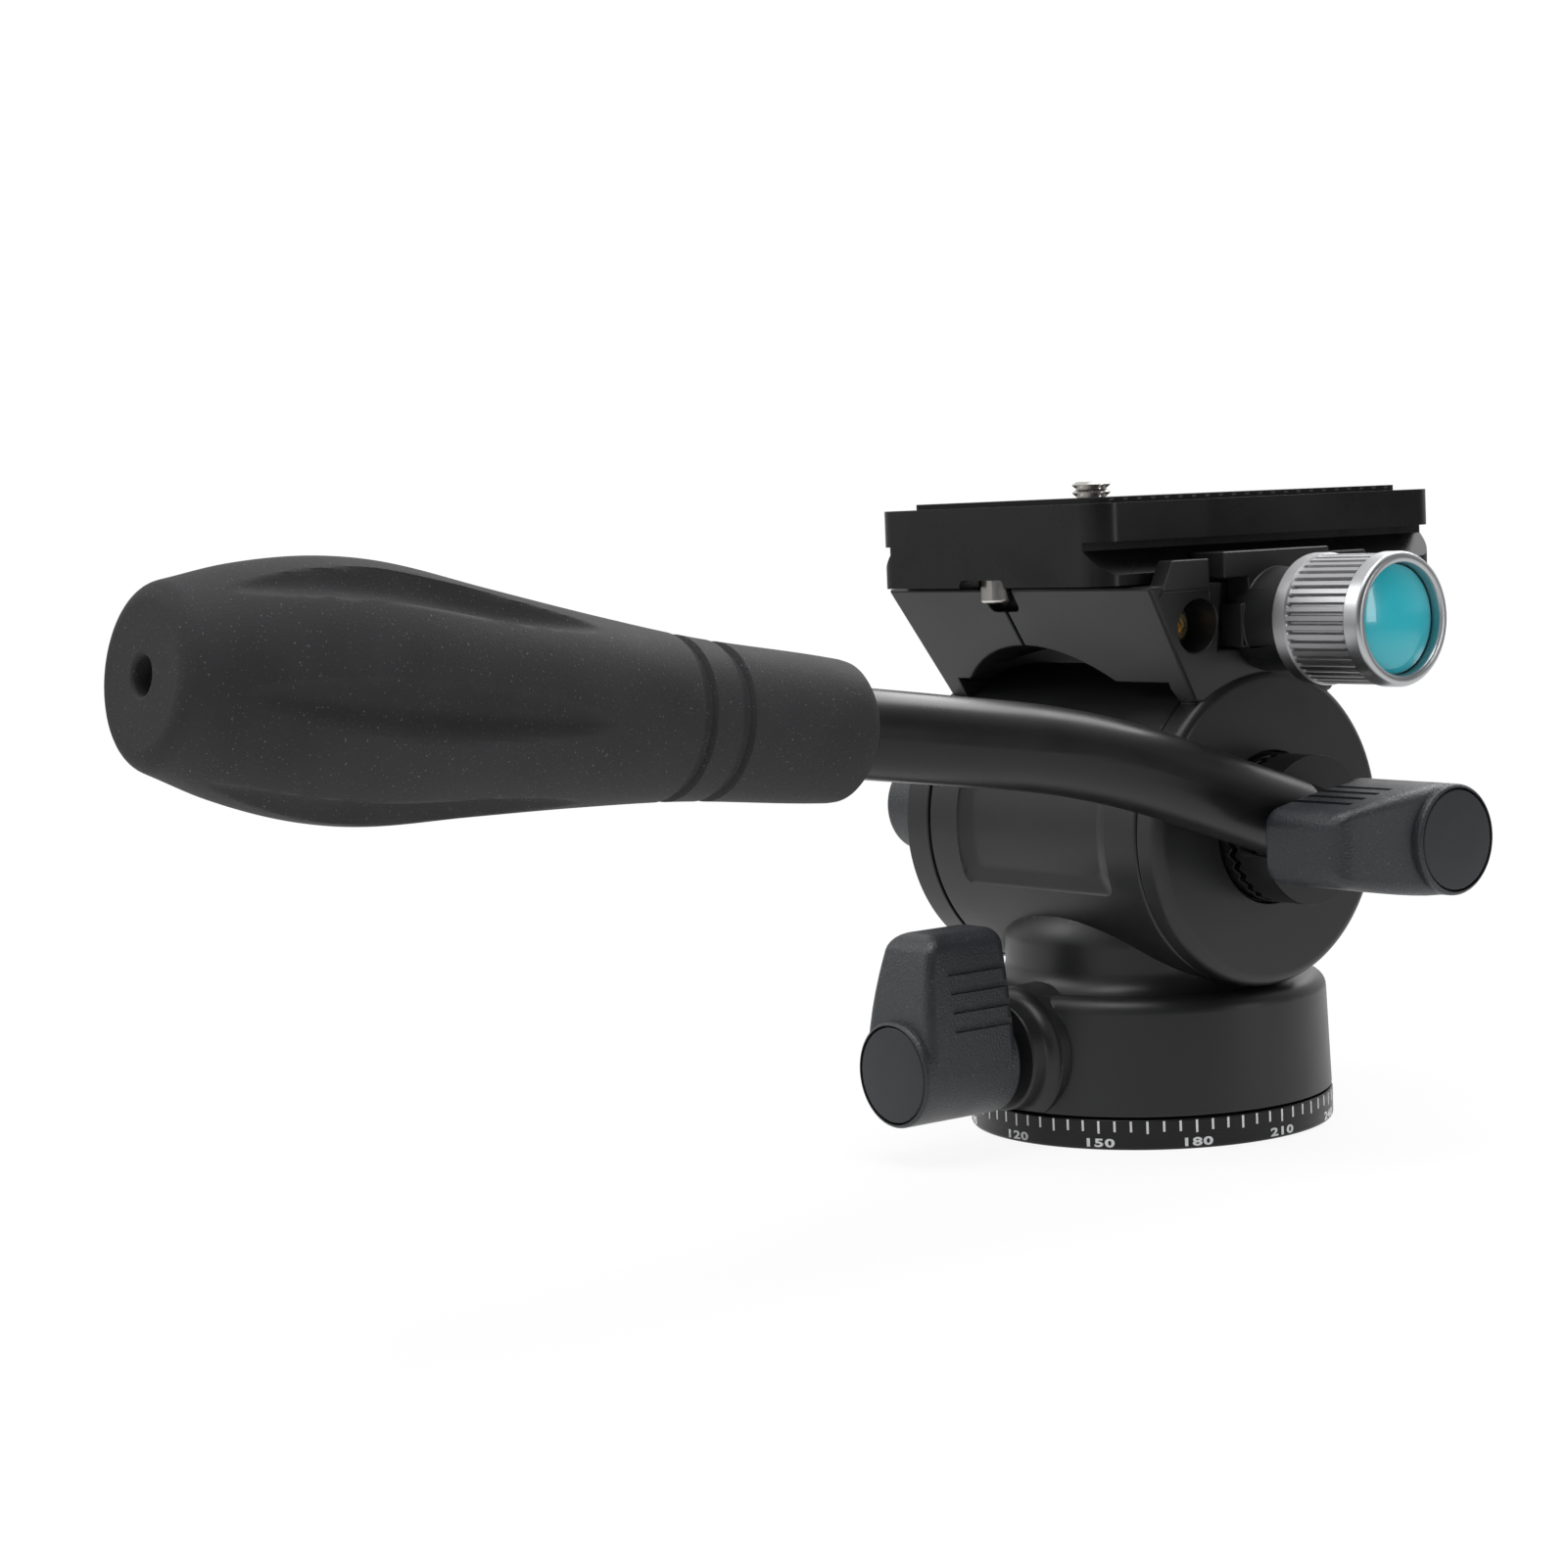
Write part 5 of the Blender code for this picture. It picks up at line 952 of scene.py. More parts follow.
            vertex.co.z = LAYOUT.tilt_z + reach * math.sin(turn)
        with editing(tool):
            bpy.ops.mesh.select_all(action="SELECT")
            bpy.ops.mesh.quads_convert_to_tris()
            outwards()
        return tool


# Tilt bracket


@dataclass
class TiltBracket:
    """The casting with bed, skirts and two ears, its screw and the rosette."""

    bed_length: float = 0.0272
    bed_edge: float = 0.0007
    leg_half_width: float = 0.0287
    leg_half_length: float = 0.0155
    leg_drop: float = 0.0187
    right_fillet: float = 0.0020
    left_fillet: float = 0.0005
    tunnel: float = 0.0296
    arch_radius: float = 0.0288
    arch_crown: float = 0.0096
    arch_angle: float = math.radians(44)
    boss_radius: float = 0.0088
    boss_edge: float = 0.0005
    jaw_half: float = 0.0240
    jaw_outer: float = 0.0304
    jaw_inner: float = 0.0269
    jaw_root: float = 0.0230
    jaw_sink: float = 0.0009
    lip_rise: float = 0.0038
    lip_thickness: float = 0.0034
    lip_start: float = 0.0139
    lip_length: float = 0.0079
    lip_ramp: float = 0.0024
    pocket_y: float = -0.0160
    pocket_z: float = 0.0828
    pocket_radius: float = 0.0042
    pocket_floor: float = 0.0236
    axle_bore: float = 0.0053
    rosette_seat: float = 0.0121
    screw_radius: float = 0.0025
    screw_shank: float = 0.0015
    screw_height: float = 0.0018
    socket_radius: float = 0.0013
    thread_bore: float = 0.0018
    recess_half: float = 0.0113
    recess_low: float = 0.0787
    stop_left: float = -0.0077
    stop_right: float = -0.0007
    stop_back: float = -0.0222
    stop_depth: float = 0.0038
    stop_corner: float = 0.0012
    slit_half: float = 0.0003
    sides: int = 160

    def build(self) -> None:
        """Model and dress the bracket and what is fixed to it."""
        body = self.bed()
        fuse(body, self.ear(Facing.RIGHT, LAYOUT.ear_outer, self.right_fillet))
        fuse(body, self.ear(Facing.LEFT, LAYOUT.left_ear_outer, self.left_fillet))
        fuse(body, self.fixed_jaw(), self.lip(1), self.lip(-1))
        edge = quarter(self.boss_radius, 0.0340, self.boss_edge, 3)
        boss = lathe([(self.boss_radius, 0.0275), *edge], 96)
        fuse(body, laid(boss, LAYOUT.tilt, Facing.LEFT))
        self.cut_rooms(body)
        soften(body, 0.0003, 3, clamp=False)
        dress(body, "tilt_bracket_casting", "tilt_frame", CASTING, "casting", "tilt_bracket")
        self.bed_screw()
        self.rosette()

    def bed(self) -> Shape:
        """Return the bed with its skirts, which narrow towards the legs."""
        top = (LAYOUT.bed_half, self.bed_length, LAYOUT.bed_z)
        block = slab((-top[0], -top[1], LAYOUT.bed_z - self.leg_drop), top)
        share = (self.leg_half_width / LAYOUT.bed_half, self.leg_half_length / self.bed_length, 1)
        with editing(block):
            pick_flat(block, (0, 0, -1))
            resize(share, (0, 0, LAYOUT.bed_z - self.leg_drop))
        corner = Vector((LAYOUT.bed_half, 0, LAYOUT.bed_z))
        round_edges(block, self.bed_edge, 3, lambda middle: (middle - corner).xz.length > 0.001)
        return block

    def ear(self, facing: Facing, outer: float, fillet: float) -> Shape:
        """Return one ear disc with its rounded outer edge.

        Args:
            facing: The side that it is on.
            outer: How far from the middle its outer face is.
            fillet: The radius of its outer edge.

        Returns:
            The ear.
        """
        rings = [(LAYOUT.ear_radius, LAYOUT.ear_inner - 0.004)]
        rings += quarter(LAYOUT.ear_radius, outer, fillet, 6)
        return laid(lathe(rings, self.sides), LAYOUT.tilt, facing)

    def fixed_jaw(self) -> Shape:
        """Return the fixed dovetail jaw along the bed's left edge."""
        low, half = LAYOUT.bed_z - self.jaw_sink, self.jaw_half
        jaw = slab((-self.jaw_outer, -half, low), (-self.jaw_inner, half, LAYOUT.jaw_top))
        with editing(jaw):
            edge = -self.jaw_outer + NEAR
            pick(jaw, Element.VERT, lambda middle: middle.x > edge and middle.z > low + NEAR)
            shift((LAYOUT.hook_lean, 0, 0))
        seat = LAYOUT.bed_z + NEAR
        tool = slab((-self.jaw_inner, -0.030, seat), (-self.jaw_root, 0.030, LAYOUT.undercut))
        with editing(tool):
            edge = -self.jaw_inner + NEAR
            pick(tool, Element.VERT, lambda middle: middle.x > edge and middle.z > seat + NEAR)
            shift((0, 0, self.jaw_inner - self.jaw_root))
        return carve(jaw, tool)

    def lip(self, way: int) -> Shape:
        """Return one raised lip beside the sliding jaw, ramped at its outer end."""
        outer, far = LAYOUT.bed_half, way * (self.lip_start + self.lip_length)
        ends = sorted((way * self.lip_start, far))
        block = slab(
            (outer - self.lip_thickness, ends[0], LAYOUT.bed_z - self.jaw_sink),
            (outer, ends[1], LAYOUT.bed_z + self.lip_rise),
        )
        with editing(block):
            pick(
                block,
                Element.VERT,
                lambda middle: abs(middle.y - far) < NEAR and middle.z < LAYOUT.bed_z,
            )
            shift((0, way * self.lip_ramp, 0))
        return block

    def arch(self) -> Shape:
        """Return the cutter of the arch across the skirts."""
        middle = (LAYOUT.arch_x, 0, LAYOUT.bed_z - self.arch_crown - self.arch_radius)
        tool = drill(self.arch_radius, -0.032, 0.032, middle, Facing.OPERATOR, self.sides)
        reach = self.arch_radius * math.sin(self.arch_angle)
        with editing(tool):
            for side in (-1, 1):
                self.crop((LAYOUT.arch_x + side * reach, 0, 0), (side, 0, 0))
            self.crop(LAYOUT.tilt, (0, 0, -1))
        return tool

    @staticmethod
    def crop(place: Point, normal: Point) -> None:
        """Cut off, in edit mode, what lies beyond a plane, and close the cut."""
        bpy.ops.mesh.select_all(action="SELECT")
        bpy.ops.mesh.bisect(plane_co=place, plane_no=normal, use_fill=True, clear_outer=True)

    @property
    def pocket(self) -> Point:
        """Return a point on the axis of the bed's side pocket."""
        return (0, self.pocket_y, self.pocket_z)

    def cut_rooms(self, body: Shape) -> None:
        """Cut the tunnel, the arch, the seats, bores and pockets."""
        inner, right, tilt = LAYOUT.ear_inner, Facing.RIGHT, LAYOUT.tilt
        carve(
            body,
            drill(self.tunnel, -inner, inner, tilt, right, self.sides),
            self.arch(),
            slab(
                (LAYOUT.jaw_back - 0.0003, -self.recess_half, self.recess_low),
                (0.036, self.recess_half, LAYOUT.bed_z + 0.004),
            ),
            drill(self.axle_bore, -0.0285, 0.032, tilt, right),
            drill(self.rosette_seat, LAYOUT.ear_outer - 0.0010, 0.034, tilt, right, 96),
            drill(LAYOUT.stud_bore, 0.024, 0.040, tilt, Facing.LEFT, 32),
            drill(LAYOUT.clamp_bore, 0.0117, 0.036, LAYOUT.clamp, right, 32),
            drill(self.pocket_radius, self.pocket_floor, 0.036, self.pocket, right, 64),
            drill(self.thread_bore, 0.0189, 0.031, self.pocket, right, 24),
            *(
                drill(LAYOUT.pin_bore, 0.0212, 0.0325, LAYOUT.pin(side), right, 24)
                for side in (-1, 1)
            ),
            self.stop_pocket(),
            self.slit(),
        )

    def stop_pocket(self) -> Shape:
        """Return the cutter of the pocket that a stop pin of the plate drops into."""
        low, back = LAYOUT.bed_z - self.stop_depth, self.stop_back - NEAR
        pocket = slab(
            (self.stop_left, -0.0320, low), (self.stop_right, self.stop_back, LAYOUT.bed_z + 0.004)
        )
        round_edges(
            pocket,
            self.stop_corner,
            3,
            lambda middle: abs(middle.z - low) < NEAR or middle.y > back,
        )
        return pocket

    def slit(self) -> Shape:
        """Return the cutter of the narrow slit down the front skirt."""
        slit = slab((-self.slit_half, -0.004, -self.leg_drop), (self.slit_half, 0.0008, 0))
        lean = math.atan((self.bed_length - self.leg_half_length) / self.leg_drop)
        place = Matrix.Translation((LAYOUT.arch_x, -self.bed_length, LAYOUT.bed_z))
        slit.matrix_world = place @ Matrix.Rotation(lean, 4, "X")
        return settle(slit)

    def bed_screw(self) -> None:
        """Model the brass screw at the bottom of the side pocket."""
        radius, seat = self.screw_radius, self.pocket_floor + 0.0003
        rings = [(self.screw_shank, seat - 0.0047), (self.screw_shank, seat), (radius, seat)]
        rings += quarter(radius, seat + self.screw_height, 0.0004, 3)
        screw = laid(lathe(rings, 48), self.pocket, Facing.RIGHT)
        low, high = seat + self.screw_height / 2, seat + 0.003
        carve(screw, drill(self.socket_radius, low, high, self.pocket, Facing.RIGHT, 6))
        soften(screw, 0.0001)
        dress(screw, "bed_screw_head", "tilt_frame", BRASS, "brass", "bed_screw")

    def rosette(self) -> None:
        """Model the toothed ring that is let into the right ear."""
        ring = Rosette().toothed(0.0288, 0.0306, 0)
        carve(ring, bar(LAYOUT.stud_bore, 0.02, 0.04, 32))
        laid(ring, LAYOUT.tilt, Facing.RIGHT)
        soften(ring, 0.0001, 1)
        dress(ring, "rosette_ring", "tilt_frame", ANODISED, "anodised", "rosette")


@dataclass
class Rosette:
    """A disc with radial teeth, used on the ear and under the handle's hub."""

    radius: float = 0.0118
    inner: float = 0.0056
    core: float = 0.0015
    teeth: int = 32
    height: float = 0.0010

    def toothed(self, floor: float, root: float, phase: int) -> Shape:
        """Return a disc about Z whose top carries the teeth.

        Args:
            floor: The height of its plain face.
            root: The height at the foot of the teeth.
            phase: 0 puts a crest at +X, 1 a root.

        Returns:
            The disc.
        """
        middle = root + self.height / 2
        sides = self.teeth * 2
        rings = [(self.radius, floor), (self.radius, middle), (self.inner, middle)]
        disc = lathe([*rings, (self.core, middle)], sides)
        fade = self.inner / self.radius
        for reach, lift in ((self.radius, self.height / 2), (self.inner, self.height / 2 * fade)):
            for crest, odd in ((1, phase), (-1, 1 - phase)):
                with editing(disc):
                    pick(disc, Element.VERT, lambda point: self.is_at(point, reach, middle, odd))
                    shift((0, 0, crest * lift))
        return disc

    def is_at(self, point: Vector, reach: float, height: float, odd: int) -> bool:
        """Say whether a point is on a ring of the toothed face, on its even or odd lines."""
        line = round(math.atan2(point.y, point.x) / (math.pi / self.teeth))
        on_ring = abs(point.xy.length - reach) < NEAR and abs(point.z - height) < NEAR / 10
        return on_ring and line % 2 == odd


# Wing knobs


@dataclass
class WingKnob:
    """One wing knob with an inlaid cap, modelled about Z with its wing towards +X."""

    length: float = 0.0196
    radius: float = 0.0085
    rim: float = 0.0007
    cap_radius: float = 0.0076
    cap_depth: float = 0.0016
    cap_gap: float = 0.00025
    cap_crown: float = 0.00014
    foot_edge: float = 0.0005
    bore_end: float = 0.0133
    reach: float = 0.0216
    tip_half: float = 0.0053
    corner: float = 0.0022
    tip_round: float = 0.0026
    front_inset: float = 0.0003
    front_slope: float = 0.0034
    ribs: int = 4
    rib_first: float = 0.0071
    rib_pitch: float = 0.00297
    rib_width: float = 0.0011
    rib_depth: float = 0.0008
    rib_round: float = 0.0002
    rib_length: float = 0.0130
    shares: tuple[float, ...] = (0.2, 0.35, 0.5, 0.65, 0.8, 0.9, 1.0)
    place: float = 0.0364
    sides: int = 96

    def section(self, level: float) -> tuple[float, float]:
        """Return the wing's front height and half width at a distance from the axis."""
        share = level / self.reach
        front = self.length - self.rim - self.front_inset - self.front_slope * share**2
        return front, self.radius + (self.tip_half - self.radius) * share**1.5

    def wing(self) -> Shape:
        """Return the wing: a rounded section, extruded and narrowed to its round tip."""
        bpy.ops.object.select_all(action="DESELECT")
        front, half = self.section(0)
        bpy.ops.mesh.primitive_plane_add(
            size=1, location=(0, 0, front / 2), rotation=(0, math.pi / 2, 0)
        )
        wing = settle(bpy.context.active_object)
        with editing(wing):
            bpy.ops.mesh.select_all(action="SELECT")
            resize((1, 2 * half, front), (0, 0, front / 2))
            bpy.ops.mesh.bevel(offset=self.corner, segments=6, affect="VERTICES")
            bpy.ops.mesh.select_all(action="SELECT")
            level, depth, width, middle = 0.0, front, half, front / 2
            for next_level, shrink in self.stations():
                front, half = self.section(next_level)
                next_depth, next_width = front - 1.5 * shrink, half - shrink
                next_middle = (front - shrink / 2) / 2
                extrude((next_level - level, 0, next_middle - middle))
                shares = (1, next_width / width, next_depth / depth)
                resize(shares, (next_level, 0, next_middle))
                level, depth, width, middle = next_level, next_depth, next_width, next_middle
            outwards()
        return wing

    def stations(self) -> list[tuple[float, float]]:
        """Return (distance from the axis, shrink) for the wing's sections."""
        start = self.reach - self.tip_round
        found = [(start * share, 0.0) for share in self.shares]
        for i in range(1, 7):
            turn = i * math.pi / 12
            shrink = self.tip_round * (1 - math.cos(turn))
            found.append((start + self.tip_round * math.sin(turn), shrink))
        return found

    def grooves(self, side: int) -> Shape:
        """Return the cutters of the finger grooves on one flank, leaning with it."""
        lean = math.atan((self.tip_half - self.radius) / self.reach) * side
        half, depth = self.rib_width / 2, self.rib_depth
        groove = slab((-half, -depth, -0.004), (half, depth, self.rib_length))
        round_edges(groove, self.rib_round, 2, lambda middle: middle.z > -0.003)
        repeated(groove, self.ribs, (self.rib_pitch, 0, 0))
        start = Matrix.Translation((self.rib_first, side * self.section(self.rib_first)[1], 0))
        groove.matrix_world = start @ Matrix.Rotation(lean, 4, "Z")
        return settle(groove)

    def body(self) -> Shape:
        """Return the knob's body with its cap seat and its bore."""
        rings = quarter_under(self.radius, 0, self.foot_edge, 3)
        rings += quarter(self.radius - NEAR, self.length, self.rim, 5)
        knob = fuse(lathe(rings, self.sides), self.wing())
        seat = self.length - self.cap_depth
        carve(
            knob,
            bar(self.cap_radius + self.cap_gap, seat, self.length + 0.002, self.sides),
            bar(LAYOUT.stud_bore, -0.001, self.bore_end, 32),
        )
        soften(knob, 0.0003, 3, 30)
        carve(knob, self.grooves(1), self.grooves(-1))
        return knob

    def cap(self) -> Shape:
        """Return the inlaid cap with its slightly domed face."""
        low = self.length - self.cap_depth + 0.0002
        rings = [(self.cap_radius, low)]
        rings += quarter(self.cap_radius, self.length - 0.00005, 0.00035, 4)
        rings += [(self.cap_radius * 0.7, self.length + 0.00006)]
        rings += [(self.cap_radius * 0.35, self.length + self.cap_crown)]
        return lathe(rings, self.sides)

    def build(self) -> None:
        """Model the knob once and place a copy, with its own mesh, for each lock."""
        out, lock_z, tilt_z = self.place, LAYOUT.lock_z, LAYOUT.tilt_z
        handle_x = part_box("handle_knob")[0].x
        places = {
            "pan_knob": ("pan_lock", (0, -out, lock_z), ((0, -1, 0), (0, 0, 1))),
            "tilt_knob": ("tilt_lock", (-out, 0, tilt_z), ((-1, 0, 0), (0, 1, 0))),
            "handle_knob": ("handle_lock", (handle_x, 0, tilt_z), ((1, 0, 0), (0, -1, 0))),
        }
        body, cap = self.body(), self.cap()
        for node, (carrier, origin, facing) in places.items():
            for model, part, finish in ((body, "body", PLASTIC), (cap, "inlay", CAP_PLASTIC)):
                piece = bpy.data.objects.new(f"{node}_{part}", model.data.copy())
                bpy.context.scene.collection.objects.link(piece)
                laid(piece, origin, facing)
                stood = node if part == "body" else f"{node}_cap"
                dress(piece, f"{node}_{part}", carrier, finish, "knob_plastic", stood)
        bpy.data.objects.remove(body, do_unlink=True)
        bpy.data.objects.remove(cap, do_unlink=True)


# Handle


@dataclass
class Handle:
    """The toothed hub, the bent tube and the moulded grip."""

    tube_x: float = 0.0400
    tube_radius: float = 0.0064
    tube_wall: float = 0.0014
    start: float = 0.0072
    inner_angle: float = math.radians(18.4)
    outer_angle: float = math.radians(7.9)
    bend_place: float = 0.0510
    bend_radius: float = 0.1900
    grip_start: float = 0.0994
    insertion: float = 0.0420
    grip_length: float = 0.1058
    hub_radius: float = 0.0118
    hub_back: float = 0.0329
    hub_face: float = 0.0386
    radii: tuple[float, ...] = (
        0.0090, 0.0099, 0.0109, 0.0124, 0.0146, 0.0162, 0.0165, 0.0159, 0.0142, 0.0120, 0.0109,
    )
    shares: tuple[float, ...] = (
        0, 0.012, 0.247, 0.398, 0.571, 0.685, 0.751, 0.822, 0.902, 0.968, 1,
    )
    groove_places: tuple[float, float] = (0.0235, 0.0301)
    groove_half: float = 0.00085
    groove_depth: float = 0.0008
    flutes: int = 6
    flute_depth: float = 0.0026
    flute_middle: float = 0.685
    flute_reach: float = 0.25
    flute_half_angle: float = math.radians(13)
    flute_turn: float = math.radians(6)
    tail_round: float = 0.0030
    tail_turn: float = math.radians(17)
    tail_bore: float = 0.0024
    tail_depth: float = 0.0060
    tail_edge: float = 0.0006
    nose_edge: float = 0.0003
    channel_half: float = 0.0236
    tube_gap: float = 0.0003
    sides: int = 216

    def build(self) -> None:
        """Model and dress the hub, the tube and the grip."""
        self.hub()
        self.tube()
        self.grip()

    def point(self, place: float) -> tuple[float, float, float]:
        """Return how far out and up the tube is at a distance along it, and its angle."""
        bend = self.inner_angle - self.outer_angle
        bend_start = self.bend_place - self.bend_radius * math.tan(bend / 2)
        straight = min(place, bend_start)
        out, up = straight * math.cos(self.inner_angle), straight * math.sin(self.inner_angle)
        angle = self.inner_angle
        if place > bend_start:
            angle -= min((place - bend_start) / self.bend_radius, bend)
            out += self.bend_radius * (math.sin(self.inner_angle) - math.sin(angle))
            up += self.bend_radius * (math.cos(angle) - math.cos(self.inner_angle))
        rest = max(place - bend_start - self.bend_radius * bend, 0)
        out += rest * math.cos(self.outer_angle)
        return out, up + rest * math.sin(self.outer_angle), angle

    def frame_at(self, place: float) -> tuple[Point, tuple[Point, Point]]:
        """Return a point on the tube and the directions along it and across it."""
        out, up, angle = self.point(place)
        along = (0, -math.cos(angle), math.sin(angle))
        return (self.tube_x, -out, LAYOUT.tilt_z + up), (along, (1, 0, 0))

    def swept(self, radius: float, start: float, end: float) -> Shape:
        """Return a bar that follows the tube: a disc, extruded and turned step by step."""
        bpy.ops.object.select_all(action="DESELECT")
        bpy.ops.mesh.primitive_circle_add(vertices=64, radius=radius, fill_type="NGON")
        origin, facing = self.frame_at(start)
        rod = laid(bpy.context.active_object, origin, facing)
        steps = [start + (end - start) * i / 40 for i in range(1, 41)]
        with editing(rod):
            bpy.ops.mesh.select_all(action="SELECT")
            before, angle = Vector(origin), self.point(start)[2]
            for place in steps:
                here = Vector(self.frame_at(place)[0])
                extrude(here - before)
                turned = self.point(place)[2]
                turn = turned - angle
                if abs(turn) > 1e-9:
                    bpy.ops.transform.rotate(value=turn, orient_axis="X", center_override=here)
                before, angle = here, turned
            outwards()
        return rod

    def tube(self) -> None:
        """Model the tube with its open end."""
        end = self.grip_start + self.insertion
        tube = self.swept(self.tube_radius, self.start, end)
        bore = self.tube_radius - self.tube_wall
        carve(tube, self.swept(bore, self.start - 0.004, end + 0.004))
        soften(tube, 0.0003, 2)
        dress(tube, "handle_bent_tube", "handle", TUBE, "tube", "handle_tube")

    def hub(self) -> None:
        """Model the toothed hub with the channel that the tube lies in."""
        hub = Rosette(radius=self.hub_radius).toothed(-self.hub_face, -self.hub_back, 1)
        laid(hub, LAYOUT.tilt, Facing.LEFT)
        across, half = self.tube_radius + self.tube_gap, self.channel_half
        channel = slab((-across, -across, -half), (self.tube_radius, across, half))
        laid(channel, *self.frame_at(0))
        bore = drill(LAYOUT.stud_bore, 0, 0.05, LAYOUT.tilt, Facing.RIGHT, 32)
        carve(hub, channel, bore)
        soften(hub, 0.00015, 2)
        dress(hub, "handle_hub_disc", "handle", HUB, "knob_plastic", "handle_hub")

    def radius_at(self, share: float) -> float:
        """Return the grip's plain radius at a share of its length."""
        places, radii = self.shares, self.radii
        for i in range(len(places) - 1):
            if share <= places[i + 1]:
                span = places[i + 1] - places[i]
                t = (share - places[i]) / span
                first, last = self.slope(i), self.slope(i + 1)
                ease = t * t * (3 - 2 * t)
                bend = (first * (1 - t) - last * t) * span * t * (1 - t)
                return radii[i] * (1 - ease) + radii[i + 1] * ease + bend
        return radii[-1]

    def slope(self, index: int) -> float:
        """Return the radius's slope at a station."""
        before, after = max(index - 1, 0), min(index + 1, len(self.shares) - 1)
        return (self.radii[after] - self.radii[before]) / (self.shares[after] - self.shares[before])

    def stations(self) -> list[tuple[float, float]]:
        """Return (distance from the nose, radius) for the grip's rings, grooves included."""
        length, half, bend = self.grip_length, self.groove_half, self.tail_round
        places = [length * i / 110 for i in range(111)]
        places += [length * (1 - 0.004 * i) for i in range(1, 5)] + [0.0003, 0.0006]
        for groove in self.groove_places:
            places = [place for place in places if abs(place - groove) > 1.6 * half]
            places += [groove + side * x * half for side in (-1, 1) for x in (0.3, 0.7, 1, 1.3)]
        rings = []
        for place in sorted(set(places)):
            off = min(abs(place - groove) for groove in self.groove_places) / half
            depth = self.groove_depth * min(max(1.25 - off, 0) / 0.6, 1)
            rings.append((place, self.radius_at(place / length) - depth))
        start = length - bend * (1 - math.sin(self.tail_turn))
        rings = [ring for ring in rings if ring[0] < start - 0.0002]
        face = self.radius_at(start / length) - bend * math.cos(self.tail_turn)
        for i in range(10):
            turn = self.tail_turn + (math.pi / 2 - self.tail_turn) * i / 9
            place = length - bend * (1 - math.sin(turn))
            rings.append((place, face + bend * math.cos(turn)))
        return rings

    def flute(self, place: float, angle: float) -> float:
        """Return how deep the lens-shaped scallops are at a place on the grip."""
        along = (place / self.grip_length - self.flute_middle) / self.flute_reach
        pitch = math.tau / self.flutes
        turned = angle + self.flute_turn
        across = (turned - pitch * round(turned / pitch)) / self.flute_half_angle
        return self.flute_depth * max(1 - along**2 - across**2, 0)

    def grip(self) -> None:
        """Model the grip: turned, scalloped, then bored for the tube and at its tail."""
        length, bore = self.grip_length, self.tail_bore
        grip = lathe([(radius, place) for place, radius in self.stations()], self.sides)
        for vertex in grip.data.vertices:
            reach = vertex.co.xy.length
            if reach > 0.001:
                depth = self.flute(vertex.co.z, math.atan2(vertex.co.y, vertex.co.x))
                vertex.co.xy = vertex.co.xy * ((reach - depth) / reach)
        round_edges(grip, self.nose_edge, 3, lambda middle: middle.z < NEAR / 10)
        carve(
            grip,
            bar(self.tube_radius + 0.0002, -0.004, self.insertion + 0.0003, 64),
            bar(bore, length - self.tail_depth, length + 0.004),
        )
        round_edges(
            grip,
            self.tail_edge,
            3,
            lambda middle: middle.z > length - NEAR / 2 and abs(middle.xy.length - bore) < NEAR,
        )
        laid(grip, *self.frame_at(self.grip_start))
        dress(grip, "handle_moulded_grip", "handle", RUBBER, "grip_rubber", "handle_grip")


# Clamp


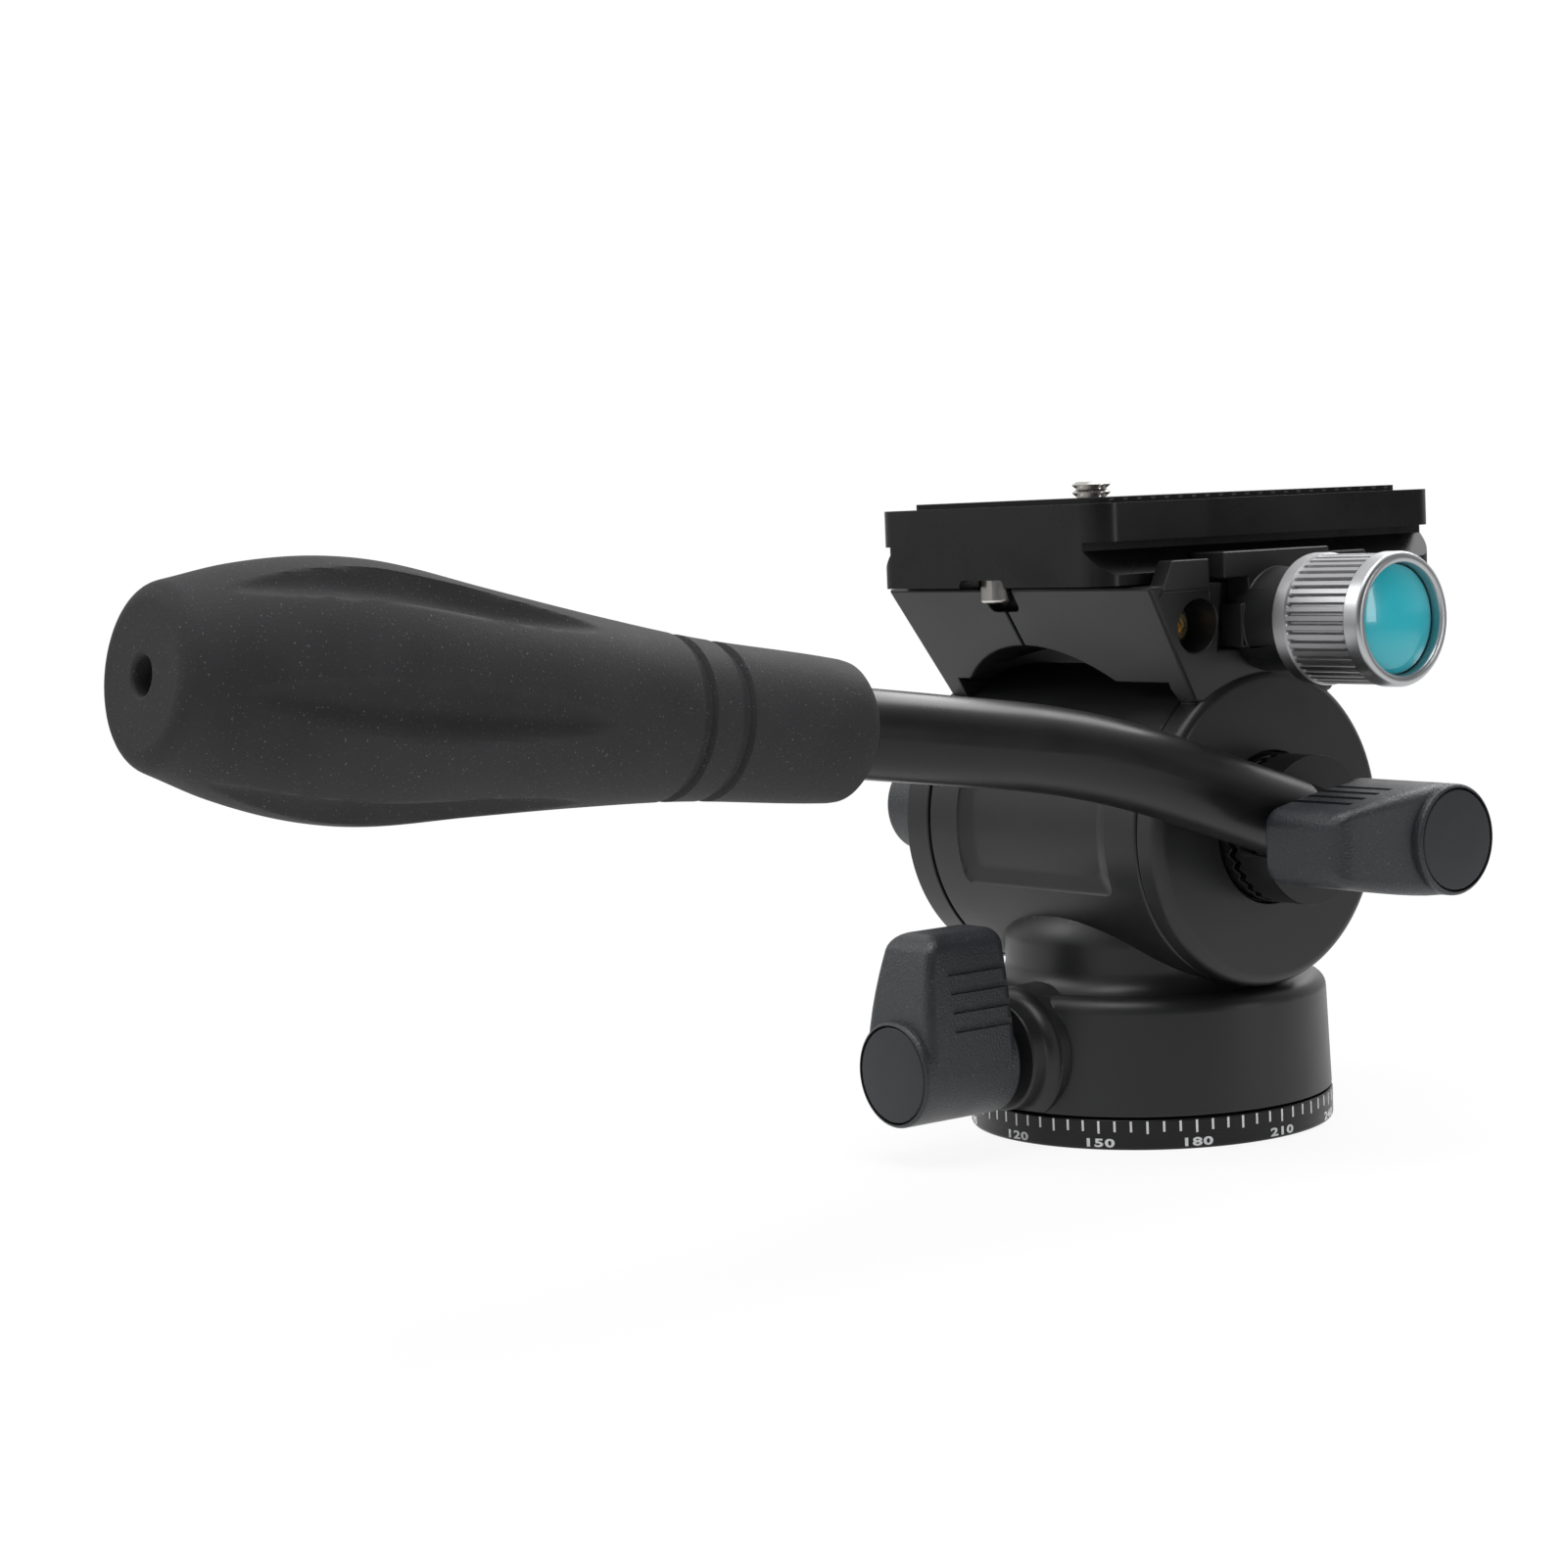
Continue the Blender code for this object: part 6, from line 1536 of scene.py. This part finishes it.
@dataclass
class Clamp:
    """The sliding jaw and the fluted knob with its teal cap."""

    jaw_face: float = 0.0322
    jaw_low: float = 0.0790
    hook_x: float = 0.0242
    jaw_half: float = 0.0119
    foot_half: float = 0.0084
    waist_half: float = 0.0066
    waist_low: float = 0.0858
    waist_high: float = 0.0899
    collar_radius: float = 0.0082
    collar_length: float = 0.0073
    knob_x: float = 0.0400
    knob_radius: float = 0.0103
    knob_length: float = 0.0178
    rear_ring: float = 0.0028
    front_ring: float = 0.0032
    flutes: int = 44
    flute_depth: float = 0.0007
    flute_run: float = 0.0007
    cap_radius: float = 0.0083
    cap_sink: float = 0.0026
    dome: float = 0.0012
    flank_sink: float = 0.0003
    ring_step: float = 0.0002
    bore_end: float = 0.0129
    lip_round: float = 0.0009

    def build(self) -> None:
        """Model and dress the jaw, the knob and the cap."""
        self.jaw()
        self.knob()
        self.cap()

    def jaw(self) -> None:
        """Model the sliding jaw: a stepped bar with a dovetail hook and a round collar."""
        back, half, top = LAYOUT.jaw_back, self.jaw_half, LAYOUT.jaw_top
        jaw = slab((back, -half, self.jaw_low), (self.jaw_face, half, top))
        hook = slab((self.hook_x, -half, LAYOUT.undercut), (back + 0.001, half, top))
        with editing(hook):
            edge, low = self.hook_x + NEAR, LAYOUT.undercut + NEAR
            pick(hook, Element.VERT, lambda middle: middle.x < edge and middle.z < low)
            shift((LAYOUT.hook_lean, 0, 0))
        fuse(jaw, hook)
        for side in (-1, 1):
            for start, low in ((self.foot_half, 0.0780), (self.waist_half, self.waist_low)):
                ends = sorted((side * start, side * (half + 0.002)))
                carve(jaw, slab((0.024, ends[0], low), (0.036, ends[1], self.waist_high)))
        rings = [(self.collar_radius, back + 0.0024)]
        rings += quarter(self.collar_radius, self.jaw_face + self.collar_length, 0.0006, 3)
        fuse(jaw, laid(lathe(rings, 96), LAYOUT.clamp, Facing.RIGHT))
        carve(
            jaw,
            drill(LAYOUT.clamp_bore, 0.02, 0.045, LAYOUT.clamp, Facing.RIGHT, 32),
            *(
                drill(LAYOUT.pin_bore, 0.02, 0.0335, LAYOUT.pin(side), Facing.RIGHT, 24)
                for side in (-1, 1)
            ),
        )
        soften(jaw, 0.0003, 3, clamp=False)
        dress(jaw, "clamp_sliding_jaw", "jaw", JAW, "anodised", "clamp_jaw")

    def knob(self) -> None:
        """Model the knob: a fluted barrel between two plain rings, with a polished rim."""
        low, front, end = self.rear_ring, self.knob_length - self.front_ring, self.knob_length
        radius, flank, step = self.knob_radius, self.knob_radius - self.flank_sink, self.ring_step
        rings = quarter_under(radius, 0, 0.0005, 3)
        rings += [(radius, low - step), (radius - step, low), (flank, low + step / 2)]
        rings += [(flank, low + self.flute_run / 2), (flank, front - self.flute_run)]
        rings += [(flank, front - step / 2), (radius - step, front), (radius, front + step)]
        knob = lathe(rings, self.flutes * 6)
        share = (flank - self.flute_depth) / flank
        with editing(knob):
            pick(knob, Element.VERT, lambda middle: self.in_flute(middle, flank, front))
            resize((share, share, 1), (0, 0, 0))
        carve(knob, bar(LAYOUT.clamp_bore, -0.001, self.bore_end, 32))
        place = (self.knob_x, 0, LAYOUT.clamp_z)
        laid(knob, place, Facing.RIGHT)
        dress(knob, "clamp_fluted_knob", "clamp", FLUTED, "clamp_knob", "clamp_knob")
        bore, seat = self.cap_radius + step, front + 0.00025
        rings = [(bore, seat), (radius, seat), *quarter(radius, end, self.lip_round, 6)[1:]]
        rings += [(bore + 0.0006, end), (bore + step, end - step), (bore, end - 0.0006)]
        rim = laid(lathe(rings, 180, bored=True), place, Facing.RIGHT)
        dress(rim, "clamp_polished_ring", "clamp", POLISHED, "clamp_knob")

    def in_flute(self, point: Vector, flank: float, front: float) -> bool:
        """Say whether a point of the barrel is at the bottom of a flute."""
        low, high = self.rear_ring + 0.0002, front - 0.0002
        if not low < point.z < high or abs(point.xy.length - flank) > 0.00005:
            return False
        line = round(math.atan2(point.y, point.x) / (math.tau / (self.flutes * 6)))
        return line % 6 in (0, 1)

    def cap(self) -> None:
        """Model the domed teal disc that is let into the knob's front."""
        low = self.knob_length - self.cap_sink + 0.0003
        rings = [(self.cap_radius, low), (self.cap_radius, low + 0.0004)]
        for i in range(11, -1, -1):
            share = max(i / 12, 0.04)
            rings.append((self.cap_radius * share, low + 0.0005 + self.dome * (1 - share**2)))
        cap = laid(lathe(rings, 128), (self.knob_x, 0, LAYOUT.clamp_z), Facing.RIGHT)
        dress(cap, "clamp_teal_disc", "clamp", TEAL, "teal_cap", "clamp_cap")


# Plate


@dataclass
class Plate:
    """The dovetail plate with its ribbed pad, stop pins and camera screw."""

    half_width: float = 0.0266
    front: float = 0.0331
    length: float = 0.0777
    bottom: float = 0.0896
    top: float = 0.1023
    corner: float = 0.0043
    foot: float = 0.0017
    groove: float = 0.0038
    neck: float = 0.0013
    pad_inset: float = 0.0040
    pad_sink: float = 0.0006
    pad_proud: float = 0.0009
    rib_pitch: float = 0.0030
    rib_groove: float = 0.0011
    rib_depth: float = 0.0005
    slot_half: float = 0.0037
    slot_end: float = 0.0165
    slot_y: float = -0.0020
    screw_y: float = -0.0090
    stop_radius: float = 0.0027
    notch_x: float = -0.0007
    notch_half: float = 0.0052
    notch_height: float = 0.0012
    stop_setback: float = 0.0066
    groove_end: float = 0.0300
    seat_corner: float = 0.0030
    pad_corner: float = 0.0028
    well_half: float = 0.0079
    well_reach: float = 0.0042
    well_top: float = 0.0954
    head_radius: float = 0.0070
    head_low: float = 0.0008
    head_high: float = 0.0041
    screw_rise: float = 0.0035
    thread_pitch: float = 0.00127
    thread_crest: float = 0.0031
    thread_root: float = 0.0025
    coin_half: float = 0.0007

    def build(self) -> None:
        """Model and dress the plate, the pad, the pins and the screw."""
        self.plate()
        self.pad()
        for name, y, _ in self.stops:
            self.stop(name, y)
        self.camera_screw()

    @property
    def rear(self) -> float:
        """Return where the plate's rear end is."""
        return self.length - self.front

    @property
    def stops(self) -> tuple[tuple[str, float, int], ...]:
        """Return each stop pin's name, its place along the plate and its end's direction."""
        setback = self.stop_setback
        return (("front", setback - self.front, -1), ("rear", self.rear - setback, 1))

    def blank(self, inset: float, low: float, high: float, corner: float) -> Shape:
        """Return the plate's plan with round corners, drawn in by an inset."""
        half, front, rear = self.half_width - inset, inset - self.front, self.rear - inset
        block = slab((-half, front, low), (half, rear, high))

        def is_corner(middle: Vector) -> bool:
            """Say whether an edge stands at a corner."""
            level = abs(middle.z - (low + high) / 2) < NEAR / 10
            at_end = middle.y < front + NEAR or middle.y > rear - NEAR
            return abs(middle.x) > half * 0.99 and level and at_end

        round_edges(block, corner, 8, is_corner)
        return block

    def slot(self, half: float, end: float, low: float, high: float) -> Shape:
        """Return the cutter of a slot with round ends, along the plate."""
        block = slab((-half, self.slot_y - end, low), (half, self.slot_y + end, high))

        def is_corner(middle: Vector) -> bool:
            """Say whether an edge stands at a corner."""
            level = abs(middle.z - (low + high) / 2) < NEAR / 10
            at_end = abs(abs(middle.y - self.slot_y) - end) < NEAR
            return abs(abs(middle.x) - half) < NEAR and level and at_end

        round_edges(block, half * 0.999, 10, is_corner)
        return block

    def plate(self) -> None:
        """Model the plate: dovetail foot, neck grooves, pad seat, slots and notches."""
        body = self.blank(0, self.bottom, self.top, self.corner)
        bottom, top = self.bottom, self.top
        for side in (-1, 1):
            carve(body, self.neck_groove(side))
        carve(
            body,
            self.blank(self.pad_inset, top - self.pad_sink, top + 0.002, self.seat_corner),
            self.slot(self.slot_half, self.slot_end, bottom - 0.001, top + 0.001),
            self.slot(
                self.well_half, self.slot_end + self.well_reach, bottom - 0.004, self.well_top
            ),
        )
        for _, y, way in self.stops:
            hole = bar(self.stop_radius + 0.0002, bottom - 0.002, bottom + 0.0043)
            carve(body, laid(hole, (LAYOUT.arch_x, y, 0), Facing.UP), self.notch(y, way))
        soften(body, 0.0007, 3, 30)
        dress(body, "quick_release_plate", "plate", ANODISED, "anodised", "quick_plate")

    def neck_groove(self, side: int) -> Shape:
        """Return the cutter of the dovetail's neck along one side."""
        low = self.bottom + self.foot + self.groove
        inner, outer = self.half_width - self.groove, self.groove_end
        ends = sorted((side * inner, side * outer))
        tool = slab((ends[0], -0.05, low), (ends[1], 0.06, low + self.neck))
        with editing(tool):
            edge = outer - 0.001
            pick(tool, Element.VERT, lambda middle: abs(middle.x) > edge and middle.z < low + NEAR)
            shift((0, 0, inner - outer))
        return tool

    def notch(self, y: float, way: int) -> Shape:
        """Return the cutter of the notch below one stop pin."""
        top = self.bottom + self.notch_height
        ends = sorted((y - way * self.notch_half, y + way * (self.stop_setback + 0.004)))
        notch = slab(
            (self.notch_x - self.notch_half, ends[0], self.bottom - 0.004),
            (self.notch_x + self.notch_half, ends[1], top),
        )
        round_edges(notch, 0.0007, 2, lambda middle: middle.z > top - WELD)
        return notch

    def pad(self) -> None:
        """Model the pad, ribbed across, with the screw's slot through it."""
        low, high = self.top - self.pad_sink + NEAR, self.top + self.pad_proud
        pad = self.blank(self.pad_inset + 0.0002, low, high, self.pad_corner)
        count = int((self.length - 2 * self.pad_inset) / self.rib_pitch) - 1
        first = -self.front + self.pad_inset + self.rib_pitch
        half, floor = self.rib_groove / 2, high - self.rib_depth
        cutter = slab((-0.04, first - half, floor), (0.04, first + half, high + 0.001))
        round_edges(cutter, 0.0003, 2, lambda middle: abs(middle.z - floor) < NEAR)
        carve(
            pad,
            repeated(cutter, count, (0, self.rib_pitch, 0)),
            self.slot(self.slot_half, self.slot_end, low - 0.002, high + 0.002),
        )
        soften(pad, 0.00018, 2)
        dress(pad, "ribbed_pad", "plate", PAD_RUBBER, "pad_rubber", "plate_pad")

    def stop(self, name: str, y: float) -> None:
        """Model one stop pin with a rounded lower end."""
        low = self.bottom - 0.0026
        rings = quarter_under(self.stop_radius, low, 0.0005, 4)
        rings += [(self.stop_radius, self.bottom + 0.0040)]
        pin = laid(lathe(rings, 48), (LAYOUT.arch_x, y, 0), Facing.UP)
        dress(pin, f"stop_pin_{name}", "plate", STEEL, "steel", f"plate_stop_{name}")

    def camera_screw(self) -> None:
        """Model the camera screw: a slotted head below and a cut thread above."""
        pitch, crest, root = self.thread_pitch, self.thread_crest, self.thread_root
        floor, head_top = self.bottom + self.head_low, self.bottom + self.head_high
        tip, level = self.top + self.screw_rise, head_top + 0.0015
        rings = quarter_under(self.head_radius, floor, 0.0005, 3)
        rings += quarter(self.head_radius, head_top, 0.0003, 2)
        rings += [(crest, head_top), (crest, level)]
        while level + pitch < tip:
            for radius, share in ((root, 0.38), (root, 0.50), (crest, 0.88), (crest, 1)):
                rings.append((radius, level + pitch * share))
            level += pitch
        rings += [(crest - 0.0001, tip - 0.0004), (root - 0.0001, tip)]
        screw = laid(lathe(rings, 64), (0, self.screw_y, 0), Facing.UP)
        front, back = self.screw_y - self.coin_half, self.screw_y + self.coin_half
        carve(screw, slab((-0.02, front, floor - 0.002), (0.02, back, floor + 0.0014)))
        dress(screw, "camera_screw_thread", "screw", STEEL, "steel", "camera_screw")


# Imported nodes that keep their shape


@dataclass
class InnerParts:
    """The parts that show only from below or inside, and their finishes."""

    nodes: tuple[tuple[Finish, tuple[str, ...]], ...] = (
        (STEEL, ("thread_bush", "pan_spindle", "base_screw_1", "base_screw_2", "base_screw_3")),
        (STEEL, ("pan_washer", "pan_nut", "tilt_axle", "jaw_pin_front", "jaw_pin_rear")),
        (STEEL, ("pan_knob_stud", "tilt_knob_stud", "handle_knob_stud", "handle_lug")),
        (STEEL, ("handle_spacer", "clamp_screw")),
        (ALUMINIUM, ("tilt_cartridge", "drum_bush_left", "drum_bush_right")),
        (NYLON, ("pan_drag_ring", "tilt_rotor", "screw_washer")),
        (BRASS, ("pan_brake_shoe",)),
    )

    def build(self) -> None:
        """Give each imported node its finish."""
        for finish, names in self.nodes:
            for name in names:
                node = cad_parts[name]
                node.data.materials.clear()
                node.data.materials.append(finish.material())
                LOG.info("%s: packed shape, %s", name, finish.name)


# Studio


@dataclass(frozen=True)
class Lamp:
    """A soft lamp: its place, its width and height in metres, and its power in watts."""

    name: str
    place: Point
    width: float
    height: float
    power: float


@dataclass
class Studio:
    """The floor, the soft light and the camera at the photograph's angle."""

    focal_px: float = 3317.93
    image_px: float = 1601.0
    azimuth: float = 51.9957
    pitch: float = 4.8806
    roll: float = -2.4167
    base_image: tuple[float, float] = (1175.784, 1137.723)
    centre_image: tuple[float, float] = (800.5, 800.0)
    distance: float = 0.543474
    sensor: float = 36.0
    world_light: float = 0.55
    reflected: float = 0.80
    reflected_right: float = 0.06
    floor_glow: tuple[float, float] = (0.90, 1.0)
    glow_reach: tuple[float, float] = (0.10, 0.50)
    floor_fade: tuple[float, float] = (0.30, 0.80)
    floor_far: float = 0.10
    floor_tone: float = 0.86
    dim_reach: tuple[float, float] = (0.1, 0.75)
    target: Point = (0.0, -0.05, 0.05)
    lights: tuple[Lamp, ...] = (
        Lamp("top_softbox", (0.10, -0.20, 1.00), 0.7, 0.7, 7.0),
        Lamp("left_softbox", (-0.65, -0.75, 0.75), 0.5, 0.5, 3.0),
        Lamp("back_softbox", (-0.30, 0.75, 0.85), 0.7, 0.7, 7.0),
        Lamp("right_strip", (0.80, 0.34, 0.18), 0.10, 0.28, 0.60),
    )

    def build(self) -> None:
        """Set up the floor, the world, the lamps and the camera."""
        self.floor()
        self.world()
        self.lamps()
        self.camera()
        bpy.context.scene.view_settings.view_transform = "Standard"

    def floor(self) -> None:
        """Lay a pale floor that stays white in the picture and keeps the shadow.

        Gloss and metal mirror it as white close by, and dimmer further off.
        """
        bpy.ops.object.select_all(action="DESELECT")
        bpy.ops.mesh.primitive_circle_add(vertices=64, radius=6, fill_type="NGON")
        floor = bpy.context.active_object
        floor.name = "studio_floor"
        material = bpy.data.materials.new("pale_floor")
        material.use_nodes = True
        nodes, graph = material.node_tree.nodes, Graph(material.node_tree)
        shader = nodes["Principled BSDF"]
        tone = (self.floor_tone, self.floor_tone, self.floor_tone, 1)
        shader.inputs["Base Color"].default_value = tone
        shader.inputs["Roughness"].default_value = 0.9
        shader.inputs["Specular IOR Level"].default_value = 0.1
        length = graph.add("VectorMath", operation="LENGTH")
        graph.join(graph.add("TexCoord").outputs["Object"], length.inputs[0])
        far = length.outputs["Value"]
        mirrored = graph.add("Mix", {"B": 1.0})
        graph.join(graph.ray("Is Camera Ray"), mirrored.inputs["Factor"])
        fade = graph.ranged(far, self.floor_fade, (1.0, self.floor_far))
        graph.join(fade, mirrored.inputs["A"])
        glow = graph.add("Emission")
        graph.join(mirrored.outputs["Result"], glow.inputs["Strength"])
        share = graph.add("Math", operation="MULTIPLY")
        rays = graph.ray("Is Camera Ray", "Is Glossy Ray", "Is Transmission Ray")
        graph.join(rays, share.inputs[0])
        graph.join(graph.ranged(far, self.glow_reach, self.floor_glow), share.inputs[1])
        mix = graph.blend(
            share.outputs["Value"], shader.outputs["BSDF"], glow.outputs["Emission"]
        )
        graph.join(mix, nodes["Material Output"].inputs["Surface"])
        floor.data.materials.append(material)

    def world(self) -> None:
        """Make a white surround for the camera, and a softer one that lights the head.

        What metal and gloss mirror is white too, but dimmer on the right, where a real studio
        has no white wall.
        """
        world = bpy.data.worlds.new("studio")
        bpy.context.scene.world = world
        world.use_nodes = True
        nodes, graph = world.node_tree.nodes, Graph(world.node_tree)
        light = nodes["Background"]
        seen, mirrored = graph.add("Background"), graph.add("Background")
        for shade, strength in ((light, self.world_light), (seen, 1.0), (mirrored, self.reflected)):
            shade.inputs["Color"].default_value = (1, 1, 1, 1)
            shade.inputs["Strength"].default_value = strength
        facing = graph.add("VectorMath", {1: (1, 0, 0)}, operation="DOT_PRODUCT")
        graph.join(graph.add("TexCoord").outputs["Generated"], facing.inputs[0])
        dim = (self.reflected, self.reflected_right)
        dimmed = graph.ranged(facing.outputs["Value"], self.dim_reach, dim)
        graph.join(dimmed, mirrored.inputs["Strength"])
        lit, shown, gloss = (shade.outputs["Background"] for shade in (light, seen, mirrored))
        unseen = graph.blend(graph.ray("Is Glossy Ray", "Is Transmission Ray"), lit, gloss)
        surface = graph.blend(graph.ray("Is Camera Ray"), unseen, shown)
        graph.join(surface, nodes["World Output"].inputs["Surface"])

    def lamps(self) -> None:
        """Hang soft lamps above, at the camera's left and behind, and a narrow one at right."""
        for light in self.lights:
            data = bpy.data.lights.new(light.name, "AREA")
            data.shape = "RECTANGLE"
            data.size, data.size_y = light.width, light.height
            data.energy = light.power
            lamp = bpy.data.objects.new(light.name, data)
            bpy.context.scene.collection.objects.link(lamp)
            lamp.location = light.place
            way = Vector(self.target) - Vector(light.place)
            lamp.rotation_euler = way.to_track_quat("-Z", "Y").to_euler()

    def camera(self) -> None:
        """Stand the camera where the photograph was taken from."""
        azimuth, pitch, roll = (math.radians(x) for x in (self.azimuth, self.pitch, self.roll))
        flat = math.cos(pitch)
        back = Vector((math.sin(azimuth) * flat, -math.cos(azimuth) * flat, math.sin(pitch)))
        ahead = -back
        right = Vector((math.cos(azimuth), math.sin(azimuth), 0))
        up = right.cross(ahead)
        tilted_right = right * math.cos(roll) + up * math.sin(roll)
        tilted_up = up * math.cos(roll) - right * math.sin(roll)
        across = (self.base_image[0] - self.centre_image[0]) * self.distance / self.focal_px
        above = (self.centre_image[1] - self.base_image[1]) * self.distance / self.focal_px
        place = -(tilted_right * across + tilted_up * above + ahead * self.distance)
        data = bpy.data.cameras.new("photo_camera")
        data.sensor_width = self.sensor
        data.lens = self.focal_px * self.sensor / self.image_px
        data.clip_start = 0.01
        camera = bpy.data.objects.new("photo_camera", data)
        bpy.context.scene.collection.objects.link(camera)
        turn = Matrix((tilted_right, tilted_up, back)).transposed().to_4x4()
        camera.matrix_world = Matrix.Translation(place) @ turn
        bpy.context.scene.camera = camera


def main() -> None:
    """Build every sub-assembly in order."""
    logging.basicConfig(level=logging.INFO, format="%(name)s %(message)s")
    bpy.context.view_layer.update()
    for maker in (
        Base, PanBody, TiltBracket, WingKnob, Handle, Clamp, Plate, InnerParts, Studio,
    ):
        maker().build()


if __name__ == "__main__":
    main()
